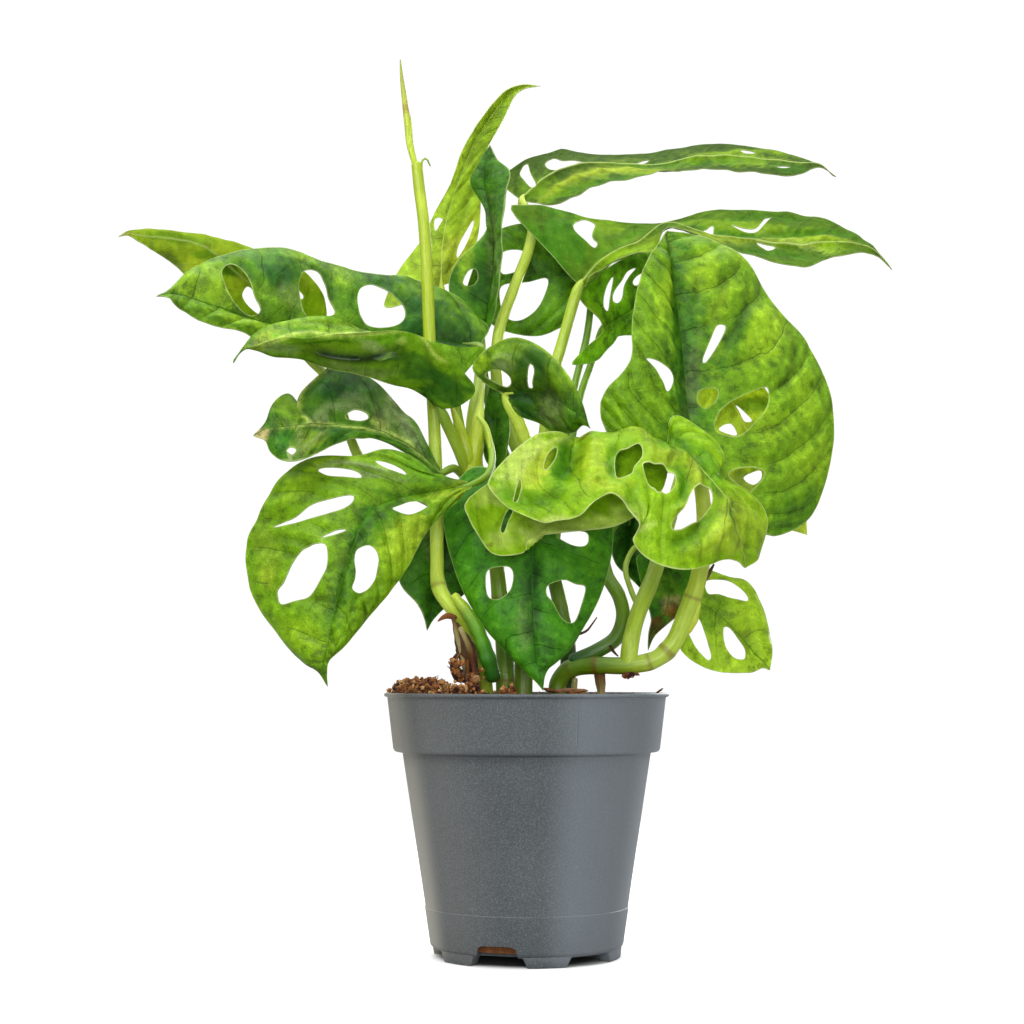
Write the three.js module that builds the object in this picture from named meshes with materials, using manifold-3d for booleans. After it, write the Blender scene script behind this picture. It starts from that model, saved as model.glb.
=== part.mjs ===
// Potted swiss cheese vine, in millimetres, +Z up, -Y towards the viewer.
// The origin is the middle of the pot's footprint on the ground.
import * as THREE from "three";
import Module from "manifold-3d";
import { mergeVertices } from "three/addons/utils/BufferGeometryUtils.js";

const wasm = await Module();
wasm.setup();

// Driving sizes of the pot, a 12 cm nursery pot
const RIM_RADIUS = 60;
const POT_HEIGHT = 109.3;
const LIP_HEIGHT = 1.8;
const COLLAR_TOP_RADIUS = 58.7;
const COLLAR_FOOT_RADIUS = 56.1;
const COLLAR_FOOT = 85;
const BODY_TOP_RADIUS = 52.2;
const BODY_FOOT_RADIUS = 40;
const WALL = 1.6;
const FOOT_HEIGHT = 3.9;
const FLOOR_HEIGHT = 5.5;
const POT_SIDES = 40;
const FEET = 6;
const FOOT_SPAN = THREE.MathUtils.degToRad(31);
const FOOT_TAPER = THREE.MathUtils.degToRad(3.5);
const FOOT_DEPTH = 5;
const FIRST_FOOT = THREE.MathUtils.degToRad(12);
const ARCH_HALF_WIDTH = 9.4;
const ARCH_DEPTH = 14;
const ARCH_TOP = 8.7;

// Driving sizes of the plant
const BLADE_THICKNESS = 0.7;
const EDGE_STEP = 6.2;
const INNER_STEP = 9.5;
const GAP = 0.4;
const SOIL_TOP = 105.4;
const STEM_END = 90;
const HOLE_REACH = 15;
const HOLE_ROOM = 0.9;
const THIN_STALK = 4.2;
const STALK_STEP = 9;

// Colours seen on the plant
const GREENS = {
  deep: 0x2f6a1c,
  mid: 0x4f8f24,
  light: 0x7fb02c,
  young: 0x9ccb3c,
  yellow: 0xb9cf3e,
  stalk: 0x93b64a,
};
const SLATE = 0x5c6469;
const PEAT = 0x5a3a24;
const DRY = 0x6e4a30;

// Front view. Points are given as [across, up, depth]: across and up as measured in the
// view at the distance of the pot's axis, and depth behind the upright plane through it.
const EYE = new THREE.Vector3(-6.15, -850, 116.3);
const EYE_UP = 118.7;
const EYE_TILT = THREE.MathUtils.degToRad(4.68);

function seen([across, up, depth]) {
  const a = (across - EYE.x) / -EYE.y;
  const b = (up - EYE_UP) / -EYE.y - Math.tan(EYE_TILT);
  const sight = new THREE.Vector3(
    a,
    Math.cos(EYE_TILT) - b * Math.sin(EYE_TILT),
    Math.sin(EYE_TILT) + b * Math.cos(EYE_TILT),
  );
  return sight.multiplyScalar((depth - EYE.y) / sight.y).add(EYE);
}

function picture(point) {
  const to = point.clone().sub(EYE);
  const ahead = to.y * Math.cos(EYE_TILT) + to.z * Math.sin(EYE_TILT);
  const over = to.z * Math.cos(EYE_TILT) - to.y * Math.sin(EYE_TILT);
  return [
    EYE.x - (EYE.y * to.x) / ahead,
    EYE_UP - EYE.y * (over / ahead + Math.tan(EYE_TILT)),
  ];
}

// Leaf blades. A row runs across the blade: margin, half way, rib, half way, margin.
// Rows go from the base to the tip. A row of three leaves out the half way points.
// Holes are outlines in the front view: the side of the rib they lie on, then points.
const LEAVES = [
  {
    name: "leaf_low_left",
    colour: "light",
    bulge: 2.5,
    rows: [
      [[-48, 212, -52], [-36, 201, -52], [-23.5, 200, -53], [-25.5, 197.5, -53], [-28, 193.5, -53]],
      [[-60, 215, -54], [-52, 206, -53], [-42, 196.5, -54], [-38, 192, -54], [-36, 187, -53]],
      [[-72, 212.2, -54], [-66, 203, -54], [-57, 193.3, -56], [-50, 186, -55], [-44, 177, -53]],
      [[-90, 211.5, -50], [-80, 201, -54], [-67, 187.5, -59], [-58, 178, -57], [-50, 165.5, -54]],
      [[-104, 203, -46], [-90, 192, -54], [-73, 175, -62], [-65, 167, -60], [-57, 155.5, -56]],
      [[-113, 187.5, -43], [-97, 176, -54], [-78, 160, -65], [-71, 153, -62], [-64, 147, -58]],
      [[-119, 171, -42], [-100, 158, -55], [-82, 145, -66], [-76, 142, -64], [-71, 138.5, -60]],
      [[-115, 151, -46], [-99, 142, -57], [-84, 132.5, -66], [-81, 131, -65], [-78, 130, -63]],
      [[-100, 131, -56], [-92, 127.5, -62], [-85.5, 124.5, -65], [-84.5, 124.8, -65], [-84, 124.7, -65]],
      [[-84.2, 114, -62]],
    ],
    holes: [
      [-1, [-104, 154], [-101, 158], [-98, 165], [-94, 171], [-88.5, 174], [-84, 173.5], [-83.7, 166],
        [-86, 160], [-90, 153], [-96, 150.5], [-102, 149]],
      [1, [-73, 168], [-71.5, 172.3], [-67, 173.8], [-64, 169.5], [-64, 165], [-66, 158], [-71, 154.2],
        [-74.7, 155.5], [-73, 161]],
      [-1, [-106, 181.5], [-98, 182.6], [-90, 185], [-80, 188], [-74, 191], [-73.5, 194.3], [-82, 193],
        [-90, 190.3], [-97, 185]],
      [-1, [-86, 176.7], [-80, 178.3], [-76, 180.3], [-80, 179.8]],
      [-1, [-87.5, 205.7], [-84, 203], [-78, 202.2], [-70, 201.8], [-71.5, 204.7], [-79, 206.3]],
      [1, [-57, 189.3], [-50, 187.2], [-42.5, 190.3], [-44, 192.3], [-49, 192.5], [-53.5, 191]],
      [-1, [-64, 209.8], [-60, 206.8], [-55, 204.6], [-51, 203.3], [-53, 205.8], [-58, 208.6]],
    ],
  },
  {
    name: "leaf_front_low",
    colour: "deep",
    bulge: 2.5,
    rows: [
      [[-24, 208.5, -30], [-12, 204, -33], [-2, 196, -38], [10, 203, -34], [20, 206, -30]],
      [[-34.5, 192, -36], [-18, 190, -39], [0, 186, -43], [18, 190, -39], [33, 195, -33]],
      [[-34, 177, -38], [-17, 175, -42], [2, 171, -46], [20, 173, -42], [36.5, 180, -35]],
      [[-28, 157, -40], [-14, 156, -44], [2.5, 154, -49], [18, 156, -45], [35, 165, -37]],
      [[-19, 141.5, -42], [-9, 141, -47], [3, 139, -51], [15, 141, -47], [29, 148, -41]],
      [[-6, 126, -47], [-2, 126, -50], [4, 126, -52], [11, 127, -50], [19, 131, -46]],
      [[3.5, 116.5, -51], [6, 118, -52], [9, 121, -51]],
      [[7, 112.4, -52]],
    ],
    holes: [
      [-1, [-16.4, 159.5], [-15.5, 163.2], [-11.5, 164.6], [-6.5, 164.4], [-5, 160.5], [-6.5, 154.5],
        [-11.5, 150.8], [-15.5, 152.5]],
      [1, [8, 153], [9, 157], [15, 159], [20, 157.2], [24, 156], [22, 148.5], [19.5, 141.5], [14.5, 142.5],
        [10.5, 149.5]],
      [1, [12, 178], [18, 179.5], [24.5, 179], [25.2, 175], [22.5, 173], [17, 174.3]],
    ],
  },
  {
    name: "leaf_front_curled",
    colour: "young",
    bulge: 0,
    rows: [
      [[-28, 193, -61], [-7, 206, -54], [18, 219, -51], [4, 221, -62], [-19, 201.5, -73]],
      [[-22, 180, -60], [3, 197, -52], [29, 221, -51], [8, 203, -72], [-8, 190.5, -78]],
      [[-14, 170.5, -60], [20, 198, -51], [40, 222, -52], [22, 203, -73], [6, 184, -81]],
      [[-1.5, 171, -59], [27, 199, -50], [45, 222, -52], [29, 205, -73], [14, 184.7, -82]],
      [[3.5, 178, -58], [36, 203, -49], [50, 221, -53], [36, 207, -72], [22, 186.5, -82]],
      [[38, 182.5, -55], [46, 203, -49], [58, 218, -54], [48, 205, -72], [36, 196.3, -81]],
      [[57.5, 198, -47], [60, 208, -48], [63, 215.5, -55], [54, 199, -74], [47.5, 184, -81]],
      [[61, 228, -46], [63.5, 220, -50], [67, 213, -56], [58, 196, -75], [45, 176, -81]],
      [[76, 222, -44], [75, 217, -49], [73, 208, -58], [64, 190, -76], [50, 169.5, -80]],
      [[83.5, 211.5, -45], [80, 208, -52], [77, 203.5, -59], [70, 184, -76], [58, 165.3, -79]],
      [[81, 203.5, -51], [81, 202, -56], [81, 199, -60], [75, 180, -75], [67, 163.8, -77]],
      [[93, 197.5, -47], [90, 195, -53], [86, 191, -61], [81, 178, -73], [76, 165.3, -74]],
      [[102, 185, -45], [96, 183, -53], [89.5, 181, -61], [86, 174, -69], [84, 168, -70]],
      [[98.5, 169.5, -51], [92, 171, -61], [89, 167.5, -66]],
      [[93, 164.5, -60]],
    ],
    holes: [
      [1, [-2.6, 202], [-2.3, 198.5], [-4.5, 193.6], [-5.6, 194], [-4, 199]],
      [1, [12.7, 215.6], [12, 211], [8.5, 206.2], [7.2, 207], [9, 212.5]],
      [1, [47.5, 217], [49, 212], [45.5, 207.5], [44, 204], [39, 202.8], [37.6, 208], [38, 213.8], [42, 214.6]],
      [1, [49.3, 208], [54, 208.2], [58.5, 208.2], [62.5, 204], [62.5, 199], [59, 196], [55, 197], [51.5, 200.5]],
      [1, [71, 198.5], [77, 198.3], [79, 193], [76, 188], [70, 183.5], [65, 181], [61.6, 181.2], [62.8, 185.5],
        [67, 190.5]],
      [-1, [-7, 190], [-5.8, 189], [-8, 184], [-9.8, 179.5], [-11, 181], [-9.5, 186.5]],
    ],
  },
  {
    name: "leaf_right_large",
    colour: "mid",
    bulge: 4,
    rows: [
      [[36, 217, -36], [52, 212, -31], [72, 212, -28], [88, 190, -27], [102, 176, -19]],
      [[31.5, 229, -37], [51, 223, -32], [70.5, 221, -27], [97, 202, -22], [120, 186, -9]],
      [[33, 239, -38], [52, 236, -32], [68.5, 232, -25], [99, 219, -19], [129, 211, -3]],
      [[43.5, 252, -38], [56, 250, -32], [67, 247, -24], [97, 240, -17], [129, 236, 0]],
      [[44.5, 267, -36], [56, 265, -30], [65.5, 263, -22], [92, 259, -15], [119, 259, -1]],
      [[47, 283, -33], [56, 280, -27], [63.5, 278, -20], [83, 275, -15], [104, 277, -3]],
      [[51, 295, -28], [57, 293, -23], [61.5, 292, -18], [76, 290, -14], [93, 295, -6]],
      [[55.5, 302, -21], [60, 301.5, -15], [77, 304, -9]],
      [[59.5, 307.5, -13]],
    ],
    holes: [
      [1, [82.6, 266], [79.5, 266], [77, 260], [74, 252.5], [75, 250.8], [78, 255], [82.3, 263]],
      [-1, [49.5, 252.8], [54, 251.5], [59, 247], [60, 243], [57.5, 239.3], [55.3, 244], [52.5, 249]],
      [1, [72.5, 238.5], [75, 240.2], [80, 239.3], [79, 234.5], [75, 232], [72, 234.5]],
      [1, [98.5, 240], [100.7, 238.5], [99.5, 232], [95, 225.5], [88.5, 220], [79.5, 221], [80, 228], [84, 233],
        [91, 237]],
      [1, [84, 203.2], [88, 205.7], [94, 206.3], [98.8, 204.5], [96, 199.6], [92, 196], [87.5, 199.5]],
    ],
  },
  {
    name: "leaf_right_upper",
    colour: "mid",
    bulge: 0,
    rows: [
      [[-10, 319, 12], [5, 304, 6], [22.5, 284.5, 2], [26.5, 288, 0], [30.5, 290.5, -2]],
      [[10, 317.5, 20], [19, 308, 10], [31, 298.5, 3], [36, 296.5, -2], [41, 296.3, -6]],
      [[32, 312, 26], [38, 308.5, 16], [45, 306, 6], [50, 302.5, -1], [54, 299.7, -8]],
      [[56, 310.9, 32], [58, 310.6, 20], [60, 310.1, 9], [60, 309.7, 0], [60.5, 309.1, -9]],
      [[79, 316.3, 36], [79, 312, 24], [78, 305, 12], [78, 304.3, 2], [78, 303.4, -7]],
      [[99, 316, 40], [98, 310.5, 28], [97, 302.7, 16], [96, 300.3, 7], [95, 297.6, -1]],
      [[119, 314.3, 42], [117, 309.3, 32], [115, 301, 21], [115, 296.5, 12], [115, 292.4, 5]],
      [[136, 308.3, 42], [134, 306, 34], [132, 302.3, 27], [132, 299.5, 21], [132, 296.9, 15]],
      [[147, 300.8, 40], [146, 299.6, 34], [145.5, 298.2, 30]],
      [[155, 291, 36]],
    ],
    holes: [
      [-1, [20, 310], [22.5, 311.7], [26, 312.6], [29, 310], [28, 305], [30, 302.5], [28.7, 300.3], [25, 303.5],
        [20.5, 307.5]],
      [-1, [75, 307], [77, 308.8], [79.3, 309.6], [79, 306], [77.6, 305.4]],
      [-1, [87, 310], [93, 308.4], [98, 309.2], [101.5, 313], [104, 313.5], [99, 308.3], [95, 307], [91, 307.7]],
      [1, [97.5, 302], [101, 301.6], [105.5, 300.3], [102, 299.6]],
    ],
  },
  {
    name: "leaf_top_right",
    colour: "mid",
    bulge: 0,
    rows: [
      [[-14, 329, 52], [-8, 325, 46], [-2, 320.5, 38], [5, 319.3, 30], [12, 318, 23]],
      [[1, 338, 62], [4, 333.5, 54], [9, 330, 44], [15, 325.5, 35], [21, 322.5, 27]],
      [[14, 341.7, 70], [17, 338.5, 60], [22, 335, 50], [27, 330.5, 39], [32, 328.2, 30]],
      [[30, 340, 76], [34, 338, 66], [38, 335.8, 55], [42, 332.7, 44], [46, 331, 34]],
      [[50, 340.2, 80], [52, 338, 70], [55, 335.6, 59], [58, 334, 48], [61, 332.9, 38]],
      [[67, 343.2, 83], [68, 341, 73], [70, 338, 62], [71.5, 335.3, 51], [73, 333.6, 42]],
      [[86, 344.3, 82.5], [86, 342, 74], [87, 339, 65], [88, 336, 55], [89, 333.2, 47]],
      [[102, 342, 82], [102, 340, 75], [103, 337.3, 67], [103.5, 334.5, 58], [104, 331.4, 52]],
      [[116, 338.4, 78], [116, 337.4, 73], [116, 336, 68], [116, 333.6, 63], [116, 331.4, 59]],
      [[123.5, 335.9, 73], [124, 335.5, 70], [123.5, 334.9, 67]],
      [[131, 330, 70]],
    ],
    holes: [
      [-1, [0.5, 335.5], [3.8, 327.7], [2.3, 325.7], [-0.8, 328.8], [-2.7, 332]],
      [-1, [8, 336], [12, 338.3], [16, 337.3], [24, 336.9], [21, 335.8], [15, 333.6], [10.5, 333.2]],
      [-1, [45.5, 336], [50, 337.6], [52, 337.4], [50, 336.4]],
      [-1, [90.5, 341], [93, 340.2], [97, 340.5], [95, 341.1]],
      [1, [105.5, 334.8], [109, 335], [112, 334.7], [109, 334.2]],
    ],
  },
  {
    name: "leaf_upper_left",
    colour: "deep",
    bulge: 3,
    rows: [
      [[-20, 270, 4], [-17, 263, -2], [-20, 258.5, -8], [-24, 253, -11], [-32, 249, -14]],
      [[-31, 280.5, 4], [-35, 271, -4], [-40, 261.5, -12], [-44, 255, -14], [-48, 250, -17]],
      [[-50, 287.5, -1], [-55, 275, -10], [-60, 262.5, -20], [-64, 256, -23], [-68, 252, -26]],
      [[-68, 289.5, -10], [-74, 277, -20], [-80, 263.5, -31], [-84, 258, -35], [-88, 254, -38]],
      [[-86, 294.5, -21], [-92, 281, -31], [-99, 266, -41], [-102, 260, -45], [-105, 256, -49]],
      [[-104, 300.3, -31], [-109, 286, -41], [-116, 270, -51], [-118, 266.5, -55], [-120, 264, -59]],
      [[-124, 298.5, -41], [-127, 287, -49], [-132, 275.5, -59], [-134, 271.5, -62], [-136, 268.3, -65]],
      [[-141, 292, -52], [-143, 286, -57], [-146, 280, -63], [-146.5, 277, -66], [-147, 274.2, -67]],
      [[-151, 283, -63], [-152.5, 280.8, -66], [-151.8, 279, -67]],
      [[-157, 279.5, -69]],
    ],
    holes: [
      [-1, [-130, 287], [-127.5, 291.3], [-123, 290.3], [-119, 285.5], [-116.5, 279], [-113.5, 273], [-117, 271],
        [-122, 274], [-127, 279.5]],
      [-1, [-98, 281], [-97, 287.5], [-94, 289.6], [-89.5, 289], [-87, 284], [-85.5, 278], [-82.5, 271],
        [-88, 270.3], [-94.5, 270.8]],
      [-1, [-73, 276], [-72, 281], [-68, 283.2], [-63, 282.2], [-57, 278], [-52.6, 272], [-53.5, 267.5],
        [-60, 265.6], [-67, 266], [-71, 269.5]],
    ],
  },
  {
    name: "leaf_far_left",
    colour: "yellow",
    bulge: 1.5,
    rows: [
      [[-84, 270, -10], [-90, 266, -11], [-97, 260, -14], [-104, 259, -17], [-112, 262, -20]],
      [[-87, 282, -13], [-95, 276, -16], [-104, 270, -19], [-114, 267, -24], [-126, 269, -30]],
      [[-98, 293, -17], [-105, 287, -21], [-113, 280, -25], [-124, 277, -31], [-136, 279, -37]],
      [[-116, 300, -24], [-120, 296, -28], [-125, 291, -32], [-134, 287, -37], [-143, 287, -41]],
      [[-132, 305, -31], [-134, 302, -35], [-137, 300.5, -39], [-143, 296, -42], [-150, 293.5, -45]],
      [[-146, 307.3, -39], [-149, 305.5, -42], [-151, 303.7, -45], [-154, 300.5, -48], [-157, 298.3, -50]],
      [[-160, 308.1, -47], [-162, 306.5, -50], [-163, 304.9, -52], [-163.7, 303.9, -53], [-164, 302.9, -54]],
      [[-169, 307.3, -54], [-169.5, 305.9, -55], [-169, 305.3, -56]],
      [[-173, 305, -58]],
    ],
    holes: [
      [1, [-118, 284], [-112, 279], [-108, 273], [-112, 271], [-118, 275], [-121, 280]],
      [-1, [-104, 287], [-97, 282], [-95, 279], [-99, 278], [-104, 282]],
    ],
  },
  {
    name: "leaf_left_twisted",
    colour: "mid",
    bulge: 0,
    rows: [
      [[-16, 258.5, -30], [-27, 246, -36], [-37, 233, -42], [-28, 233.5, -45], [-20, 239.8, -48]],
      [[-29, 258.3, -36], [-37, 250, -40], [-46, 240.5, -46], [-38, 244, -50], [-30, 251, -53]],
      [[-42, 260.5, -40], [-49, 254, -45], [-56, 246, -51], [-49, 253, -56], [-42.5, 261.5, -58]],
      [[-56, 262.5, -44], [-61, 257, -50], [-66, 250, -56], [-61, 256.5, -62], [-55, 265, -64]],
      [[-70, 266, -47], [-75, 259, -54], [-80, 251.5, -61], [-76, 257, -67], [-72, 264, -70]],
      [[-85, 271, -51], [-90, 263.5, -58], [-95, 255, -66], [-92, 258.5, -72], [-88, 262.8, -76]],
      [[-101, 269.5, -57], [-104, 263, -64], [-107, 255, -71], [-105, 258, -75], [-103, 262, -79]],
      [[-113, 265.5, -66], [-115, 262, -70], [-115.5, 257.5, -75], [-114.8, 257.8, -77], [-114, 258.3, -79]],
      [[-119.5, 259, -74], [-120, 257.5, -76], [-120.3, 256.8, -77]],
      [[-124.7, 251.8, -78]],
    ],
    holes: [
      [1, [-90, 257.2], [-82, 255.6], [-73, 255], [-71, 253.6], [-78, 253.6], [-86, 255.2]],
      [1, [-66, 254.8], [-60, 256.2], [-55, 256.3], [-56, 254.2], [-62, 252.8]],
    ],
  },
  {
    name: "leaf_centre_dark",
    colour: "deep",
    bulge: 1,
    rows: [
      [[-24, 250, -52], [-19, 245, -51], [-9, 238.5, -46], [-7, 235, -45], [-4, 229, -44]],
      [[-16, 258, -57], [-9, 250, -57], [0, 239.5, -50], [2, 233, -47], [5, 226, -44]],
      [[-5, 262.2, -60], [1, 252, -61], [8, 238.5, -54], [10, 231, -50], [12, 222, -46]],
      [[7, 257.5, -60], [11, 248, -62], [14.5, 235, -57], [16, 229, -53], [17, 221.5, -49]],
      [[16, 248.5, -60], [18, 240, -61], [19.5, 231.5, -59], [20, 227, -56], [21, 222.5, -52]],
      [[22.5, 238, -60], [23.5, 229, -59], [24, 225, -57]],
      [[27, 223.5, -58]],
    ],
    holes: [
      [-1, [-17, 246.5], [-15, 248.7], [-10.5, 249], [-7, 246.5], [-6.4, 243.5], [-8.5, 241.8], [-12, 243.3]],
      [-1, [2, 251.3], [3.4, 248.5], [2.8, 244], [2.8, 241.3], [1.2, 241.3], [0.8, 246]],
    ],
  },
  {
    name: "leaf_left_crumpled",
    colour: "deep",
    bulge: 1.5,
    rows: [
      [[-43, 213.5, -36], [-40, 209, -37], [-36.3, 204.5, -39], [-37.5, 204, -40], [-39, 204, -41]],
      [[-45.5, 224, -37], [-46, 219, -39], [-46, 213.5, -42], [-48, 212.5, -43], [-50, 212.5, -44]],
      [[-53, 232, -34], [-56, 226, -39], [-58, 220.5, -45], [-60, 218.9, -47], [-62, 218.5, -48]],
      [[-65, 244, -33], [-67, 235, -41], [-69, 224, -50], [-70, 221.5, -52], [-70, 219.8, -54]],
      [[-79, 250, -36], [-80, 238, -45], [-81, 224.7, -54], [-81, 221, -58], [-80, 217.5, -61]],
      [[-90, 244.5, -46], [-89, 236, -52], [-88, 225, -58], [-88, 219, -63], [-88, 213.5, -66]],
      [[-97, 236, -54], [-94, 231, -57], [-91.5, 225.3, -60], [-92, 217, -65], [-94, 210.5, -68]],
      [[-94, 228.3, -56], [-94.3, 227, -58], [-95, 225.1, -61], [-96.5, 217, -65], [-99, 209.7, -68]],
      [[-100, 238, -49], [-99, 231, -55], [-98, 224.7, -61], [-101, 217, -65], [-104, 210.2, -67]],
      [[-107, 235, -53], [-106, 229, -57], [-104, 224.3, -61], [-106, 218, -64], [-108.5, 213.5, -65]],
      [[-110.5, 227, -58], [-110, 223.6, -61], [-111, 218.5, -63]],
      [[-116, 220.8, -62]],
    ],
    holes: [
      [-1, [-77, 227.7], [-75.3, 229.8], [-71.5, 230.4], [-68, 229], [-67.6, 227.2], [-71, 226.4]],
      [1, [-101.5, 213.6], [-100, 214.9], [-97.6, 214.5], [-97.8, 213], [-100, 212.4]],
    ],
  },
  {
    name: "leaf_top_narrow",
    colour: "young",
    bulge: 0,
    rows: [
      [[-62, 273, 12], [-48, 278, 13], [-36, 284, 16], [-31, 286, 20], [-26, 290, 24]],
      [[-55, 289, 19], [-46, 292, 19], [-36, 297, 20], [-29, 299, 24], [-21, 303, 29]],
      [[-45, 303, 24], [-40, 306, 24], [-34.5, 309, 25], [-27, 312, 29], [-19.5, 316, 33]],
      [[-38.5, 316, 27], [-35, 319, 28], [-31.5, 321, 29], [-26.5, 324, 33], [-20, 327, 37]],
      [[-32, 328.5, 30], [-30, 331, 32], [-27, 333, 34], [-23, 336, 36], [-17.5, 340, 38]],
      [[-27, 342, 34], [-24.5, 344, 36], [-22, 345, 38], [-18, 347, 39], [-13, 349, 40]],
      [[-19, 355.5, 38], [-15, 356, 42], [-9.5, 355, 42]],
      [[-9.5, 366.5, 42], [-7.5, 365.5, 45], [-5, 364.5, 44]],
      [[-1, 369.4, 45], [-1, 368.6, 46], [-1, 367.7, 45]],
      [[6, 368.8, 46]],
    ],
    holes: [
      [1, [-29.5, 296], [-29, 300.5], [-26, 306.5], [-22.5, 312], [-23.3, 307], [-26.5, 300]],
      [-1, [-38.9, 312.3], [-35.6, 312.5], [-36.6, 310.4], [-38.6, 307.5]],
    ],
  },
  {
    name: "leaf_centre_top",
    colour: "deep",
    bulge: 1,
    rows: [
      [[-30, 268, 12], [-24, 264, 12], [-19, 260.5, 12], [-16, 264, 10], [-13.5, 270, 8]],
      [[-33, 284, 10], [-26, 281, 11], [-16, 279, 12], [-13.5, 281, 9], [-11.5, 284, 6]],
      [[-29, 295, 10], [-22, 294, 12], [-14, 294, 14], [-12, 296, 11], [-10.5, 298, 8]],
      [[-18, 306, 14], [-17, 307, 15], [-14.5, 308, 16], [-12, 309, 13], [-10, 310, 10]],
      [[-17.5, 316, 20], [-17.2, 317, 20], [-16.2, 318, 19], [-13, 320, 16], [-9, 322, 13]],
      [[-24, 328, 24], [-21, 328.5, 23], [-18, 329, 22], [-13, 330, 19], [-7, 332.5, 16]],
      [[-20, 336.5, 26], [-17.5, 337, 25], [-12, 337.5, 22]],
      [[-15.5, 344, 26]],
    ],
    holes: [
      [-1, [-27, 285], [-25, 290], [-22, 291], [-21, 287], [-23.5, 284]],
    ],
  },
  {
    name: "leaf_back_centre",
    colour: "mid",
    bulge: 1.5,
    rows: [
      [[24, 303, 38], [24, 296, 36], [24, 288, 34], [22, 277, 35], [18, 268, 36]],
      [[12, 309, 38], [12, 299, 36], [12, 289.3, 34], [10, 276, 35], [6, 263, 36]],
      [[-2, 310.5, 37], [-1, 299, 35], [0, 288.3, 33], [-2, 276, 34], [-6, 264, 35]],
      [[-13, 307, 35], [-12, 297, 33], [-11, 286.5, 32], [-12, 277, 32], [-15, 268, 33]],
      [[-20, 298, 33], [-19, 285, 33], [-20, 275, 33]],
      [[-25, 284, 35]],
    ],
    holes: [
      [-1, [-10.5, 297.5], [-1.8, 298.5], [-2.5, 292.5], [-4, 290.3], [-10.5, 289.3]],
      [1, [8.8, 287], [0.5, 285.6], [-10.5, 283.8], [-11, 275], [-8, 270.3], [-3, 269.5], [3, 273], [7, 279]],
    ],
  },
  {
    name: "leaf_back_right",
    colour: "mid",
    bulge: 2,
    rows: [
      [[19, 283, 30], [24, 275, 33], [32, 267, 37], [26, 260, 36], [17, 250, 34]],
      [[28, 288.5, 34], [31, 279, 38], [37, 269.5, 41], [34, 262, 40], [30, 252.5, 38]],
      [[37, 293.5, 38], [39, 284, 41], [44, 274, 43], [42, 268, 43], [38, 262.3, 42]],
      [[46, 298.5, 42], [49, 290, 44], [53, 281.5, 46], [54, 274, 46], [55, 264, 46]],
      [[54, 299.5, 46], [61, 289, 48], [68, 275, 48]],
      [[74, 298, 50]],
    ],
    holes: [
      [-1, [36, 288], [33.8, 285.5], [32, 280], [31.8, 274.5], [33.5, 273], [34.3, 277], [35, 282]],
      [-1, [45.5, 291.5], [42, 290], [39.3, 286], [36.2, 281], [36, 277.5], [38.3, 276.7], [40, 279], [40.5, 284],
        [42.7, 288]],
      [-1, [49.5, 289.8], [46, 288], [44.3, 285.3], [46, 284], [48.5, 286.5]],
    ],
  },
  {
    name: "leaf_right_back",
    colour: "yellow",
    bulge: 1.5,
    rows: [
      [[68, 238, 8], [74, 244, 10], [80, 250, 12], [88, 252, 12], [96, 248, 12]],
      [[70, 222, 8], [78, 229, 10], [87, 235, 12], [96, 238, 12], [104, 236, 12]],
      [[76, 206, 8], [85, 213, 10], [95, 220, 12], [103, 224, 12], [110, 222, 12]],
      [[86, 194, 8], [94, 200, 10], [103, 205, 12], [109, 208, 12], [115, 207, 12]],
      [[99, 185, 9], [111, 191, 12], [118, 193, 12]],
      [[119, 178.5, 12]],
    ],
    holes: [
      [1, [87.5, 233], [91.5, 231.3], [95.5, 227], [92.5, 226.6], [89, 230]],
      [-1, [81, 223], [84, 225.2], [87, 225], [89, 220.6], [84.5, 221.2]],
      [-1, [91.5, 202.3], [96, 205], [99.3, 205.5], [99, 202], [95.5, 199.5]],
    ],
  },
  {
    name: "leaf_low_right",
    colour: "light",
    bulge: 1.5,
    rows: [
      [[76, 164.5, -4], [74, 158, -6], [72, 150.5, -8], [69, 142, -8], [64, 131, -8]],
      [[85, 161, -2], [82, 155, -5], [79, 146.5, -7], [74, 136, -7], [70, 125.3, -8]],
      [[94, 158.3, 0], [91, 150, -3], [86, 140.5, -6], [81, 131, -6], [78, 121.3, -8]],
      [[100.5, 147, 1], [97, 141, -2], [92, 134, -5], [89, 127, -6], [86, 120, -8]],
      [[103.5, 135, 0], [101, 131, -3], [97.5, 127.5, -6], [96, 123.5, -7], [95, 120.2, -9]],
      [[104, 128, -3], [103, 126, -5], [101, 124, -7], [100.5, 123, -8], [100, 122.2, -9]],
      [[103.2, 121.3, -9]],
    ],
    holes: [
      [-1, [75.5, 158.2], [80, 159.2], [85, 158.7], [89.5, 156], [93, 152], [92.5, 150.2], [87, 151.3],
        [81, 153], [76.5, 153.5]],
      [1, [83.2, 138], [84.3, 139.6], [86.5, 138.5], [89.5, 134.5], [92.5, 129.5], [92, 125.5], [88, 126],
        [84.5, 130.5]],
      [1, [71.8, 144], [75.2, 137], [77.8, 128], [77, 125.2], [74, 127.7], [69.6, 134.5], [68, 139.5]],
    ],
  },
  {
    name: "leaf_low_right_back",
    colour: "mid",
    bulge: 1.5,
    rows: [
      [[46, 170, 4], [52, 172, 6], [58, 172, 8], [64, 171, 8], [70, 167, 6]],
      [[48, 160, 4], [53.5, 160, 4], [60, 160, 6], [66, 159, 8], [71, 157, 8]],
      [[51, 151, 2], [55, 150.5, 3], [60, 150, 4], [64, 149, 6], [67.5, 148, 8]],
      [[52.5, 143.5, 0], [54.5, 142.5, 1], [57, 142, 2], [59.5, 142, 4], [62, 142.5, 5]],
      [[51.5, 136.5, -1], [52.8, 136, 0], [54.5, 136, 1]],
      [[51.6, 129.6, -1]],
    ],
    holes: [],
  },
  {
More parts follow.
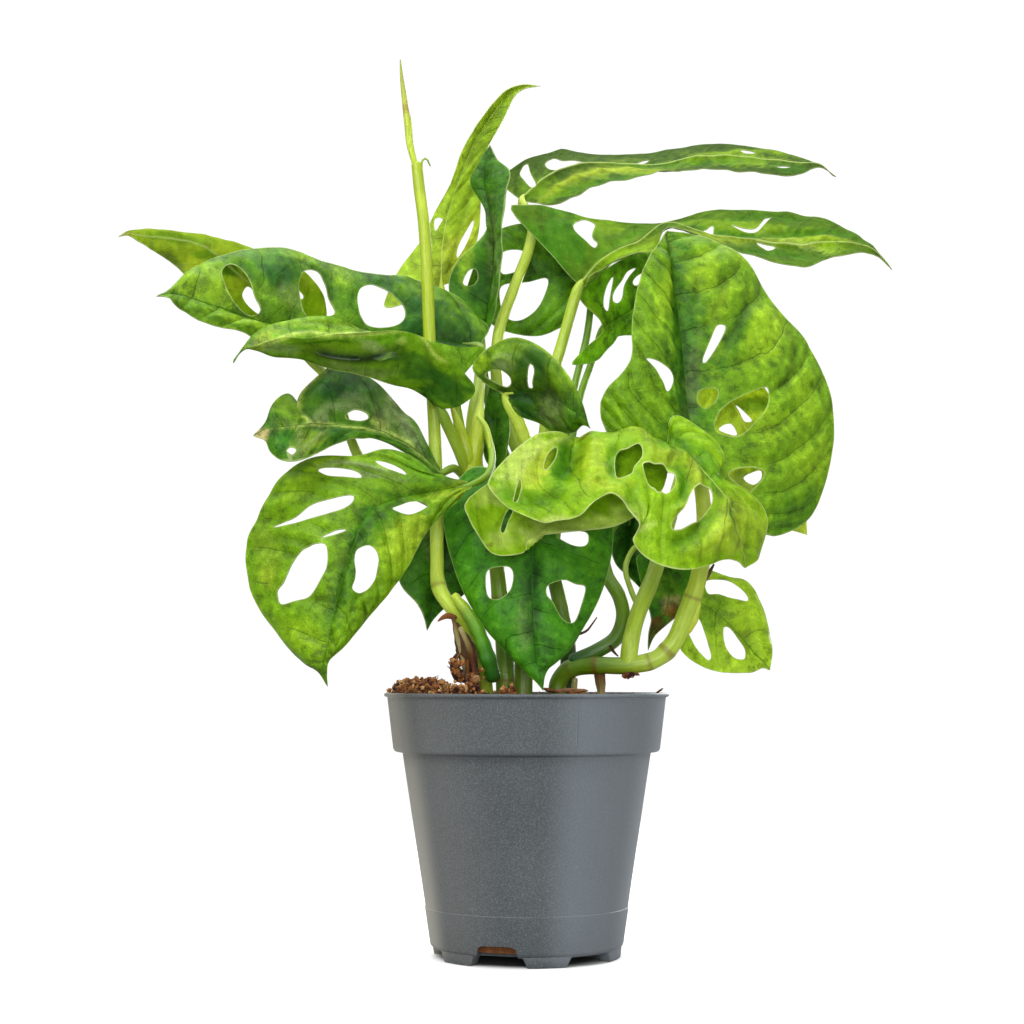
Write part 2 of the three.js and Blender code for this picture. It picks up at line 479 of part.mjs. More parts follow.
    name: "leaf_back_low",
    colour: "deep",
    bulge: 1,
    rows: [
      [[37, 184, 16], [40, 186, 16], [44, 187, 17], [48, 187, 16], [52, 184, 15]],
      [[36, 174, 15], [39.5, 174.5, 16], [43, 175, 17], [47.5, 174.5, 16], [52, 173, 15]],
      [[38, 166, 14], [41, 166, 15], [44.5, 166, 16], [48, 165.5, 15], [51, 165, 14]],
      [[45, 159.5, 14], [47, 159, 15], [49.5, 159.5, 14]],
      [[49.5, 155, 14]],
    ],
    holes: [],
  },
  {
    name: "leaf_low_left_dark",
    colour: "deep",
    bulge: 1.5,
    rows: [
      [[-44, 186, -23], [-37, 190, -21], [-30, 192, -18], [-24, 190, -17], [-18, 184, -15]],
      [[-52, 172, -27], [-42, 173, -24], [-33, 174, -20], [-25, 172, -17], [-19, 168, -15]],
      [[-54, 159, -29], [-45, 160, -26], [-37, 160, -22], [-30, 158, -19], [-25, 155, -16]],
      [[-46.5, 149, -28], [-43, 149.5, -26], [-39.5, 150, -24], [-36, 149.5, -22], [-33, 149, -20]],
      [[-43.2, 143, -28], [-41.5, 143.5, -27], [-39, 143, -26]],
      [[-42, 138, -28]],
    ],
    holes: [],
  },
  {
    name: "leaf_centre_small",
    colour: "mid",
    bulge: 0.5,
    rows: [
      [[-18, 211, -7], [-16, 208, -6], [-13.5, 206, -5], [-11, 208, -6], [-8.5, 211, -8]],
      [[-19, 224, -8], [-16.5, 222, -8], [-13.5, 220, -8], [-10.5, 222, -9], [-7, 224, -10]],
      [[-17, 236, -11], [-15, 235, -11], [-13, 234, -12], [-11, 235, -12], [-9, 236, -12]],
      [[-15.5, 243, -14]],
    ],
    holes: [],
  },
];

// Vines. Each is a stem with the leaf stalks that grow from it, listed as routes.
// A stalk with a leaf ends just short of that leaf's base.
const VINES = [
  {
    name: "vine_left",
    stalks: [
      {
        width: [6.4, 5.4, 4.8],
        route: [[-17, 108, -18], [-18, 118, -20], [-21, 132, -26], [-27, 142, -33], [-32, 148, -37],
          [-37, 156, -36], [-38, 170, -31.5], [-38, 190, -30], [-38.5, 210, -29.5], [-39.5, 235, -29],
          [-41, 260, -28], [-42, 285, -26], [-43.5, 310, -22], [-45.5, 326, -19.5], [-46.5, 335.5, -18]],
      },
      { width: [3.4, 3], leaf: "leaf_low_left_dark", route: [[-20, 128, -24], [-21, 145, -12], [-26, 172, -10],
        [-29.5, 187, -13]] },
    ],
  },
  {
    name: "vine_middle",
    stalks: [
      { width: [8.4, 7, 5], route: [[-9, 108, -10], [-9, 125, -11], [-11, 150, -11], [-14, 175, -10],
        [-18, 192, -10], [-20, 202, -12]] },
      { width: [5.4, 5.6, 4], leaf: "leaf_upper_left", route: [[-15, 180, -10], [-22, 205, -14], [-23, 224, -17],
        [-20, 243, -14], [-19.5, 252, -11]] },
      { width: [5.4, 4.6], leaf: "leaf_left_twisted", route: [[-14, 175, -10], [-22, 197, -18], [-28.5, 214, -30],
        [-34, 226, -38]] },
      { width: [3.6, 3.2], leaf: "leaf_left_crumpled", route: [[-15, 180, -10], [-23, 198, -18], [-30, 206.5, -28],
        [-33.5, 206, -35]] },
      { width: [4.6, 4.4, 3.6], leaf: "leaf_far_left", route: [[-13, 168, -9], [-24, 181, -5], [-42, 193, -10],
        [-60, 201, -17], [-69.5, 209, -23], [-75, 221, -25], [-82, 242, -22], [-93, 254, -17]] },
      { width: [4.6, 4, 3.6], leaf: "leaf_top_narrow", route: [[-14, 175, -10], [-22, 200, -2], [-28, 225, 4],
        [-32, 250, 10], [-35, 274, 14]] },
      { width: [3, 2.8], leaf: "leaf_low_left", route: [[-18, 192, -10], [-21, 212, -9], [-20.5, 224, -16],
        [-17, 221, -26], [-14.6, 213, -35], [-15.5, 206, -43], [-19, 202, -49]] },
      { width: [5.4, 6.4, 3], route: [[-17, 188, -10], [-24, 205, -19], [-28, 218, -22], [-31.5, 231, -22]] },
    ],
  },
  {
    name: "vine_front",
    stalks: [
      { width: [8, 7, 5], route: [[-1.5, 108, -21], [-1, 125, -21], [0, 150, -19], [1, 175, -19], [1, 190, -21]] },
      { width: [4, 3.4], leaf: "leaf_front_low", route: [[0, 165, -19], [0, 185, -23], [-1, 195, -30],
        [-1.5, 197.5, -35]] },
      { width: [5.6, 5.2], leaf: "leaf_centre_dark", route: [[1, 170, -19], [3, 195, -25], [1.5, 212, -33],
        [-3.5, 227, -41]] },
      { width: [3.8, 3.4], leaf: "leaf_front_curled", route: [[1, 180, -19], [6, 200, -27], [11, 215, -36],
        [15, 220, -44]] },
      { width: [2.4, 2.2], leaf: "leaf_centre_small", route: [[0, 160, -18], [-6, 180, -10], [-12, 200, -5]] },
    ],
  },
  {
    name: "vine_back",
    stalks: [
      { width: [7, 6.4, 6], route: [[17, 108, 6], [17.5, 130, 4], [14.5, 148, 2], [9, 172, 2], [4, 200, 3]] },
      { width: [5.6, 5, 4.4], leaf: "leaf_top_right", route: [[5, 195, 3], [-4, 215, 5], [-12, 240, 9],
        [-12, 263, 13], [-5, 284, 20], [1, 300, 27], [2.5, 312, 33]] },
      { width: [5.6, 5.2, 4.6], leaf: "leaf_right_upper", route: [[5, 190, 3], [7, 215, 3], [11, 245, 4],
        [16, 263, 4], [20.5, 279, 3]] },
      { width: [4.4, 4], leaf: "leaf_centre_top", route: [[8, 178, 2], [-6, 205, 6], [-16, 235, 10],
        [-18.5, 252, 12]] },
      { width: [3.6, 3.2], leaf: "leaf_back_centre", route: [[9, 175, 2], [15, 210, 22], [20, 240, 38],
        [26, 265, 45], [27, 280, 41]] },
      { width: [3.4, 3.2], leaf: "leaf_back_right", route: [[11, 165, 2], [17, 205, 20], [23, 238, 36],
        [27, 250, 42], [30, 259, 42]] },
    ],
  },
  {
    name: "vine_right",
    stalks: [
      {
        width: [7, 7.2, 7.2, 7.6, 6.6, 5.4],
        leaf: "leaf_right_large",
        route: [[13, 108, -9], [13.5, 116, -9], [18, 121.5, -12], [27, 123.2, -16], [43, 123.3, -21],
          [55, 126, -22], [62, 132.5, -22], [68, 146, -23], [73, 161, -26], [75.5, 180, -30], [74, 200, -30]],
      },
      { width: [7.2, 6.6, 5.6, 5], leaf: "leaf_right_back", route: [[43, 122.5, -21], [44, 132, -21], [46.5, 143, -18],
        [54, 162, -8], [62, 190, 6], [70, 220, 18], [77, 243, 19]] },
      { width: [6.4, 6.2, 5, 3.4], leaf: "leaf_back_low", route: [[20, 125, -13], [30, 129.5, -15], [38, 135, -14],
        [41, 143, -12], [39.5, 152, -8], [34, 162, -1], [33, 175, 6], [38, 184, 10], [42, 187.5, 12]] },
      { width: [3.4, 3], leaf: "leaf_low_right", route: [[63, 134, -22], [66, 143, -17], [69, 148, -12]] },
      { width: [2.4, 2.2], leaf: "leaf_low_right_back", route: [[48, 147, -15], [44, 156, -7], [42, 165, 0],
        [47, 174, 8], [54, 174.5, 9.5]] },
    ],
  },
];

// Brown roots and dried stems, listed the same way
const ROOTS = [
  { name: "aerial_root_right", stalks: [{ width: [4.2, 3.4, 4.6], route: [[31.4, 106, -16], [31.6, 113, -16],
    [31, 119.2, -16]] }] },
  { name: "aerial_root_middle", stalks: [{ width: [2.6, 2.2, 2.6], route: [[20.6, 106, -14], [20, 112, -14],
    [20.6, 117.4, -13]] }] },
  {
    name: "dried_stem",
    stalks: [
      { width: [4.4, 5.4, 5.4, 7.4, 2], route: [[-22, 106, -29], [-23, 115, -30], [-24, 124, -32], [-26.5, 132, -38],
        [-30, 140.5, -40]] },
      { width: [1.6, 1.9, 1.9, 1.6], route: [[-24.5, 116.5, -31], [-29.5, 117.5, -34], [-31.5, 122, -36],
        [-30, 127, -37.5], [-26, 129.5, -36.5]] },
    ],
  },
];

// Surfaces of the leaves

function curveAt(points, t) {
  const last = points.length - 1;
  const i = Math.min(Math.floor(t), last - 1);
  const w = t - i;
  const before = i > 0 ? points[i - 1] : points[i].map((v, k) => 2 * v - points[i + 1][k]);
  const after = i + 2 <= last ? points[i + 2] : points[i + 1].map((v, k) => 2 * v - points[i][k]);
  return points[i].map((v, k) => {
    const slope = (points[i + 1][k] - before[k]) / 2;
    const next = (after[k] - v) / 2;
    const rise = points[i + 1][k] - v;
    return v + w * (slope + w * (3 * rise - 2 * slope - next + w * (slope + next - 2 * rise)));
  });
}

function fiveAcross(row) {
  if (row.length === 1) {
    return Array(5).fill(row[0]);
  }
  if (row.length === 5) {
    return row;
  }
  const half = (p, q) => p.map((v, k) => (v + q[k]) / 2);
  return [row[0], half(row[0], row[1]), row[1], half(row[1], row[2]), row[2]];
}

class Blade {
  constructor({ name, rows, holes, bulge }) {
    this.name = name;
    this.rows = rows.map(fiveAcross);
    this.length = rows.length - 1;
    this.bulge = bulge;
    this.holes = holes;
    this.ribLength = [0];
    for (let a = 1; a <= this.length; a++) {
      const step = this.cage(a, 0).distanceTo(this.cage(a - 1, 0));
      this.ribLength.push(this.ribLength[a - 1] + Math.max(step, 1));
    }
  }

  cage(along, side) {
    const across = this.rows[0].map((_, k) => curveAt(this.rows.map((row) => row[k]), along));
    return seen(curveAt(across, 2 + 2 * side));
  }

  normal(along, side) {
    const d = 0.02;
    const [a0, a1] = [Math.max(along - d, 0), Math.min(along + d, this.length - d)];
    const [s0, s1] = [Math.max(side - d, -1), Math.min(side + d, 1)];
    const lengthways = this.cage(Math.max(a1, a0 + d), side).sub(this.cage(a0, side));
    const near = Math.min(along, this.length - 5 * d);
    const crossways = this.cage(near, s1).sub(this.cage(near, s0));
    return crossways.cross(lengthways).normalize();
  }

  at(along, side, offset = 0) {
    const taper = Math.min(1, (this.length - along) / 2);
    const rise = this.bulge * taper * (1 - (2 * Math.abs(side) - 1) ** 2);
    const towards = this.normal(along, side);
    return this.cage(along, side).addScaledVector(towards, this.facing() * rise + offset);
  }

  facing() {
    return this.normal(this.length / 2, 0).y < 0 ? 1 : -1;
  }

  // Flat copy of the blade, which the triangles are laid out on
  flat(along, side) {
    const u = curveAt(this.ribLength.map((v) => [v]), along)[0];
    const rib = this.cage(along, 0);
    const width = (this.cage(along, -1).distanceTo(rib) + this.cage(along, 1).distanceTo(rib)) / 2;
    return [u, side * width];
  }

  // Place on the blade, [along, side], of a point of the front view
  find(across, up, half) {
    let best = [1, half / 2];
    let least = Infinity;
    const miss = (a, s) => {
      const [x, z] = picture(this.cage(a, s));
      return Math.hypot(x - across, z - up);
    };
    for (let a = 0; a <= this.length; a += 0.25) {
      for (let s = 0.1; s < 1; s += 0.1) {
        if (miss(a, half * s) < least) {
          least = miss(a, half * s);
          best = [a, half * s];
        }
      }
    }
    for (let step = 0.125; step > 0.002; step /= 1.6) {
      for (const [da, ds] of [[step, 0], [-step, 0], [0, step], [0, -step]]) {
        const a = THREE.MathUtils.clamp(best[0] + da, 0, this.length);
        const s = half * THREE.MathUtils.clamp(half * best[1] + ds, 0.04, 0.96);
        if (miss(a, s) < least) {
          least = miss(a, s);
          best = [a, s];
        }
      }
    }
    return best;
  }

  // Margin of the blade as [along, side] points, with the corners of the base rounded
  margin() {
    const track = [];
    const corner = [[0, 0.8], [0.05, 0.92], [0.16, 0.985]];
    for (const side of [1, -1]) {
      const half = [[0, 0.02], [0, 0.4], ...corner];
      for (let a = 0.3; a < this.length; a += 0.05) {
        half.push([a, 1]);
      }
      const tip = this.cage(this.length, 0);
      const points = half.map(([a, s]) => [a, s * side]);
      const clear = points.filter((p) => this.cage(...p).distanceTo(tip) > EDGE_STEP / 2);
      track.push(spaced(clear, (p) => this.cage(...p), EDGE_STEP));
    }
    const [right, left] = track;
    return [...right, [this.length, 0], ...left.reverse()];
  }
}

// Thins a dense track to points about one step apart
function spaced(points, place, step) {
  const kept = [points[0]];
  for (const point of points.slice(1)) {
    if (place(point).distanceTo(place(kept[kept.length - 1])) >= step * 0.85) {
      kept.push(point);
    }
  }
  return kept;
}

function inside(loop, [x, y]) {
  let odd = false;
  loop.forEach(([px, py], i) => {
    const [qx, qy] = loop[(i + 1) % loop.length];
    if (py > y !== qy > y && x < px + ((y - py) / (qy - py)) * (qx - px)) {
      odd = !odd;
    }
  });
  return odd;
}

// Triangles over scattered flat points, each with no other point in its circle
function triangulate(points) {
  const far = 1e4;
  const all = [...points, [-far, -far], [far, -far], [0, far]];
  const n = points.length;
  let faces = [[n, n + 1, n + 2]];
  const circle = ([a, b, c]) => {
    const [ax, ay] = all[a];
    const [bx, by] = [all[b][0] - ax, all[b][1] - ay];
    const [cx, cy] = [all[c][0] - ax, all[c][1] - ay];
    const d = 2 * (bx * cy - by * cx);
    const x = (cy * (bx * bx + by * by) - by * (cx * cx + cy * cy)) / d;
    const y = (bx * (cx * cx + cy * cy) - cx * (bx * bx + by * by)) / d;
    return [ax + x, ay + y, Math.hypot(x, y)];
  };
  for (let i = 0; i < n; i++) {
    const open = new Map();
    faces = faces.filter((face) => {
      const [x, y, radius] = circle(face);
      if (Math.hypot(x - all[i][0], y - all[i][1]) > radius) {
        return true;
      }
      face.forEach((p, k) => {
        const q = face[(k + 1) % 3];
        if (!open.delete(`${q} ${p}`)) {
          open.set(`${p} ${q}`, [p, q]);
        }
      });
      return false;
    });
    open.forEach(([p, q]) => faces.push([p, q, i]));
  }
  return faces.filter((face) => face.every((p) => p < n));
}

// Flat triangles of a blade: its margin, its holes and a few points inside
function layOut(blade) {
  let loops = [blade.margin(), ...blade.holes.map(([half, ...line]) => line.map(([x, z]) => blade.find(x, z, half)))];
  const inner = [];
  for (let a = 0.25; a < blade.length - 0.3; a += 0.05) {
    for (let s = -0.95; s < 0.96; s += 0.05) {
      inner.push([a, Math.abs(s) < 0.03 ? 0 : s]);
    }
  }
  inner.sort((p, q) => Math.abs(p[1]) - Math.abs(q[1]));
  const place = (p) => blade.cage(...p);
  const kept = [];
  for (let round = 0; round < 6; round++) {
    const flat = loops.map((loop) => loop.map((p) => blade.flat(...p)));
    const rim = loops.flat();
    const rimPlaces = rim.map(place);
    if (round === 0) {
      const keptPlaces = [];
      for (const p of inner) {
        const here = place(p);
        const spot = blade.flat(...p);
        const free = inside(flat[0], spot) && !flat.slice(1).some((loop) => inside(loop, spot));
        const clear = rimPlaces.every((q) => q.distanceTo(here) > INNER_STEP * 0.5)
          && keptPlaces.every((q) => q.distanceTo(here) > INNER_STEP);
        if (free && clear) {
          kept.push(p);
          keptPlaces.push(here);
        }
      }
    }
    const points = [...rim, ...kept];
    const spots = points.map((p, i) => blade.flat(...p).map((v, k) => v + 1e-5 * Math.sin(7 * i + k)));
    const faces = triangulate(spots);
    const joined = new Set(faces.flatMap(([a, b, c]) => [`${a} ${b}`, `${b} ${c}`, `${c} ${a}`]));
    let start = 0;
    let missing = 0;
    const split = loops.map((loop) => {
      const longer = [];
      loop.forEach((p, i) => {
        const [from, to] = [start + i, start + ((i + 1) % loop.length)];
        longer.push(p);
        if (!joined.has(`${from} ${to}`) && !joined.has(`${to} ${from}`)) {
          const q = loop[(i + 1) % loop.length];
          longer.push([(p[0] + q[0]) / 2, (p[1] + q[1]) / 2]);
          missing += 1;
        }
      });
      start += loop.length;
      return longer;
    });
    if (missing === 0) {
      const used = faces.filter((face) => {
        const middle = [0, 1].map((k) => (spots[face[0]][k] + spots[face[1]][k] + spots[face[2]][k]) / 3);
        return inside(flat[0], middle) && !flat.slice(1).some((loop) => inside(loop, middle));
      });
      return { points, faces: used };
    }
    loops = split;
  }
  throw new Error(`${blade.name}: margin could not be laid out`);
}

// Closed blade: the same triangles on both faces, and a wall round every open edge
function bladeGeometry(blade, thickness = BLADE_THICKNESS) {
  blade.plan ??= layOut(blade);
  const { points, faces } = blade.plan;
  const count = points.length;
  const top = points.map((p) => blade.at(...p, thickness / 2));
  const under = points.map((p) => blade.at(...p, -thickness / 2));
  const edges = new Map();
  faces.forEach(([a, b, c]) => [[a, b], [b, c], [c, a]].forEach(([p, q]) => {
    if (!edges.delete(`${q} ${p}`)) {
      edges.set(`${p} ${q}`, [p, q]);
    }
  }));
  const skin = faces.flatMap(([a, b, c]) => [a, b, c, c + count, b + count, a + count]);
  edges.forEach(([p, q]) => skin.push(q, p, p + count, q, p + count, q + count));
  return closed([...top, ...under], skin);
}

// Solids

function closed(corners, index) {
  const geometry = new THREE.BufferGeometry();
  geometry.setAttribute("position", new THREE.Float32BufferAttribute(corners.flatMap((p) => p.toArray()), 3));
  const volume = index.reduce((sum, _, i) => {
    if (i % 3 !== 0) {
      return sum;
    }
    const [a, b, c] = [0, 1, 2].map((k) => corners[index[i + k]]);
    return sum + a.dot(b.clone().cross(c)) / 6;
  }, 0);
  const turned = volume > 0 ? index : index.map((_, i) => index[i - (i % 3) + 2 - (i % 3)]);
  geometry.setIndex(turned);
  return geometry;
}

function toSolid(geometry) {
  const plain = geometry.clone();
  plain.deleteAttribute("normal");
  plain.deleteAttribute("uv");
  const merged = mergeVertices(plain, 1e-4);
  return new wasm.Manifold(new wasm.Mesh({
    numProp: 3,
    vertProperties: Float32Array.from(merged.attributes.position.array),
    triVerts: Uint32Array.from(merged.index.array),
  }));
}

function fromSolid(solid) {
  const mesh = solid.getMesh();
  const geometry = new THREE.BufferGeometry();
  geometry.setAttribute("position", new THREE.Float32BufferAttribute(mesh.vertProperties, 3));
  geometry.setIndex(Array.from(mesh.triVerts));
  return geometry;
}

// Round stalk along places in space, with widths spread evenly along it
function stalkGeometry(places, widths) {
  const sides = Math.max(...widths) < THIN_STALK ? 6 : 8;
  const path = new THREE.CatmullRomCurve3(places, false, "centripetal");
  const steps = Math.max(2, Math.round(path.getLength() / STALK_STEP));
  const frames = path.computeFrenetFrames(steps);
  const corners = [];
  const index = [];
  for (let i = 0; i <= steps; i++) {
    const middle = path.getPointAt(i / steps);
    const radius = curveAt(widths.map((w) => [w / 2]), (i / steps) * (widths.length - 1))[0];
    for (let k = 0; k < sides; k++) {
      const turn = (2 * Math.PI * k) / sides;
      corners.push(middle.clone()
        .addScaledVector(frames.normals[i], radius * Math.cos(turn))
        .addScaledVector(frames.binormals[i], radius * Math.sin(turn)));
      const [here, next] = [i * sides + k, i * sides + ((k + 1) % sides)];
      if (i < steps) {
        index.push(here, next, next + sides, here, next + sides, here + sides);
      }
    }
  }
  for (let k = 1; k < sides - 1; k++) {
    const end = steps * sides;
    index.push(0, k + 1, k, end, end + k, end + k + 1);
  }
  return closed(corners, index);
}

const blades = new Map(LEAVES.map((leaf) => [leaf.name, new Blade(leaf)]));

function stalkPlaces({ route, leaf }) {
  const places = route.map(seen);
  if (leaf) {
    const base = blades.get(leaf).at(0, 0);
    const arrival = base.clone().sub(places[places.length - 1]).normalize();
    places.push(base.addScaledVector(arrival, -(GAP + BLADE_THICKNESS / 2)));
  }
  return places;
}

function rooted(places) {
  const down = places[0].clone();
  down.z = STEM_END;
  return [down, ...places];
}

// A leaf's blade with clear room round it, cut from the stalk that carries it
function room(leaf, from) {
  const blade = blades.get(leaf);
  const thick = toSolid(bladeGeometry(blade, BLADE_THICKNESS + 2 * GAP));
  const back = from.clone().sub(blade.at(0, 0)).setLength(GAP);
  return thick.add(thick.translate(back.x, back.y, back.z));
}

function vineGeometry({ stalks }) {
  const solids = stalks.map((stalk, i) => {
    const places = stalkPlaces(stalk);
    const whole = toSolid(stalkGeometry(i === 0 ? rooted(places) : places, stalk.width));
    if (!stalk.leaf) {
      return whole;
    }
    const pieces = whole.subtract(room(stalk.leaf, places[places.length - 2])).decompose();
    return pieces.reduce((most, next) => (next.volume() > most.volume() ? next : most));
  });
  return fromSolid(solids.reduce((all, next) => all.add(next)));
}

// New leaf, still rolled, standing on the end of the left vine
function rolledLeaf() {
  const route = [[-47.6, 336.6, -18.1], [-49.5, 344, -16.5], [-50.3, 352, -15.5], [-51.5, 362, -14.5],
    [-52.8, 372, -13.5], [-53.5, 380, -13]];
  return stalkGeometry(route.map(seen), [3, 3.2, 2.6, 1.6, 0.5]);
}

// Pot

function ring(profile) {
  const points = [...profile, profile[0]].map(([radius, height]) => new THREE.Vector2(radius, height));
  const geometry = new THREE.LatheGeometry(points, POT_SIDES);
  geometry.rotateX(Math.PI / 2);
  return toSolid(geometry);
}

function potShell() {
  const lipFoot = POT_HEIGHT - LIP_HEIGHT;
  const outside = [
    [0, FOOT_HEIGHT], [BODY_FOOT_RADIUS - 0.9, FOOT_HEIGHT], [BODY_FOOT_RADIUS, FOOT_HEIGHT + 1.2], [BODY_TOP_RADIUS, COLLAR_FOOT - 0.6],
    [COLLAR_FOOT_RADIUS - 0.8, COLLAR_FOOT], [COLLAR_FOOT_RADIUS, COLLAR_FOOT + 0.8], [COLLAR_TOP_RADIUS, lipFoot],
    [RIM_RADIUS, lipFoot + 0.4], [RIM_RADIUS, POT_HEIGHT],
  ];
  const inside = [
    [RIM_RADIUS - 2.6, POT_HEIGHT], [COLLAR_FOOT_RADIUS - WALL - 0.4, COLLAR_FOOT + 1],
    [BODY_TOP_RADIUS - WALL, COLLAR_FOOT - 1.6], [BODY_FOOT_RADIUS - WALL + 0.4, FLOOR_HEIGHT], [0, FLOOR_HEIGHT],
  ];
  return ring([...outside, ...inside]);
}

// Foot under the wall, a little narrower at the ground
function footGeometry(middle) {
  const steps = 4;
  const corners = [];
  const index = [];
  const levels = [[0, FOOT_SPAN - 2 * FOOT_TAPER, BODY_FOOT_RADIUS - 0.8], [FOOT_HEIGHT + 1, FOOT_SPAN, BODY_FOOT_RADIUS - 0.3]];
  for (const [height, span, outer] of levels) {
    for (const radius of [outer, outer - FOOT_DEPTH]) {
      for (let i = 0; i <= steps; i++) {
        const turn = middle + span * (i / steps - 0.5);
        corners.push(new THREE.Vector3(radius * Math.cos(turn), radius * Math.sin(turn), height));
      }
    }
  }
  const n = steps + 1;
  const quad = (a, b, c, d) => index.push(a, b, c, a, c, d);
  for (let i = 0; i < steps; i++) {
    quad(i, i + 1, 2 * n + i + 1, 2 * n + i);
    quad(n + i + 1, n + i, 3 * n + i, 3 * n + i + 1);
    quad(n + i, n + i + 1, i + 1, i);
    quad(2 * n + i, 2 * n + i + 1, 3 * n + i + 1, 3 * n + i);
  }
  quad(n, 0, 2 * n, 3 * n);
  quad(steps, n + steps, 3 * n + steps, 2 * n + steps);
  return closed(corners, index);
}

// Arched opening through the foot of the wall
function wallArch(angle) {
  const shape = new THREE.Shape();
  shape.moveTo(-ARCH_HALF_WIDTH, 0);
  shape.lineTo(ARCH_HALF_WIDTH, 0);
  shape.lineTo(ARCH_HALF_WIDTH - 1, ARCH_TOP - 2.6);
  shape.quadraticCurveTo(ARCH_HALF_WIDTH - 1.8, ARCH_TOP, ARCH_HALF_WIDTH - 4.6, ARCH_TOP);
  shape.lineTo(4.6 - ARCH_HALF_WIDTH, ARCH_TOP);
  shape.quadraticCurveTo(1.8 - ARCH_HALF_WIDTH, ARCH_TOP, 1 - ARCH_HALF_WIDTH, ARCH_TOP - 2.6);
  const cut = new THREE.ExtrudeGeometry(shape, { depth: ARCH_DEPTH, bevelEnabled: false, curveSegments: 3 });
  cut.rotateX(Math.PI / 2);
  cut.rotateZ(angle + Math.PI / 2);
  const start = BODY_FOOT_RADIUS - ARCH_DEPTH / 2;
  cut.translate(start * Math.cos(angle), start * Math.sin(angle), 0);
  return toSolid(cut);
}

function potGeometry() {
  let pot = potShell();
  const turn = (2 * Math.PI) / FEET;
  for (let i = 0; i < FEET; i++) {
    const middle = -Math.PI / 2 + FIRST_FOOT + i * turn;
    pot = pot.add(toSolid(footGeometry(middle)));
  }
  for (let i = 0; i < FEET / 2; i++) {
    pot = pot.subtract(wallArch(-Math.PI / 2 + FIRST_FOOT - turn / 2 + 2 * i * turn));
  }
  return fromSolid(pot);
}

// Soil: fills the pot, a little heaped at the left, with a plain hole round every stem
function soilHeight(x, y) {
  const heap = 6.5 * Math.exp(-(((x + 40) / 17) ** 2) - (((y + 20) / 24) ** 2));
  const lumps = 0.9 * Math.sin(0.31 * x + 1) * Math.cos(0.27 * y) + 0.5 * Math.sin(0.7 * x - 0.5 * y);
  return SOIL_TOP + heap + lumps;
}

function soilGeometry(stems) {
  const rings = [0, 14, 27, 38, 48, 56.2];
  const sides = 28;
  const corners = [new THREE.Vector3(0, 0, soilHeight(0, 0))];
  const index = [];
  const addRing = (radius, height) => {
    for (let k = 0; k < sides; k++) {
      const turn = (2 * Math.PI * k) / sides;
      const [x, y] = [radius * Math.cos(turn), radius * Math.sin(turn)];
      corners.push(new THREE.Vector3(x, y, height ?? soilHeight(x, y)));
    }
  };
  rings.slice(1).forEach((radius) => addRing(radius));
  addRing(COLLAR_FOOT_RADIUS - WALL - 0.9, COLLAR_FOOT + 1.8);
  addRing(BODY_TOP_RADIUS - WALL - 0.6, COLLAR_FOOT - 1);
  addRing(BODY_FOOT_RADIUS - WALL - 0.2, FLOOR_HEIGHT + 0.3);
  const last = corners.length;
  corners.push(new THREE.Vector3(0, 0, FLOOR_HEIGHT + 0.3));
  for (let k = 0; k < sides; k++) {
    const next = (k + 1) % sides;
    index.push(0, 1 + k, 1 + next);
    for (let from = 1; from + sides < last; from += sides) {
      index.push(from + k, from + k + sides, from + next + sides, from + k, from + next + sides, from + next);
    }
    index.push(last - sides + k, last, last - sides + next);
  }
  let soil = toSolid(closed(corners, index));
  for (const { route, width } of stems) {
    const place = seen(route[0]);
    const radius = Math.max(width[0], width[1]) / 2 + HOLE_ROOM;
    const hole = new THREE.CylinderGeometry(radius, radius, 2 * HOLE_REACH, 10);
    hole.rotateX(Math.PI / 2);
    hole.translate(place.x, place.y, STEM_END - 1 + HOLE_REACH);
    soil = soil.subtract(toSolid(hole));
  }
  return fromSolid(soil);
}

// Assembly

const group = new THREE.Group();

function add(name, geometry, color, roughness) {
  const mesh = new THREE.Mesh(geometry, new THREE.MeshStandardMaterial({ color, roughness, metalness: 0 }));
  mesh.name = name;
  group.add(mesh);
}

for (const vine of VINES) {
  add(vine.name, vineGeometry(vine), GREENS.stalk, 0.5);
}
for (const root of ROOTS) {
  add(root.name, vineGeometry(root), DRY, 0.9);
}
add("rolled_leaf", rolledLeaf(), GREENS.yellow, 0.4);
for (const leaf of LEAVES) {
  add(leaf.name, bladeGeometry(blades.get(leaf.name)), GREENS[leaf.colour], 0.35);
}
add("pot", potGeometry(), SLATE, 0.55);
add("soil", soilGeometry([...VINES, ...ROOTS].map(({ stalks }) => stalks[0])), PEAT, 0.95);

export default group;
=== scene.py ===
"""Potted swiss cheese vine in its nursery pot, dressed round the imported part.

Objects are in metres, +Z up, with -Y towards the viewer. The plant is traced in millimetres:
a traced point is (across, up, depth), with across and up as they show in the front view at the
distance of the pot's axis, and depth behind the upright plane through that axis.
"""

import logging
import math
from collections.abc import Iterator
from contextlib import contextmanager
from dataclasses import dataclass, field
from enum import Enum
from typing import ClassVar

import bpy
import numpy as np
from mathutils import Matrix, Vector, noise
from mathutils.geometry import delaunay_2d_cdt


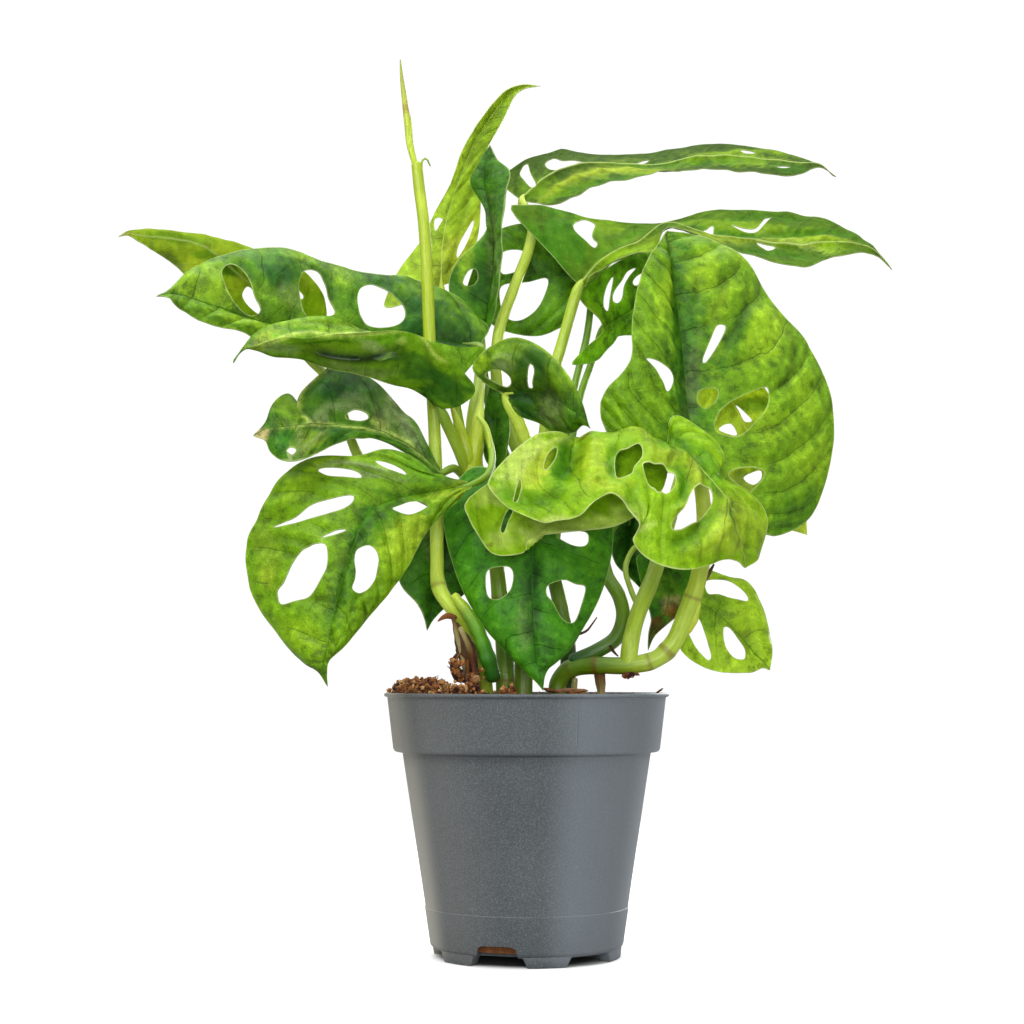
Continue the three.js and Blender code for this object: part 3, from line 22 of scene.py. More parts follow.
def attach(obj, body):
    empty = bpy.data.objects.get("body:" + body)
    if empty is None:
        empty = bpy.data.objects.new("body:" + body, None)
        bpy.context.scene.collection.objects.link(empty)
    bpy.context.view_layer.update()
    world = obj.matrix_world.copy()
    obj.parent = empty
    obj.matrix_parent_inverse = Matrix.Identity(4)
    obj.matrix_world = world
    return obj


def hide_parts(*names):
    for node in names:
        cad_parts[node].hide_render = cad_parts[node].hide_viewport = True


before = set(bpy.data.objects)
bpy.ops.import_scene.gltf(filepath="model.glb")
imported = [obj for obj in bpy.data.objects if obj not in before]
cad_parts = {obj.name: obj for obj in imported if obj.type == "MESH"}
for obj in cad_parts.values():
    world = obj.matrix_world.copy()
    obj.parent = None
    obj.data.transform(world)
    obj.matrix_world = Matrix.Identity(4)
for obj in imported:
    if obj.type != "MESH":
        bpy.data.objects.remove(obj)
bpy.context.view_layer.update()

log = logging.getLogger("potted_vine")

Array = np.ndarray
Point = tuple[float, float, float]
Spot = tuple[float, float]
Piece = bpy.types.Object
Material = bpy.types.Material
Tree = bpy.types.NodeTree
Node = bpy.types.Node
Socket = bpy.types.NodeSocket

MM = 0.001
LEFT = -1
RIGHT = 1


class Foliage(Enum):
    """Finishes of the leaves, from the oldest and darkest to the youngest."""

    DEEP = "deep"
    MID = "mid"
    LIGHT = "light"
    YOUNG = "young"
    YELLOW = "yellow"


class Tint(Enum):
    """Screen colours of the patches that lie on leaves, stalks and roots, some of which paint shade and
    sheen on the leaves.
    """

    NIGHT = 0x1E3A0C
    DARK = 0x2F5A10
    FOREST = 0x417A12
    GRASS = 0x5E9A1C
    LEAF = 0x739B28
    LIME = 0x96BE31
    LEMON = 0xBCD044
    GOLD = 0xC9C02C
    PALE = 0xC6DC6C
    SAGE = 0x8DA068
    GREY = 0x778A52
    OLIVE = 0x7F9A36
    SPEAR = 0xA6BC2C
    PETIOLE = 0xC4DC50
    CANE = 0xACC642
    MOSS = 0x688A1E
    STRAW = 0xB9AE72
    RUST = 0x9A5A26
    BROWN = 0x6E4A28
    BARK = 0x4C3822


class Side(Enum):
    """Face of a leaf."""

    UPPER = "upper"
    UNDER = "under"


@dataclass
class Hole:
    """Hole through a leaf, outlined in the front view.

    Attributes:
        half: Side of the rib that it lies on, LEFT or RIGHT.
        outline: Points of its edge, across and up.
    """

    half: int
    outline: list[Spot]


@dataclass
class Leaf:
    """One leaf blade, traced in rows from its base to its tip.

    Attributes:
        name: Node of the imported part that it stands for.
        foliage: Finish of the leaf.
        bulge: How far each half swells between rib and margin, in millimetres.
        rows: Rows across the blade: margin, half way, rib, half way, margin. A row of three
            leaves out the half way points, and a row of one is the tip.
        holes: Holes through the blade.
    """

    name: str
    foliage: Foliage
    bulge: float
    rows: list[list[Point]]
    holes: list[Hole]


@dataclass
class Stalk:
    """One round stem, leaf stalk or root.

    Attributes:
        width: Widths spread evenly along it, in millimetres.
        route: Traced points that its middle follows.
        leaf: Leaf that it carries, where it carries one.
        tones: Colours spread evenly along it.
        rings: Shares of its length at which a brown ring lies.
    """

    width: list[float]
    route: list[Point]
    leaf: str = ""
    tones: tuple[Tint, ...] = (Tint.OLIVE,)
    rings: tuple[float, ...] = ()


@dataclass
class Stems:
    """Vine or root: a stem with the stalks that grow from it.

    Attributes:
        name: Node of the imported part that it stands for.
        stalks: The stem and its stalks.
    """

    name: str
    stalks: list[Stalk]


@dataclass
class Crease:
    """Fold line pressed into a leaf, drawn in the front view.

    Attributes:
        route: Points that it passes through, across and up.
        depth: Depth in millimetres, below 0 for a raised fold.
        width: Half width in millimetres.
        shade: How much it colours the leaf, from 0 to 1: mostly painted shade in a fold or a painted
            highlight on a raised one; some pale ones are pale margins and ribs.
        tint: Its colour, or None where it only darkens the leaf with painted shade.
    """

    route: list[Spot]
    depth: float = 0.8
    width: float = 1.6
    shade: float = 0.5
    tint: Tint | None = None


@dataclass
class Mark:
    """Soft patch of colour on a leaf, placed in the front view.

    Attributes:
        tint: Its colour. Some patches are the leaf's own yellowing, browning and mottling; many are painted
            light and shade: dark ones where shade falls on the blade, pale ones that lift places in shadow,
            and grey and sage ones that paint sheen.
        across: Middle of the patch.
        up: Middle of the patch.
        wide: Half width.
        high: Half height.
        share: How much of the leaf's own colour it covers, from 0 to 1.
        turn: Turn in degrees, anticlockwise.
    """

    tint: Tint
    across: float
    up: float
    wide: float
    high: float
    share: float = 0.7
    turn: float = 0.0


@dataclass
class Look:
    """Colour and fine folds of one leaf.

    Attributes:
        tone: Screen colour of most of it.
        marks: Patches on it, some of its own colour and many of painted light and shade.
        creases: Folds in it, whose colours paint the shade in them and the highlights on raised ones.
        shows_under: Whether its under side faces the viewer.
        quilt: How far the flesh between side veins swells, in millimetres.
        pale_edge: Whether its margins are pale.
    """

    tone: int
    marks: list[Mark] = field(default_factory=list)
    creases: list[Crease] = field(default_factory=list)
    shows_under: bool = False
    quilt: float = 0.9
    pale_edge: bool = True


# Traced leaves, stems and roots

LEAVES: list[Leaf] = [
    Leaf("leaf_low_left", Foliage.LIGHT, 2.5, [
        [(-48, 212, -52), (-36, 201, -52), (-23.5, 200, -53), (-25.5, 197.5, -53), (-28, 193.5, -53)],
        [(-60, 215, -54), (-52, 206, -53), (-42, 196.5, -54), (-38, 192, -54), (-36, 187, -53)],
        [(-72, 212.2, -54), (-66, 203, -54), (-57, 193.3, -56), (-50, 186, -55), (-44, 177, -53)],
        [(-90, 211.5, -50), (-80, 201, -54), (-67, 187.5, -59), (-58, 178, -57), (-50, 165.5, -54)],
        [(-104, 203, -46), (-90, 192, -54), (-73, 175, -62), (-65, 167, -60), (-57, 155.5, -56)],
        [(-113, 187.5, -43), (-97, 176, -54), (-78, 160, -65), (-71, 153, -62), (-64, 147, -58)],
        [(-119, 171, -42), (-100, 158, -55), (-82, 145, -66), (-76, 142, -65), (-71, 138.5, -62.5)],
        [(-115, 151, -46), (-99, 142, -57), (-84, 132.5, -66), (-81, 131.4, -65.6), (-77.5, 130.8, -65)],
        [(-99, 128.5, -58), (-92, 126.5, -62), (-85.8, 125.2, -65), (-84.6, 125.2, -65),
            (-83.4, 125.4, -65)],
        [(-89.5, 121.5, -61), (-87.6, 120.8, -63), (-85.7, 120, -63.5), (-85.1, 120, -63.5),
            (-84.5, 120, -63.5)],
        [(-84.2, 114.2, -62)],
    ], [
        Hole(LEFT, [(-104, 154), (-101, 158), (-98, 165), (-94, 171), (-88.5, 174), (-84, 173.5),
            (-83.7, 166), (-86, 160), (-90, 153), (-96, 150.5), (-102, 149)]),
        Hole(RIGHT, [(-73, 168), (-71.5, 172.3), (-67, 173.8), (-64, 169.5), (-64, 165), (-66, 158),
            (-71, 154.2), (-74.7, 155.5), (-73, 161)]),
        Hole(LEFT, [(-106, 181.5), (-98, 182.6), (-90, 185), (-80, 188), (-74, 191), (-73.5, 194.3),
            (-82, 193), (-90, 190.3), (-97, 185)]),
        Hole(LEFT, [(-86, 176.7), (-80, 178.3), (-76, 180.3), (-80, 179.8)]),
        Hole(LEFT, [(-87.5, 205.7), (-84, 203), (-78, 202.2), (-70, 201.8), (-71.5, 204.7), (-79, 206.3)]),
        Hole(RIGHT, [(-57, 189.3), (-50, 187.2), (-42.5, 190.3), (-44, 192.3), (-49, 192.5), (-53.5, 191)]),
        Hole(LEFT, [(-64, 209.8), (-60, 206.8), (-55, 204.6), (-51, 203.3), (-53, 205.8), (-58, 208.6)]),
    ]),
    Leaf("leaf_front_low", Foliage.DEEP, 2.5, [
        [(-24, 208.5, -30), (-12, 204, -33), (-2, 196, -38), (10, 203, -34), (20, 206, -30)],
        [(-34.5, 192, -36), (-18, 190, -39), (0, 186, -43), (18, 190, -39), (33, 195, -33)],
        [(-34, 177, -38), (-17, 175, -42), (2, 171, -46), (20, 173, -42), (36.5, 180, -35)],
        [(-28, 157, -40), (-14, 156, -44), (2.5, 154, -49), (18, 156, -45), (35, 165, -37)],
        [(-19, 141.5, -42), (-9, 141, -47), (3, 139, -51), (15, 141, -47), (29, 148, -41)],
        [(-6, 126, -47), (-2, 126, -50), (4, 126, -52), (11, 127, -50), (19, 131, -46)],
        [(3.5, 116.5, -51), (6, 118, -52), (9, 121, -51)],
        [(7, 112.4, -52)],
    ], [
        Hole(LEFT, [(-16.4, 159.5), (-15.5, 163.2), (-11.5, 164.6), (-6.5, 164.4), (-5, 160.5),
            (-6.5, 154.5), (-11.5, 150.8), (-15.5, 152.5)]),
        Hole(RIGHT, [(8, 153), (9, 157), (15, 159), (20, 157.2), (24, 156), (22, 148.5), (19.5, 141.5),
            (14.5, 142.5), (10.5, 149.5)]),
        Hole(RIGHT, [(12, 178), (18, 179.5), (24.5, 179), (25.2, 175), (22.5, 173), (17, 174.3)]),
    ]),
    Leaf("leaf_front_curled", Foliage.YOUNG, 0, [
        [(-28, 193, -61), (-7, 206, -54), (18, 219, -51), (4, 221, -62), (-19, 201.5, -73)],
        [(-22, 180, -60), (3, 197, -52), (29, 221, -51), (8, 203, -72), (-8, 190.5, -78)],
        [(-14, 170.5, -60), (20, 198, -51), (40, 222, -52), (22, 203, -73), (6, 184, -81)],
        [(-1.5, 171, -59), (27, 199, -50), (45, 222, -52), (29, 205, -73), (14, 184.7, -82)],
        [(3.5, 178, -58), (36, 203, -49), (50, 221, -53), (36, 207, -72), (22, 186.5, -82)],
        [(38, 182.5, -55), (46, 203, -49), (58, 218, -54), (48, 205, -72), (36, 196.3, -81)],
        [(57.5, 198, -47), (60, 208, -48), (63, 215.5, -55), (54, 199, -74), (47.5, 184, -81)],
        [(61, 228, -46), (63.5, 220, -50), (67, 213, -56), (58, 196, -75), (45, 176, -81)],
        [(76, 222, -44), (75, 217, -49), (73, 208, -58), (64, 190, -76), (50, 169.5, -80)],
        [(83.5, 211.5, -45), (80, 208, -52), (77, 203.5, -59), (70, 184, -76), (58, 165.3, -79)],
        [(81, 203.5, -51), (81, 202, -56), (81, 199, -60), (75, 180, -75), (67, 163.8, -77)],
        [(93, 197.5, -47), (90, 195, -53), (86, 191, -61), (81, 178, -73), (76, 165.3, -74)],
        [(102, 185, -45), (96, 183, -53), (89.5, 181, -61), (86, 174, -69), (84, 168, -70)],
        [(98.5, 169.5, -51), (92, 171, -61), (89, 167.5, -66)],
        [(93, 164.5, -60)],
    ], [
        Hole(RIGHT, [(-2.6, 202), (-2.3, 198.5), (-4.5, 193.6), (-5.6, 194), (-4, 199)]),
        Hole(RIGHT, [(12.7, 215.6), (12, 211), (8.5, 206.2), (7.2, 207), (9, 212.5)]),
        Hole(RIGHT, [(47.5, 217), (49, 212), (45.5, 207.5), (44, 204), (39, 202.8), (37.6, 208),
            (38, 213.8), (42, 214.6)]),
        Hole(RIGHT, [(49.3, 208), (54, 208.2), (58.5, 208.2), (62.5, 204), (62.5, 199), (59, 196),
            (55, 197), (51.5, 200.5)]),
        Hole(RIGHT, [(71, 198.5), (77, 198.3), (79, 193), (76, 188), (70, 183.5), (65, 181), (61.6, 181.2),
            (62.8, 185.5), (67, 190.5)]),
        Hole(LEFT, [(-7, 190), (-5.8, 189), (-8, 184), (-9.8, 179.5), (-11, 181), (-9.5, 186.5)]),
    ]),
    Leaf("leaf_right_large", Foliage.MID, 4, [
        [(36, 217, -36), (52, 212, -31), (72, 212, -28), (88, 190, -27), (102, 176, -19)],
        [(31.5, 229, -37), (51, 223, -32), (70.5, 221, -27), (97, 202, -22), (120, 186, -9)],
        [(33, 239, -38), (52, 236, -32), (68.5, 232, -25), (99, 219, -19), (129, 211, -3)],
        [(43.5, 252, -38), (56, 250, -32), (67, 247, -24), (97, 240, -17), (129, 236, 0)],
        [(44.5, 267, -36), (56, 265, -30), (65.5, 263, -22), (92, 259, -15), (119, 259, -1)],
        [(47, 283, -33), (56, 280, -27), (63.5, 278, -20), (83, 275, -15), (104, 277, -3)],
        [(51, 295, -28), (57, 293, -23), (61.5, 292, -18), (76, 290, -14), (93, 295, -6)],
        [(55.5, 302, -21), (60, 301.5, -15), (77, 304, -9)],
        [(59.5, 307.5, -13)],
    ], [
        Hole(RIGHT, [(82.6, 266), (79.5, 266), (77, 260), (74, 252.5), (75, 250.8), (78, 255),
            (82.3, 263)]),
        Hole(LEFT, [(49.5, 252.8), (54, 251.5), (59, 247), (60, 243), (57.5, 239.3), (55.3, 244),
            (52.5, 249)]),
        Hole(RIGHT, [(72.5, 238.5), (75, 240.2), (80, 239.3), (79, 234.5), (75, 232), (72, 234.5)]),
        Hole(RIGHT, [(98.5, 240), (100.7, 238.5), (99.5, 232), (95, 225.5), (88.5, 220), (79.5, 221),
            (80, 228), (84, 233), (91, 237)]),
        Hole(RIGHT, [(84, 203.2), (88, 205.7), (94, 206.3), (98.8, 204.5), (96, 199.6), (92, 196),
            (87.5, 199.5)]),
    ]),
    Leaf("leaf_right_upper", Foliage.MID, 0, [
        [(-10, 319, 12), (5, 304, 6), (22.5, 284.5, 2), (26.5, 288, 0), (30.5, 290.5, -2)],
        [(10, 317.5, 20), (21, 306.5, 10), (34, 295.8, 3), (37.5, 295.6, -2), (41, 296.3, -6)],
        [(32, 312, 26), (40, 307.2, 16), (48.5, 302.8, 6), (51.5, 301, -1), (54, 299.7, -8)],
        [(56, 310.9, 32), (58, 310.6, 20), (60, 310.1, 9), (60, 309.7, 0), (60.5, 309.1, -9)],
        [(79, 316.3, 36), (79, 312, 24), (78, 305, 12), (78, 304.3, 2), (78, 303.4, -7)],
        [(99, 316, 40), (98, 310.5, 28), (97, 302.7, 16), (96, 300.3, 7), (95, 297.6, -1)],
        [(119, 314.3, 42), (117, 309.3, 32), (115, 301, 21), (115, 296.5, 12), (115, 292.4, 5)],
        [(136, 308.3, 42), (134, 306, 34), (132, 302.3, 27), (132, 299.5, 21), (132, 296.9, 15)],
        [(147, 300.8, 40), (146, 299.6, 34), (145.5, 298.2, 30)],
        [(155, 291, 36)],
    ], [
        Hole(LEFT, [(20, 310), (22.5, 311.7), (26, 312.6), (29, 310), (28, 305), (30, 302.5), (28.7, 300.3),
            (25, 303.5), (20.5, 307.5)]),
        Hole(LEFT, [(75, 307), (77, 308.8), (79.3, 309.6), (79, 306), (77.6, 305.4)]),
        Hole(LEFT, [(87, 310), (93, 308.4), (98, 309.2), (101.5, 313), (104, 313.5), (99, 308.3), (95, 307),
            (91, 307.7)]),
        Hole(RIGHT, [(97.5, 302), (101, 301.6), (105.5, 300.3), (102, 299.6)]),
    ]),
    Leaf("leaf_top_right", Foliage.MID, 0, [
        [(-14, 329, 52), (-8, 325, 46), (-2, 320.5, 38), (5, 319.3, 30), (12, 318, 23)],
        [(1, 338, 62), (4, 333.5, 54), (9, 330, 44), (15, 325.5, 35), (21, 322.5, 27)],
        [(14, 341.7, 70), (17, 338.5, 60), (22, 335, 50), (27, 330.5, 39), (32, 328.2, 30)],
        [(30, 340, 76), (34, 338, 66), (38, 335.8, 55), (42, 332.7, 44), (46, 331, 34)],
        [(50, 340.2, 80), (52, 338, 70), (55, 335.6, 59), (58, 334, 48), (61, 332.9, 38)],
        [(67, 343.2, 83), (68, 341, 73), (70, 338, 62), (71.5, 335.3, 51), (73, 333.6, 42)],
        [(86, 344.3, 82.5), (86, 342, 74), (87, 339, 65), (88, 336, 55), (89, 333.2, 47)],
        [(102, 342, 82), (102, 340, 75), (103, 337.3, 67), (103.5, 334.5, 58), (104, 331.4, 52)],
        [(116, 338.4, 78), (116, 337.4, 73), (116, 336, 68), (116, 333.6, 63), (116, 331.4, 59)],
        [(123.5, 335.9, 73), (124, 335.5, 70), (123.5, 334.9, 67)],
        [(131, 330, 70)],
    ], [
        Hole(LEFT, [(0.5, 335.5), (3.8, 327.7), (2.3, 325.7), (-0.8, 328.8), (-2.7, 332)]),
        Hole(LEFT, [(8, 336), (12, 338.3), (16, 337.3), (24, 336.9), (21, 335.8), (15, 333.6),
            (10.5, 333.2)]),
        Hole(LEFT, [(45.5, 336), (50, 337.6), (52, 337.4), (50, 336.4)]),
        Hole(LEFT, [(90.5, 341), (93, 340.2), (97, 340.5), (95, 341.1)]),
        Hole(RIGHT, [(105.5, 334.8), (109, 335), (112, 334.7), (109, 334.2)]),
    ]),
    Leaf("leaf_upper_left", Foliage.DEEP, 3, [
        [(-20, 270, 4), (-17, 263, -2), (-20, 258.5, -8), (-24, 253, -11), (-32, 249, -14)],
        [(-31, 280.5, 4), (-35, 271, -4), (-40, 261.5, -12), (-44, 255, -14), (-48, 250, -17)],
        [(-50, 287.5, -1), (-55, 275, -10), (-60, 262.5, -20), (-64, 256, -23), (-68, 252, -26)],
        [(-68, 289.5, -10), (-74, 277, -20), (-80, 263.5, -31), (-84, 258, -35), (-88, 254, -38)],
        [(-86, 294.5, -21), (-92, 281, -31), (-99, 266, -41), (-102, 260, -45), (-105, 256, -49)],
        [(-104, 300.3, -31), (-109, 286, -41), (-116, 270, -51), (-118, 266.5, -55), (-120, 264, -59)],
        [(-124, 298.5, -41), (-127, 287, -49), (-132, 275.5, -59), (-134, 271.5, -62), (-136, 268.3, -65)],
        [(-141, 292, -52), (-143, 286, -57), (-146, 280, -63), (-146.5, 277, -66), (-147, 274.2, -67)],
        [(-151, 283, -63), (-152.5, 280.8, -66), (-151.8, 279, -67)],
        [(-157, 279.5, -69)],
    ], [
        Hole(LEFT, [(-130, 287), (-127.5, 291.3), (-123, 290.3), (-119, 285.5), (-116.5, 279),
            (-113.5, 273), (-117, 271), (-122, 274), (-127, 279.5)]),
        Hole(LEFT, [(-98, 281), (-97, 287.5), (-94, 289.6), (-89.5, 289), (-87, 284), (-85.5, 278),
            (-82.5, 271), (-88, 270.3), (-94.5, 270.8)]),
        Hole(LEFT, [(-73, 276), (-72, 281), (-68, 283.2), (-63, 282.2), (-57, 278), (-52.6, 272),
            (-53.5, 267.5), (-60, 265.6), (-67, 266), (-71, 269.5)]),
    ]),
    Leaf("leaf_far_left", Foliage.YELLOW, 1.5, [
        [(-84, 270, -10), (-90, 266, -11), (-97, 260, -14), (-104, 259, -17), (-112, 262, -20)],
        [(-87, 282, -13), (-95, 276, -16), (-104, 270, -19), (-114, 267, -24), (-126, 269, -30)],
        [(-98, 293, -17), (-105, 287, -21), (-113, 280, -25), (-124, 277, -31), (-136, 279, -37)],
        [(-116, 300, -24), (-120, 296, -28), (-125, 291, -32), (-134, 287, -37), (-143, 287, -41)],
        [(-132, 305, -31), (-134, 302, -35), (-137, 300.5, -39), (-143, 296, -42), (-150, 293.5, -45)],
        [(-146, 307.3, -39), (-149, 305.5, -42), (-151, 303.7, -45), (-154, 300.5, -48),
            (-157, 298.3, -50)],
        [(-160, 308.1, -47), (-162, 306.5, -50), (-163, 304.9, -52), (-163.7, 303.9, -53),
            (-164, 302.9, -54)],
        [(-169, 307.3, -54), (-169.5, 305.9, -55), (-169, 305.3, -56)],
        [(-173, 305, -58)],
    ], [
        Hole(RIGHT, [(-118, 284), (-112, 279), (-108, 273), (-112, 271), (-118, 275), (-121, 280)]),
        Hole(LEFT, [(-104, 287), (-97, 282), (-95, 279), (-99, 278), (-104, 282)]),
    ]),
    Leaf("leaf_left_twisted", Foliage.MID, 0, [
        [(-16, 258.5, -30), (-27, 246, -36), (-37, 233, -42), (-28, 233.5, -45), (-20, 239.8, -48)],
        [(-29, 258.3, -36), (-37, 250, -40), (-46, 240.5, -46), (-38, 244, -50), (-30, 251, -53)],
        [(-42, 260.5, -40), (-49, 254, -45), (-57, 243.4, -51), (-50, 252, -56), (-42.5, 261.5, -58)],
        [(-56, 262.5, -44), (-61, 257, -50), (-66, 246, -56), (-61, 255, -62), (-55, 265, -64)],
        [(-70, 266, -47), (-75, 259, -54), (-80, 248.8, -61), (-76, 256, -67), (-72, 264, -70)],
        [(-85, 271, -51), (-90, 263.5, -58), (-95, 253.6, -66), (-92, 258, -72), (-88, 262.8, -76)],
        [(-101, 269.5, -57), (-104, 263, -64), (-107, 255, -71), (-105, 258, -75), (-103, 262, -79)],
        [(-113, 265.5, -66), (-115, 262, -70), (-115.5, 257.5, -75), (-114.8, 257.8, -77),
            (-114, 258.3, -79)],
        [(-119.5, 259, -74), (-120, 257.5, -76), (-120.3, 256.8, -77)],
        [(-124.7, 251.8, -78)],
    ], [
        Hole(RIGHT, [(-90, 257.2), (-82, 255.6), (-73, 255), (-71, 253.6), (-78, 253.6), (-86, 255.2)]),
        Hole(RIGHT, [(-66, 254.8), (-60, 256.2), (-55, 256.3), (-56, 254.2), (-62, 252.8)]),
    ]),
    Leaf("leaf_centre_dark", Foliage.DEEP, 1, [
        [(-24, 250, -52), (-19, 245, -51), (-9, 238.5, -46), (-7, 235, -45), (-4, 229, -44)],
        [(-16, 258, -57), (-9, 250, -57), (0, 239.5, -50), (2, 233, -47), (5, 226, -44)],
        [(-5, 262.2, -60), (1, 252, -61), (8, 238.5, -54), (10, 231, -50), (12, 222, -46)],
        [(7, 257.5, -60), (11, 248, -62), (14.5, 235, -57), (16, 229, -53), (17, 221.5, -49)],
        [(16, 248.5, -60), (18, 240, -61), (19.5, 231.5, -59), (20, 227, -56), (21, 222.5, -52)],
        [(22.5, 238, -60), (23.5, 229, -59), (24, 225, -57)],
        [(27, 223.5, -58)],
    ], [
        Hole(LEFT, [(-17, 246.5), (-15, 248.7), (-10.5, 249), (-7, 246.5), (-6.4, 243.5), (-8.5, 241.8),
            (-12, 243.3)]),
        Hole(LEFT, [(2, 251.3), (3.4, 248.5), (2.8, 244), (2.8, 241.3), (1.2, 241.3), (0.8, 246)]),
    ]),
    Leaf("leaf_left_crumpled", Foliage.DEEP, 1.5, [
        [(-43, 213.5, -36), (-40, 209, -37), (-36.3, 204.5, -39), (-37.5, 204, -40), (-39, 204, -41)],
        [(-45.5, 224, -37), (-46, 219, -39), (-46, 213.5, -42), (-48, 212.5, -43), (-50, 212.5, -44)],
        [(-53, 232, -34), (-56, 226, -39), (-58, 220.5, -45), (-60, 218.9, -47), (-62, 218.5, -48)],
        [(-65, 244, -33), (-67, 235, -41), (-69, 224, -50), (-70, 221.5, -52), (-70, 219.8, -54)],
        [(-79, 251.5, -36), (-80, 238.5, -45), (-81, 224.7, -54), (-81, 221, -58), (-80, 217.5, -61)],
        [(-90, 244.5, -46), (-89, 236, -52), (-88, 225, -58), (-88, 219, -63), (-88, 213.5, -66)],
        [(-97, 236, -54), (-94, 231, -57), (-91.5, 225.3, -60), (-92, 217, -65), (-94, 210.5, -68)],
        [(-94, 228.3, -56), (-94.3, 227, -58), (-95, 225.1, -61), (-96.5, 217, -65), (-99, 209.7, -68)],
        [(-100, 238, -49), (-99, 231, -55), (-98, 224.7, -61), (-101, 217, -65), (-104, 210.2, -67)],
        [(-107, 235, -53), (-106, 229, -57), (-104, 224.3, -61), (-106, 218, -64), (-108.5, 213.5, -65)],
        [(-110.5, 227, -58), (-110, 223.6, -61), (-111, 218.5, -63)],
        [(-116, 220.8, -62)],
    ], [
        Hole(LEFT, [(-77, 227.7), (-75.3, 229.8), (-71.5, 230.4), (-68, 229), (-67.6, 227.2),
            (-71, 226.4)]),
        Hole(RIGHT, [(-101.5, 213.6), (-100, 214.9), (-97.6, 214.5), (-97.8, 213), (-100, 212.4)]),
    ]),
    Leaf("leaf_top_narrow", Foliage.YOUNG, 0, [
        [(-62, 273, 12), (-48, 278, 13), (-36, 284, 16), (-31, 286, 20), (-26, 290, 24)],
        [(-55, 289, 19), (-46, 292, 19), (-36, 297, 20), (-29, 299, 24), (-21, 303, 29)],
        [(-45, 303, 24), (-40, 306, 24), (-34.5, 309, 25), (-27, 312, 29), (-19.5, 316, 33)],
        [(-38.5, 316, 27), (-35, 319, 28), (-31.5, 321, 29), (-26.5, 324, 33), (-20, 327, 37)],
        [(-32, 328.5, 30), (-30, 331, 32), (-27, 333, 34), (-23, 336, 36), (-17.5, 340, 38)],
        [(-27, 342, 34), (-24.5, 344, 36), (-22, 345, 38), (-18, 347, 39), (-13, 349, 40)],
        [(-19, 355.5, 38), (-15, 356, 42), (-9.5, 355, 42)],
        [(-9.5, 366.5, 42), (-7.5, 365.5, 45), (-5, 364.5, 44)],
        [(-1, 369.4, 45), (-1, 368.6, 46), (-1, 367.7, 45)],
        [(6, 368.8, 46)],
    ], [
        Hole(RIGHT, [(-29.5, 296), (-29, 300.5), (-26, 306.5), (-22.5, 312), (-23.3, 307), (-26.5, 300)]),
        Hole(LEFT, [(-38.9, 312.3), (-35.6, 312.5), (-36.6, 310.4), (-38.6, 307.5)]),
    ]),
    Leaf("leaf_centre_top", Foliage.DEEP, 1, [
        [(-30, 268, 12), (-24, 264, 12), (-19, 260.5, 12), (-16, 264, 10), (-13.5, 270, 8)],
        [(-33, 284, 10), (-26, 281, 11), (-16, 279, 12), (-13.5, 281, 9), (-11.5, 284, 6)],
        [(-29, 295, 10), (-22, 294, 12), (-14, 294, 14), (-12, 296, 11), (-10.5, 298, 8)],
        [(-18, 306, 14), (-17, 307, 15), (-14.5, 308, 16), (-12, 309, 13), (-10, 310, 10)],
        [(-17.5, 316, 20), (-17.2, 317, 20), (-16.2, 318, 19), (-13, 320, 16), (-9, 322, 13)],
        [(-24, 328, 24), (-21, 328.5, 23), (-18, 329, 22), (-13, 330, 19), (-7, 332.5, 16)],
        [(-20, 336.5, 26), (-17.5, 337, 25), (-12, 337.5, 22)],
        [(-15.5, 344, 26)],
    ], [
        Hole(LEFT, [(-27, 285), (-25, 290), (-22, 291), (-21, 287), (-23.5, 284)]),
    ]),
    Leaf("leaf_back_centre", Foliage.MID, 1.5, [
        [(24, 303, 38), (24, 296, 36), (24, 288, 34), (22, 277, 35), (18, 268, 36)],
        [(12, 309, 38), (12, 299, 36), (12, 289.3, 34), (10, 276, 35), (6, 263, 36)],
        [(-2, 310.5, 37), (-1, 299, 35), (0, 288.3, 33), (-2, 276, 34), (-6, 264, 35)],
        [(-13, 307, 35), (-12, 297, 33), (-11, 286.5, 32), (-12, 277, 32), (-15, 268, 33)],
        [(-20, 298, 33), (-19, 285, 33), (-20, 275, 33)],
        [(-25, 284, 35)],
    ], [
        Hole(LEFT, [(-10.5, 297.5), (-1.8, 298.5), (-2.5, 292.5), (-4, 290.3), (-10.5, 289.3)]),
        Hole(RIGHT, [(8.8, 287), (0.5, 285.6), (-10.5, 283.8), (-11, 275), (-8, 270.3), (-3, 269.5),
            (3, 273), (7, 279)]),
    ]),
    Leaf("leaf_back_right", Foliage.MID, 2, [
        [(19, 283, 30), (24, 275, 33), (32, 267, 37), (26, 260, 36), (17, 250, 34)],
        [(28, 288.5, 34), (31, 279, 38), (37, 269.5, 41), (34, 262, 40), (30, 252.5, 38)],
        [(37, 293.5, 38), (39, 284, 41), (44, 274, 43), (42, 268, 43), (38, 262.3, 42)],
        [(46, 298.5, 42), (49, 290, 44), (53, 281.5, 46), (54, 274, 46), (55, 264, 46)],
        [(54, 299.5, 46), (61, 289, 48), (68, 275, 48)],
        [(74, 298, 50)],
    ], [
        Hole(LEFT, [(36, 288), (33.8, 285.5), (32, 280), (31.8, 274.5), (33.5, 273), (34.3, 277),
            (35, 282)]),
        Hole(LEFT, [(45.5, 291.5), (42, 290), (39.3, 286), (36.2, 281), (36, 277.5), (38.3, 276.7),
            (40, 279), (40.5, 284), (42.7, 288)]),
        Hole(LEFT, [(49.5, 289.8), (46, 288), (44.3, 285.3), (46, 284), (48.5, 286.5)]),
    ]),
    Leaf("leaf_right_back", Foliage.YELLOW, 1.5, [
        [(68, 238, 8), (74, 244, 10), (80, 250, 12), (88, 252, 12), (96, 248, 12)],
        [(70, 222, 8), (78, 229, 10), (87, 235, 12), (96, 238, 12), (104, 236, 12)],
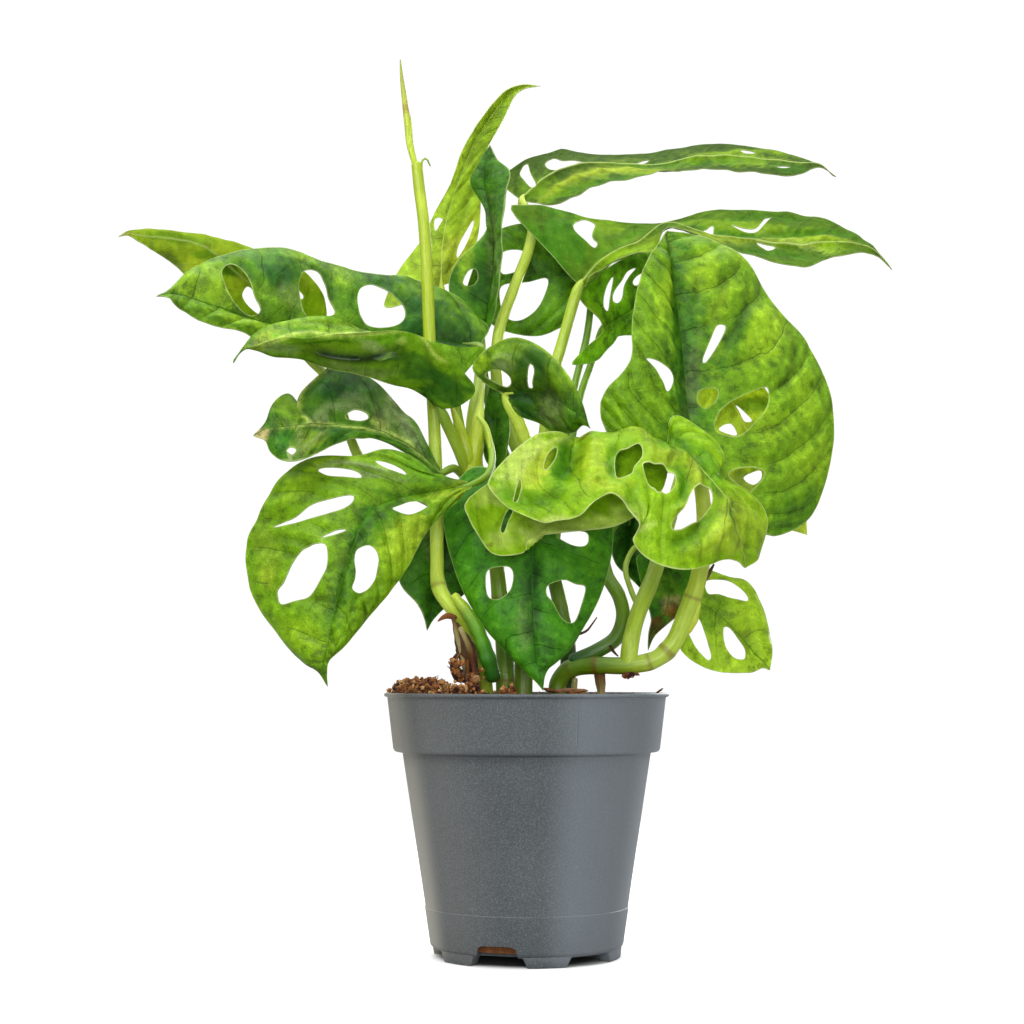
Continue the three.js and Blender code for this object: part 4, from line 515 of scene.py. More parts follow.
        [(76, 206, 8), (85, 213, 10), (95, 220, 12), (103, 224, 12), (110, 222, 12)],
        [(86, 194, 8), (94, 200, 10), (103, 205, 12), (109, 208, 12), (115, 207, 12)],
        [(99, 185, 9), (111, 191, 12), (118, 193, 12)],
        [(119, 178.5, 12)],
    ], [
        Hole(RIGHT, [(87.5, 233), (91.5, 231.3), (95.5, 227), (92.5, 226.6), (89, 230)]),
        Hole(LEFT, [(81, 223), (84, 225.2), (87, 225), (89, 220.6), (84.5, 221.2)]),
        Hole(LEFT, [(91.5, 202.3), (96, 205), (99.3, 205.5), (99, 202), (95.5, 199.5)]),
    ]),
    Leaf("leaf_low_right", Foliage.LIGHT, 1.5, [
        [(76, 164.5, -4), (74, 158, -6), (72, 150.5, -8), (69, 142, -8), (64, 131, -8)],
        [(85, 161, -2), (82, 155, -5), (79, 146.5, -7), (74, 136, -7), (70, 125.3, -8)],
        [(94, 158.3, 0), (91, 150, -3), (86, 140.5, -6), (81, 131, -6), (78, 121.3, -8)],
        [(100.5, 147, 1), (97, 141, -2), (92, 134, -5), (89, 127, -6), (86, 120, -8)],
        [(103.5, 135, 0), (101, 131, -3), (97.5, 127.5, -6), (96, 123.5, -7), (95, 120.2, -9)],
        [(104, 128, -3), (103, 126, -5), (101, 124, -7), (100.5, 123, -8), (100, 122.2, -9)],
        [(103.2, 121.3, -9)],
    ], [
        Hole(LEFT, [(75.5, 158.2), (80, 159.2), (85, 158.7), (89.5, 156), (93, 152), (92.5, 150.2),
            (87, 151.3), (81, 153), (76.5, 153.5)]),
        Hole(RIGHT, [(83.2, 138), (84.3, 139.6), (86.5, 138.5), (89.5, 134.5), (92.5, 129.5), (92, 125.5),
            (88, 126), (84.5, 130.5)]),
        Hole(RIGHT, [(71.8, 144), (75.2, 137), (77.8, 128), (77, 125.2), (74, 127.7), (69.6, 134.5),
            (68, 139.5)]),
    ]),
    Leaf("leaf_low_right_back", Foliage.MID, 1.5, [
        [(46, 170, 4), (52, 172, 6), (58, 172, 8), (64, 171, 8), (70, 167, 6)],
        [(48, 160, 4), (53.5, 160, 4), (60, 160, 6), (66, 159, 8), (71, 157, 8)],
        [(51, 151, 2), (55, 150.5, 3), (60, 150, 4), (64, 149, 6), (67.5, 148, 8)],
        [(52.5, 143.5, 0), (54.5, 142.5, 1), (57, 142, 2), (59.5, 142, 4), (62, 142.5, 5)],
        [(51.5, 136.5, -1), (52.8, 136, 0), (54.5, 136, 1)],
        [(51.6, 129.6, -1)],
    ], []),
    Leaf("leaf_back_low", Foliage.DEEP, 1, [
        [(37, 184, 16), (40, 186, 16), (44, 187, 17), (48, 187, 16), (52, 184, 15)],
        [(36, 174, 15), (39.5, 174.5, 16), (43, 175, 17), (47.5, 174.5, 16), (52, 173, 15)],
        [(38, 166, 14), (41, 166, 15), (44.5, 166, 16), (48, 165.5, 15), (51, 165, 14)],
        [(45, 159.5, 14), (47, 159, 15), (49.5, 159.5, 14)],
        [(49.5, 155, 14)],
    ], []),
    Leaf("leaf_low_left_dark", Foliage.DEEP, 1.5, [
        [(-44, 186, -23), (-37, 190, -21), (-30, 192, -18), (-24, 190, -17), (-18, 184, -15)],
        [(-52, 172, -27), (-42, 173, -24), (-33, 174, -20), (-25, 172, -17), (-19, 168, -15)],
        [(-54, 159, -29), (-45, 160, -26), (-37, 160, -22), (-30, 158, -19), (-25, 155, -16)],
        [(-46.5, 149, -28), (-43, 149.5, -26), (-39.5, 150, -24), (-36, 149.5, -22), (-33, 149, -20)],
        [(-43.2, 143, -28), (-41.5, 143.5, -27), (-39, 143, -26)],
        [(-42, 138, -28)],
    ], []),
    Leaf("leaf_centre_small", Foliage.MID, 0.5, [
        [(-18, 211, -7), (-16, 208, -6), (-13.5, 206, -5), (-11, 208, -6), (-8.5, 211, -8)],
        [(-19, 224, -8), (-16.5, 222, -8), (-13.5, 220, -8), (-10.5, 222, -9), (-7, 224, -10)],
        [(-17, 236, -11), (-15, 235, -11), (-13, 234, -12), (-11, 235, -12), (-9, 236, -12)],
        [(-15.5, 243, -14)],
    ], []),
]

VINES: list[Stems] = [
    Stems("vine_left", [
        Stalk([6.4, 5.4, 4.8], [(-17, 108, -18), (-18, 118, -20), (-21, 132, -26), (-27, 142, -33),
            (-32, 148, -37), (-37, 156, -36), (-38, 170, -31.5), (-38, 190, -30), (-38.5, 210, -29.5),
            (-39.5, 235, -29), (-41, 260, -28), (-42, 285, -26), (-43.5, 310, -22), (-45.5, 326, -19.5),
            (-46.5, 335.5, -18)],
            tones=(Tint.MOSS, Tint.CANE, Tint.PETIOLE, Tint.CANE, Tint.SPEAR, Tint.SPEAR, Tint.SPEAR)),
        Stalk([6.4, 6.6, 5.6, 3], [(-14, 118, -33), (-17.5, 130, -37), (-22, 141, -40), (-30.5, 153, -42)],
            tones=(Tint.DARK, Tint.FOREST, Tint.GRASS, Tint.LEAF, Tint.LEMON)),
        Stalk([1.6, 1.2, 0.9, 0.5], [(-44.8, 333.5, -18.6), (-44.2, 337.2, -18.6), (-42.6, 338.2, -18.4),
            (-40.8, 335, -18)], tones=(Tint.SPEAR, Tint.LEAF)),
        Stalk([3.4, 3], [(-20, 128, -24), (-21, 145, -12), (-26, 172, -10), (-29.5, 187, -13)],
            "leaf_low_left_dark", (Tint.CANE,)),
    ]),
    Stems("vine_middle", [
        Stalk([8.4, 7, 5], [(-9, 108, -10), (-9, 125, -11), (-11, 150, -11), (-14, 175, -10),
            (-18, 192, -10), (-20, 202, -12)],
            tones=(Tint.BARK, Tint.MOSS, Tint.LEAF, Tint.CANE, Tint.PETIOLE)),
        Stalk([5.4, 5.6, 4], [(-15, 180, -10), (-22, 205, -14), (-23, 224, -17), (-20, 243, -14),
            (-19.5, 252, -11)], "leaf_upper_left", (Tint.PETIOLE, Tint.CANE, Tint.MOSS)),
        Stalk([5.4, 4.6], [(-14, 175, -10), (-22, 197, -18), (-28.5, 214, -30), (-34, 226, -38)],
            "leaf_left_twisted", (Tint.PETIOLE, Tint.CANE, Tint.MOSS)),
        Stalk([3.6, 3.2], [(-15, 180, -10), (-23, 198, -18), (-30, 206.5, -28), (-33.5, 206, -35)],
            "leaf_left_crumpled", (Tint.CANE, Tint.MOSS)),
        Stalk([4.6, 4.4, 3.6], [(-13, 168, -9), (-24, 181, -5), (-42, 193, -10), (-60, 201, -17),
            (-69.5, 209, -23), (-75, 221, -25), (-82, 242, -22), (-93, 254, -17)], "leaf_far_left",
            (Tint.CANE,)),
        Stalk([4.6, 4, 3.6], [(-14, 175, -10), (-22, 200, -2), (-28, 225, 4), (-32, 250, 10),
            (-35, 274, 14)], "leaf_top_narrow", (Tint.LIME, Tint.SPEAR)),
        Stalk([3, 2.8], [(-18, 192, -10), (-21, 212, -9), (-20.5, 224, -16), (-17, 221, -26),
            (-14.6, 213, -35), (-15.5, 206, -43), (-19, 202, -49)], "leaf_low_left",
            (Tint.CANE, Tint.LEAF)),
        Stalk([6, 8.4, 7, 5, 1.6], [(-17, 188, -10), (-23, 205, -23), (-26.5, 218, -27),
            (-31.5, 232.5, -26)], tones=(Tint.LEAF, Tint.LEMON, Tint.SPEAR, Tint.LEMON)),
        Stalk([5, 7.2, 7, 4.4, 1.4], [(-18, 192, -12), (-22, 208, -24), (-21, 222, -25),
            (-18.5, 242.5, -22)], tones=(Tint.LEAF, Tint.SPEAR, Tint.LEMON, Tint.PALE)),
        Stalk([2.6, 2.2, 2], [(-14, 200, -30), (-15, 214, -33), (-17, 224, -33), (-20.5, 229, -31)],
            tones=(Tint.CANE, Tint.PETIOLE)),
    ]),
    Stems("vine_front", [
        Stalk([8, 7, 5], [(-1.5, 108, -21), (-1, 125, -21), (0, 150, -19), (1, 175, -19), (1, 190, -21)],
            tones=(Tint.BARK, Tint.MOSS, Tint.LEAF, Tint.CANE)),
        Stalk([4, 3.4], [(0, 165, -19), (0, 185, -23), (-1, 195, -30), (-1.5, 197.5, -35)],
            "leaf_front_low", (Tint.CANE, Tint.LEAF)),
        Stalk([5.6, 5.2], [(1, 170, -19), (3, 195, -25), (1.5, 212, -33), (-3.5, 227, -41)],
            "leaf_centre_dark", (Tint.CANE, Tint.PETIOLE)),
        Stalk([3.8, 3.4], [(1, 180, -19), (6, 200, -27), (11, 215, -36), (15, 220, -44)],
            "leaf_front_curled", (Tint.CANE, Tint.LEAF)),
        Stalk([2.4, 2.2], [(0, 160, -18), (-6, 180, -10), (-12, 200, -5)], "leaf_centre_small",
            (Tint.LEAF,)),
    ]),
    Stems("vine_back", [
        Stalk([7, 6.4, 6], [(17, 108, 6), (17.5, 130, 4), (14.5, 148, 2), (9, 172, 2), (4, 200, 3)],
            tones=(Tint.BARK, Tint.DARK, Tint.MOSS, Tint.LEAF, Tint.CANE)),
        Stalk([5.6, 5, 4.4], [(5, 195, 3), (-4, 215, 5), (-12, 240, 9), (-12, 263, 13), (-5, 284, 20),
            (1, 300, 27), (2.5, 312, 33)], "leaf_top_right",
            (Tint.CANE, Tint.CANE, Tint.PETIOLE, Tint.PETIOLE)),
        Stalk([5.6, 5.2, 4.6], [(5, 190, 3), (7, 215, 3), (11, 245, 4), (16, 263, 4), (20.5, 279, 3)],
            "leaf_right_upper", (Tint.LEAF, Tint.CANE, Tint.CANE, Tint.CANE)),
        Stalk([4.4, 4], [(8, 178, 2), (-6, 205, 6), (-16, 235, 10), (-18.5, 252, 12)], "leaf_centre_top",
            (Tint.LEAF,)),
        Stalk([3.6, 3.2], [(9, 175, 2), (15, 210, 22), (20, 240, 38), (26, 265, 45), (27, 280, 41)],
            "leaf_back_centre", (Tint.LEAF,)),
        Stalk([3.4, 3.2], [(11, 165, 2), (17, 205, 20), (23, 238, 36), (27, 250, 42), (30, 259, 42)],
            "leaf_back_right", (Tint.LEAF,)),
    ]),
    Stems("vine_right", [
        Stalk([7, 7.2, 7.2, 7.6, 6.6, 5.4], [(13, 108, -9), (13.5, 116, -9), (18, 121.5, -12),
            (27, 123.2, -16), (43, 123.3, -21), (55, 126, -22), (62, 132.5, -22), (68, 146, -23),
            (73, 161, -26), (75.5, 180, -30), (74, 200, -30)], "leaf_right_large",
            (Tint.BARK, Tint.MOSS, Tint.MOSS, Tint.CANE, Tint.CANE, Tint.LEMON, Tint.LEMON, Tint.LEAF),
            rings=(0.27, 0.46)),
        Stalk([7.2, 6.6, 5.6, 5], [(43, 122.5, -21), (44, 132, -21), (46.5, 143, -18), (54, 162, -8),
            (62, 190, 6), (70, 220, 18), (77, 243, 19)], "leaf_right_back",
            (Tint.CANE, Tint.CANE, Tint.CANE, Tint.LEAF)),
        Stalk([6.4, 6.2, 5, 3.4], [(20, 125, -13), (30, 129.5, -15), (38, 135, -14), (41, 143, -12),
            (39.5, 152, -8), (34, 162, -1), (33, 175, 6), (38, 184, 10), (42, 187.5, 12)], "leaf_back_low",
            (Tint.DARK, Tint.MOSS, Tint.LEAF, Tint.LEAF)),
        Stalk([1, 3.2, 4.2, 1.6], [(73.4, 159, -25), (72.4, 150, -24), (69.8, 141, -22.5),
            (64.5, 133.5, -22)], tones=(Tint.LEMON, Tint.LEMON, Tint.GOLD)),
        Stalk([2.6, 2.2, 0.9], [(74.2, 158.5, -26.5), (77, 162, -25.5), (79.4, 166, -25)],
            tones=(Tint.BROWN, Tint.BARK)),
        Stalk([3.4, 3], [(63, 134, -22), (66, 143, -17), (69, 148, -12)], "leaf_low_right", (Tint.LEAF,)),
        Stalk([2.4, 2.2], [(48, 147, -15), (44, 156, -7), (42, 165, 0), (47, 174, 8), (54, 174.5, 9.5)],
            "leaf_low_right_back", (Tint.CANE,)),
    ]),
]

ROOTS: list[Stems] = [
    Stems("aerial_root_right", [
        Stalk([4.2, 3.4, 4.6], [(31.4, 106, -16), (31.6, 113, -16), (31, 119.2, -16)],
            tones=(Tint.BROWN, Tint.STRAW, Tint.BROWN)),
    ]),
    Stems("aerial_root_middle", [
        Stalk([2.6, 2.2, 2.6], [(20.6, 106, -14), (20, 112, -14), (20.6, 117.4, -13)],
            tones=(Tint.BARK, Tint.STRAW)),
    ]),
    Stems("dried_stem", [
        Stalk([1.2, 1.6, 1.2, 0.7], [(-26, 130, -38), (-29.5, 126, -39), (-28.5, 121, -38),
            (-25, 117.5, -37)], tones=(Tint.BROWN, Tint.RUST)),
        Stalk([2.2, 2.6, 2.2, 1.2], [(-28, 139, -42.5), (-24.5, 131, -40.5), (-22.5, 124, -37.5),
            (-21.5, 116, -36)], tones=(Tint.STRAW, Tint.BROWN, Tint.BROWN)),
        Stalk([1.6, 2, 1.4], [(-31, 143, -42.5), (-29, 134, -41.5), (-27, 126, -38), (-26, 118, -37)],
            tones=(Tint.BROWN, Tint.STRAW, Tint.BARK)),
        Stalk([1.5, 2.4, 2.2, 0.6], [(-30, 143.5, -42), (-33.5, 144.3, -43), (-36, 143.2, -43.5),
            (-37.5, 142, -43.5)], tones=(Tint.BROWN, Tint.RUST)),
        Stalk([0.9, 0.9, 0.5], [(22.5, 136.5, -43.5), (25.6, 138, -43.4), (28, 141, -43),
            (29.8, 143.6, -42.5)], tones=(Tint.BARK, Tint.BROWN)),
        Stalk([1.2, 1.1, 0.6], [(35.5, 131.5, -18), (37, 129, -19), (38.8, 127.2, -20)],
            tones=(Tint.BARK, Tint.BROWN)),
        Stalk([6, 6.4, 7, 8, 2.4], [(-22, 106, -29), (-23, 115, -30), (-24, 124, -32), (-26.5, 132, -38),
            (-30, 140.5, -40)],
            tones=(Tint.BARK, Tint.BROWN, Tint.BARK, Tint.BROWN, Tint.BARK, Tint.BROWN)),
        Stalk([1.6, 1.9, 1.9, 1.6], [(-24.5, 116.5, -31), (-29.5, 117.5, -34), (-31.5, 122, -36),
            (-30, 127, -37.5), (-26, 129.5, -36.5)], tones=(Tint.BARK,)),
    ]),
]

# Colours, patches and creases of the leaves, with the painted shade and highlights of their folds and
# shadowed places

LOOKS: dict[str, Look] = {
    # The FOREST and DARK marks along the rib and the untinted creases are painted shade in the grooves and
    # folds; the GREY mark beside the rib is painted sheen.
    "leaf_right_large": Look(0x6F9A2A, quilt=1.3, marks=[
        Mark(Tint.FOREST, 66, 262, 9, 36, 0.75, 2), Mark(Tint.DARK, 67, 240, 5, 18, 0.6, -4),
        Mark(Tint.FOREST, 72, 225, 22, 7, 0.5, 15), Mark(Tint.LIME, 73, 288, 6, 9, 0.75, -15),
        Mark(Tint.LIME, 100, 263, 9, 14, 0.8, -20), Mark(Tint.LIME, 101, 262, 5, 9, 0.5, -20),
        Mark(Tint.LIME, 56, 279, 3.5, 11, 0.7, -12), Mark(Tint.LIME, 101, 224, 8, 8, 0.6),
        Mark(Tint.LIME, 119, 210, 9, 9, 0.55), Mark(Tint.LIME, 116, 236, 6, 11, 0.5, 10),
        Mark(Tint.LIME, 55, 212, 4, 4), Mark(Tint.FOREST, 47, 208, 6, 6, 0.5),
        Mark(Tint.LIME, 88, 297, 9, 3, 0.5, -30), Mark(Tint.GREY, 70, 245, 3, 20, 0.45, -6),
        Mark(Tint.FOREST, 112, 184, 16, 9, 0.5, 50), Mark(Tint.FOREST, 87, 262, 3, 14, 0.6, -20),
        Mark(Tint.LIME, 90, 205, 9, 4, 0.35, 30), Mark(Tint.LIME, 81, 276, 3.5, 9, 0.6, -25)], creases=[
        Crease([(91, 287), (92, 276), (86, 263), (79, 251)], 1.0, 1.8, 0.6), Crease([(106, 272), (112, 257),
        (110, 247), (104, 237)], 0.9, 1.7), Crease([(70, 291), (71.5, 280), (66, 268)], 0.7, 1.4, 0.45),
        Crease([(79, 291), (81, 280), (74, 262)], 0.7, 1.4, 0.45), Crease([(59, 285), (60, 272),
        (62.5, 262)], 0.6, 1.3, 0.45), Crease([(55, 262), (59, 250), (64, 243)], 0.6, 1.3),
        Crease([(92, 195), (110, 203), (122, 217), (125, 231)], 0.3, 0.7, 0.35), Crease([(103, 184),
        (114, 187), (124, 201)], 0.3, 0.7, 0.3)]),
    # FOREST creases paint the shade in the folds; raised LEMON and LIME creases paint the highlights on
    # their crests.
    "leaf_right_upper": Look(0x527408, shows_under=True, quilt=0.8, marks=[
        Mark(Tint.FOREST, 17, 305, 12, 12, 0.65, -30), Mark(Tint.LIME, 30, 311, 9, 5, 0.35, -10),
        Mark(Tint.OLIVE, 60, 303, 22, 4, 0.5, 4), Mark(Tint.LIME, 90, 309, 20, 3, 0.45, -4),
        Mark(Tint.PALE, 112, 303, 16, 1.6, 0.4, -14), Mark(Tint.LIME, 126, 303, 9, 4, 0.5, -20)], creases=[
        Crease([(62, 309), (83, 303.5), (108, 303.3), (130, 304.5), (146, 300)], -0.8, 0.9, 0.35,
        Tint.LEMON), Crease([(66, 311.5), (86, 306.5), (108, 306), (130, 307), (143, 303)], 1.0, 1.1, 0.65,
        Tint.FOREST), Crease([(100, 300.5), (118, 302), (136, 301)], -0.6, 0.8, 0.5, Tint.LIME),
        Crease([(84, 300), (104, 298.5), (124, 296)], 0.8, 1.0, 0.5, Tint.FOREST), Crease([(80, 311),
        (100, 314), (118, 312)], 0.8, 1.0, 0.45, Tint.FOREST), Crease([(21, 284), (13, 296), (2, 308),
        (-6, 314)], 0.9, 1.8, 0.6, Tint.FOREST), Crease([(23, 284), (30, 292), (40, 297.5), (52, 300.5),
        (58, 306)], -0.6, 1.2, 0.75, Tint.LIME), Crease([(28, 297), (40, 303), (52, 309)], 0.8, 1.5, 0.4,
        Tint.GRASS)]),
    # FOREST creases paint the shade in the folds; raised LEMON and LIME creases paint the highlights on
    # their crests.
    "leaf_top_right": Look(0x445E08, shows_under=True, quilt=0.8, marks=[
        Mark(Tint.LEAF, 4, 325, 9, 6, 0.6), Mark(Tint.LIME, 22, 327, 14, 3, 0.3, 20),
        Mark(Tint.LIME, 52, 334, 16, 3, 0.25, 5), Mark(Tint.OLIVE, 34, 334, 14, 3, 0.5, 12),
        Mark(Tint.LIME, 90, 338, 20, 2.5, 0.5, -4), Mark(Tint.FOREST, 112, 334, 12, 2, 0.4, -12)], creases=[
        Crease([(4, 319), (14, 327), (28, 332.5), (46, 333.5), (66, 331)], -0.7, 0.9, 0.6, Tint.LEMON),
        Crease([(8, 320), (22, 326), (40, 330), (60, 331)], 1.0, 1.3, 0.6, Tint.FOREST), Crease([(30, 336),
        (52, 335.5), (75, 337), (100, 338)], 0.9, 1.0, 0.55, Tint.FOREST), Crease([(60, 335), (80, 340),
        (104, 341), (118, 338)], -0.6, 0.7, 0.5, Tint.LIME)]),
    "leaf_top_narrow": Look(0xA4C63A, quilt=0.3, marks=[
        Mark(Tint.LEMON, -32, 292, 7, 18, 0.95, -24), Mark(Tint.LEMON, -24, 308, 3, 14, 0.6, -24),
        Mark(Tint.LEAF, -12, 346, 8, 18, 0.5, -30), Mark(Tint.LIME, -24, 322, 4, 14, 0.45, -28),
        Mark(Tint.OLIVE, -38, 284, 3, 12, 0.6, -22)], creases=[
        Crease([(-34, 285), (-27, 312), (-17, 340), (-4, 358)], 0.5, 1.0, 0.3)]),
    "leaf_centre_top": Look(0x4A7A0C, quilt=0.8, marks=[
        Mark(Tint.GREY, -14, 300, 3, 18, 0.5), Mark(Tint.DARK, -20, 285, 4, 9, 0.5),
        Mark(Tint.LIME, -25, 300, 3, 14, 0.6, -8), Mark(Tint.GRASS, -18, 265, 5, 9, 0.4)]),
    "leaf_back_centre": Look(0x64990F, quilt=0.7, marks=[
        Mark(Tint.DARK, 8, 290, 9, 8, 0.5)]),
    "leaf_back_right": Look(0x7CBC14, quilt=0.7, marks=[
        Mark(Tint.DARK, 46, 290, 9, 12, 0.3), Mark(Tint.LIME, 26, 268, 7, 8, 0.5)]),
    "leaf_upper_left": Look(0x608A1A, quilt=1.1, marks=[
        Mark(Tint.LIME, -138, 284, 16, 8, 0.55, -20), Mark(Tint.FOREST, -60, 270, 24, 12, 0.4, -30),
        Mark(Tint.FOREST, -108, 291, 12, 8, 0.6, -10), Mark(Tint.DARK, -106, 286, 7, 5, 0.8, -10),
        Mark(Tint.DARK, -89, 283, 5, 8, 0.6, 20), Mark(Tint.LIME, -97, 296, 7, 2, 0.5, -8),
        Mark(Tint.GREY, -98, 278, 9, 5, 0.45, -20), Mark(Tint.DARK, -35, 262, 18, 10, 0.75, -25),
        Mark(Tint.LIME, -119, 268, 14, 3, 0.5, -12), Mark(Tint.DARK, -62, 284, 9, 6, 0.7, -30),
        Mark(Tint.LIME, -80, 287, 4, 6, 0.4, 20), Mark(Tint.DARK, -46, 268, 6, 10, 0.6, -40),
        Mark(Tint.DARK, -52, 276, 8, 6, 0.5, -30)], creases=[
        Crease([(-113, 279), (-106, 283), (-103, 292)], 0.9, 1.7), Crease([(-124, 293), (-118, 288),
        (-112, 279)], 0.6, 1.4, 0.35), Crease([(-92, 292), (-86, 284), (-84, 274)], 0.7, 1.5, 0.4)]),
    # The LEMON marks are painted light that lifts the places lying in the shade of the leaf in front.
    "leaf_far_left": Look(0xA6C23C, shows_under=True, quilt=0.7, marks=[
        Mark(Tint.LEMON, -141, 292, 5, 5, 0.7, 20), Mark(Tint.LEMON, -128, 296, 12, 4, 0.4, -8),
        Mark(Tint.LIME, -108, 275, 26, 18, 0.8, -30), Mark(Tint.LEMON, -122, 284, 7, 5, 0.5, -20),
        Mark(Tint.LEMON, -104, 270, 5, 7, 0.6, 25), Mark(Tint.LEMON, -96, 262, 6, 4, 0.5, -30),
        Mark(Tint.FOREST, -128, 291, 8, 2.4, 0.65, -25), Mark(Tint.FOREST, -117, 293.5, 6, 1.8, 0.65, -12),
        Mark(Tint.GRASS, -137, 297, 6, 1.8, 0.6, -8), Mark(Tint.FOREST, -109, 286, 8, 2, 0.6, -25),
        Mark(Tint.SAGE, -153, 293, 11, 4, 0.7, -33), Mark(Tint.FOREST, -106, 278, 3, 5, 0.6, 20),
        Mark(Tint.SAGE, -108, 273, 4, 9, 0.5, 25), Mark(Tint.GRASS, -99, 268, 3, 6, 0.6, -30),
        Mark(Tint.MOSS, -156, 297, 9, 4, 0.5, -25), Mark(Tint.GRASS, -148, 304, 14, 2, 0.5, -8),
        Mark(Tint.RUST, -170.5, 304, 2, 2, 0.8), Mark(Tint.MOSS, -145, 286, 8, 2, 0.6, -30)]),
    # The NIGHT crease is painted shadow in the gap between the front fold and the part beneath it; FOREST
    # creases paint shade in folds; PALE creases are pale margins.
    "leaf_left_twisted": Look(0x6C9A26, quilt=0.6, pale_edge=False, marks=[
        Mark(Tint.LIME, -85, 267, 28, 3.5, 0.35, -3), Mark(Tint.LEMON, -112, 261, 6, 3, 0.4, 30),
        Mark(Tint.SAGE, -104, 257.5, 9, 2.2, 0.5, -6), Mark(Tint.LEAF, -75, 257, 20, 4, 0.7, -2),
        Mark(Tint.GRASS, -58, 262, 9, 3, 0.5), Mark(Tint.PALE, -53, 261, 2, 1.5, 0.5),
        Mark(Tint.SAGE, -64, 258, 8, 2, 0.55, -25), Mark(Tint.DARK, -46, 249, 14, 6, 0.75, -25),
        Mark(Tint.DARK, -34, 240, 12, 8, 0.85, -30), Mark(Tint.MOSS, -118, 255.5, 5, 4, 0.7, 45),
        Mark(Tint.LEAF, -38, 254, 8, 3, 0.7, -50)], creases=[
        Crease([(-118, 257.5), (-108, 260), (-98, 263.5), (-80, 263), (-64, 264), (-47, 265.5)], -0.7, 0.6,
        0.75, Tint.PALE), Crease([(-95, 258), (-86, 256), (-75, 254), (-65, 254.5), (-54, 258)], 1.4, 2.2,
        1.0, Tint.NIGHT), Crease([(-88, 252), (-80, 250), (-70, 247.5), (-61, 246.5), (-54, 248)], -0.6,
        1.8, 0.6, Tint.GREY), Crease([(-100, 260), (-85, 261.5), (-70, 260.5)], 0.7, 0.9, 0.5, Tint.FOREST),
        Crease([(-47, 265), (-43, 261), (-39, 255), (-33, 251.5)], -0.6, 0.6, 0.7, Tint.PALE),
        Crease([(-103, 266), (-96, 265.5), (-90, 264.5)], 0.4, 0.9, 0.5, Tint.FOREST), Crease([(-110, 265),
        (-95, 268), (-75, 267), (-65, 265.5)], 0.4, 0.8, 0.3)]),
    "leaf_centre_dark": Look(0x52762A, quilt=0.6, marks=[
        Mark(Tint.LEAF, -8, 257, 9, 3, 0.7, 15), Mark(Tint.SAGE, -10, 252, 5, 3, 0.5),
        Mark(Tint.DARK, 3, 250, 6, 5, 0.6), Mark(Tint.DARK, -2, 234, 9, 5, 0.8, -30),
        Mark(Tint.GREY, 12, 233, 7, 6, 0.6, -40), Mark(Tint.LEAF, 14, 245, 4, 8, 0.5, 30),
        Mark(Tint.GRASS, 20, 232, 4, 6, 0.5, 25), Mark(Tint.LIME, -18, 252, 4, 3, 0.6, 35)], creases=[
        Crease([(-24, 251), (-16, 257.5), (-8, 262), (-3, 262), (5, 258), (12, 252), (17, 245), (23, 234)],
        -0.5, 0.6, 0.7, Tint.LIME), Crease([(-17, 247), (-14, 252.5), (-9, 254), (-5.5, 251), (-5.5, 245),
        (-8, 240.5)], -0.8, 0.9, 0.5, Tint.LEAF), Crease([(-6, 258), (3, 252), (9, 244), (8, 238),
        (1, 235.5)], 1.0, 1.4), Crease([(-20, 246), (-12, 240), (-6, 234), (-2, 226)], -0.5, 0.8, 0.6,
        Tint.LEAF)]),
    # The SAGE and GREY patches and creases paint the whitish sheen on its face; the PALE creases are its
    # pale margins.
    "leaf_left_crumpled": Look(0x4F7C1A, quilt=0.4, marks=[
        Mark(Tint.FOREST, -84, 243, 9, 7, 0.7, -20), Mark(Tint.DARK, -82, 238, 5, 4, 0.9, -10),
        Mark(Tint.DARK, -74, 240, 12, 6, 0.5, -35), Mark(Tint.GRASS, -83, 245, 4, 2, 0.6, -20),
        Mark(Tint.LEAF, -88, 247, 3, 3, 0.5, 40), Mark(Tint.SAGE, -72, 234, 9, 3, 0.35, -10),
        Mark(Tint.GREY, -56, 229, 8, 8, 0.75, -45), Mark(Tint.SAGE, -49, 221, 4, 8, 0.5, 25),
        Mark(Tint.PALE, -63, 225, 4, 1.6, 0.6, -20), Mark(Tint.SAGE, -88, 227, 5, 3, 0.6, 20),
        Mark(Tint.LEAF, -101, 231, 6, 8, 0.8, 20), Mark(Tint.STRAW, -113, 221, 4, 3, 0.9),
        Mark(Tint.FOREST, -103, 218, 5, 5, 0.8), Mark(Tint.OLIVE, -92, 217, 6, 6, 0.75),
        Mark(Tint.DARK, -80, 220, 4, 3, 0.6)], creases=[
        Crease([(-83, 249), (-92, 243), (-96, 238), (-96, 231), (-92, 226), (-88, 224.8)], -1.0, 0.6, 0.8,
        Tint.PALE), Crease([(-82, 249), (-90, 242.5), (-94, 237), (-94, 231.5), (-90, 227)], 1.4, 1.6, 0.3),
        Crease([(-111, 223), (-100, 224), (-88, 225), (-75, 224), (-62, 222), (-52, 218), (-45, 212),
        (-38, 206)], -0.8, 0.6, 0.8, Tint.PALE), Crease([(-90, 230), (-84, 232), (-76, 231.5), (-70, 229)],
        -0.5, 1.2, 0.7, Tint.SAGE), Crease([(-64, 231), (-56, 229), (-50, 222), (-46, 214)], -0.4, 1.0,
        0.45, Tint.SAGE), Crease([(-97, 224), (-96, 218), (-97, 211)], 0.6, 0.7, 0.5, Tint.SAGE),
        Crease([(-84, 223), (-92, 216), (-97, 212)], -0.4, 0.6, 0.5, Tint.SAGE), Crease([(-77, 248),
        (-70, 241), (-63, 231)], 0.8, 1.0), Crease([(-84, 246), (-80, 240), (-79, 234)], 0.9, 1.4, 0.6),
        Crease([(-72, 244), (-68, 236), (-66, 228)], -0.5, 0.9, 0.4, Tint.GRASS), Crease([(-108, 235),
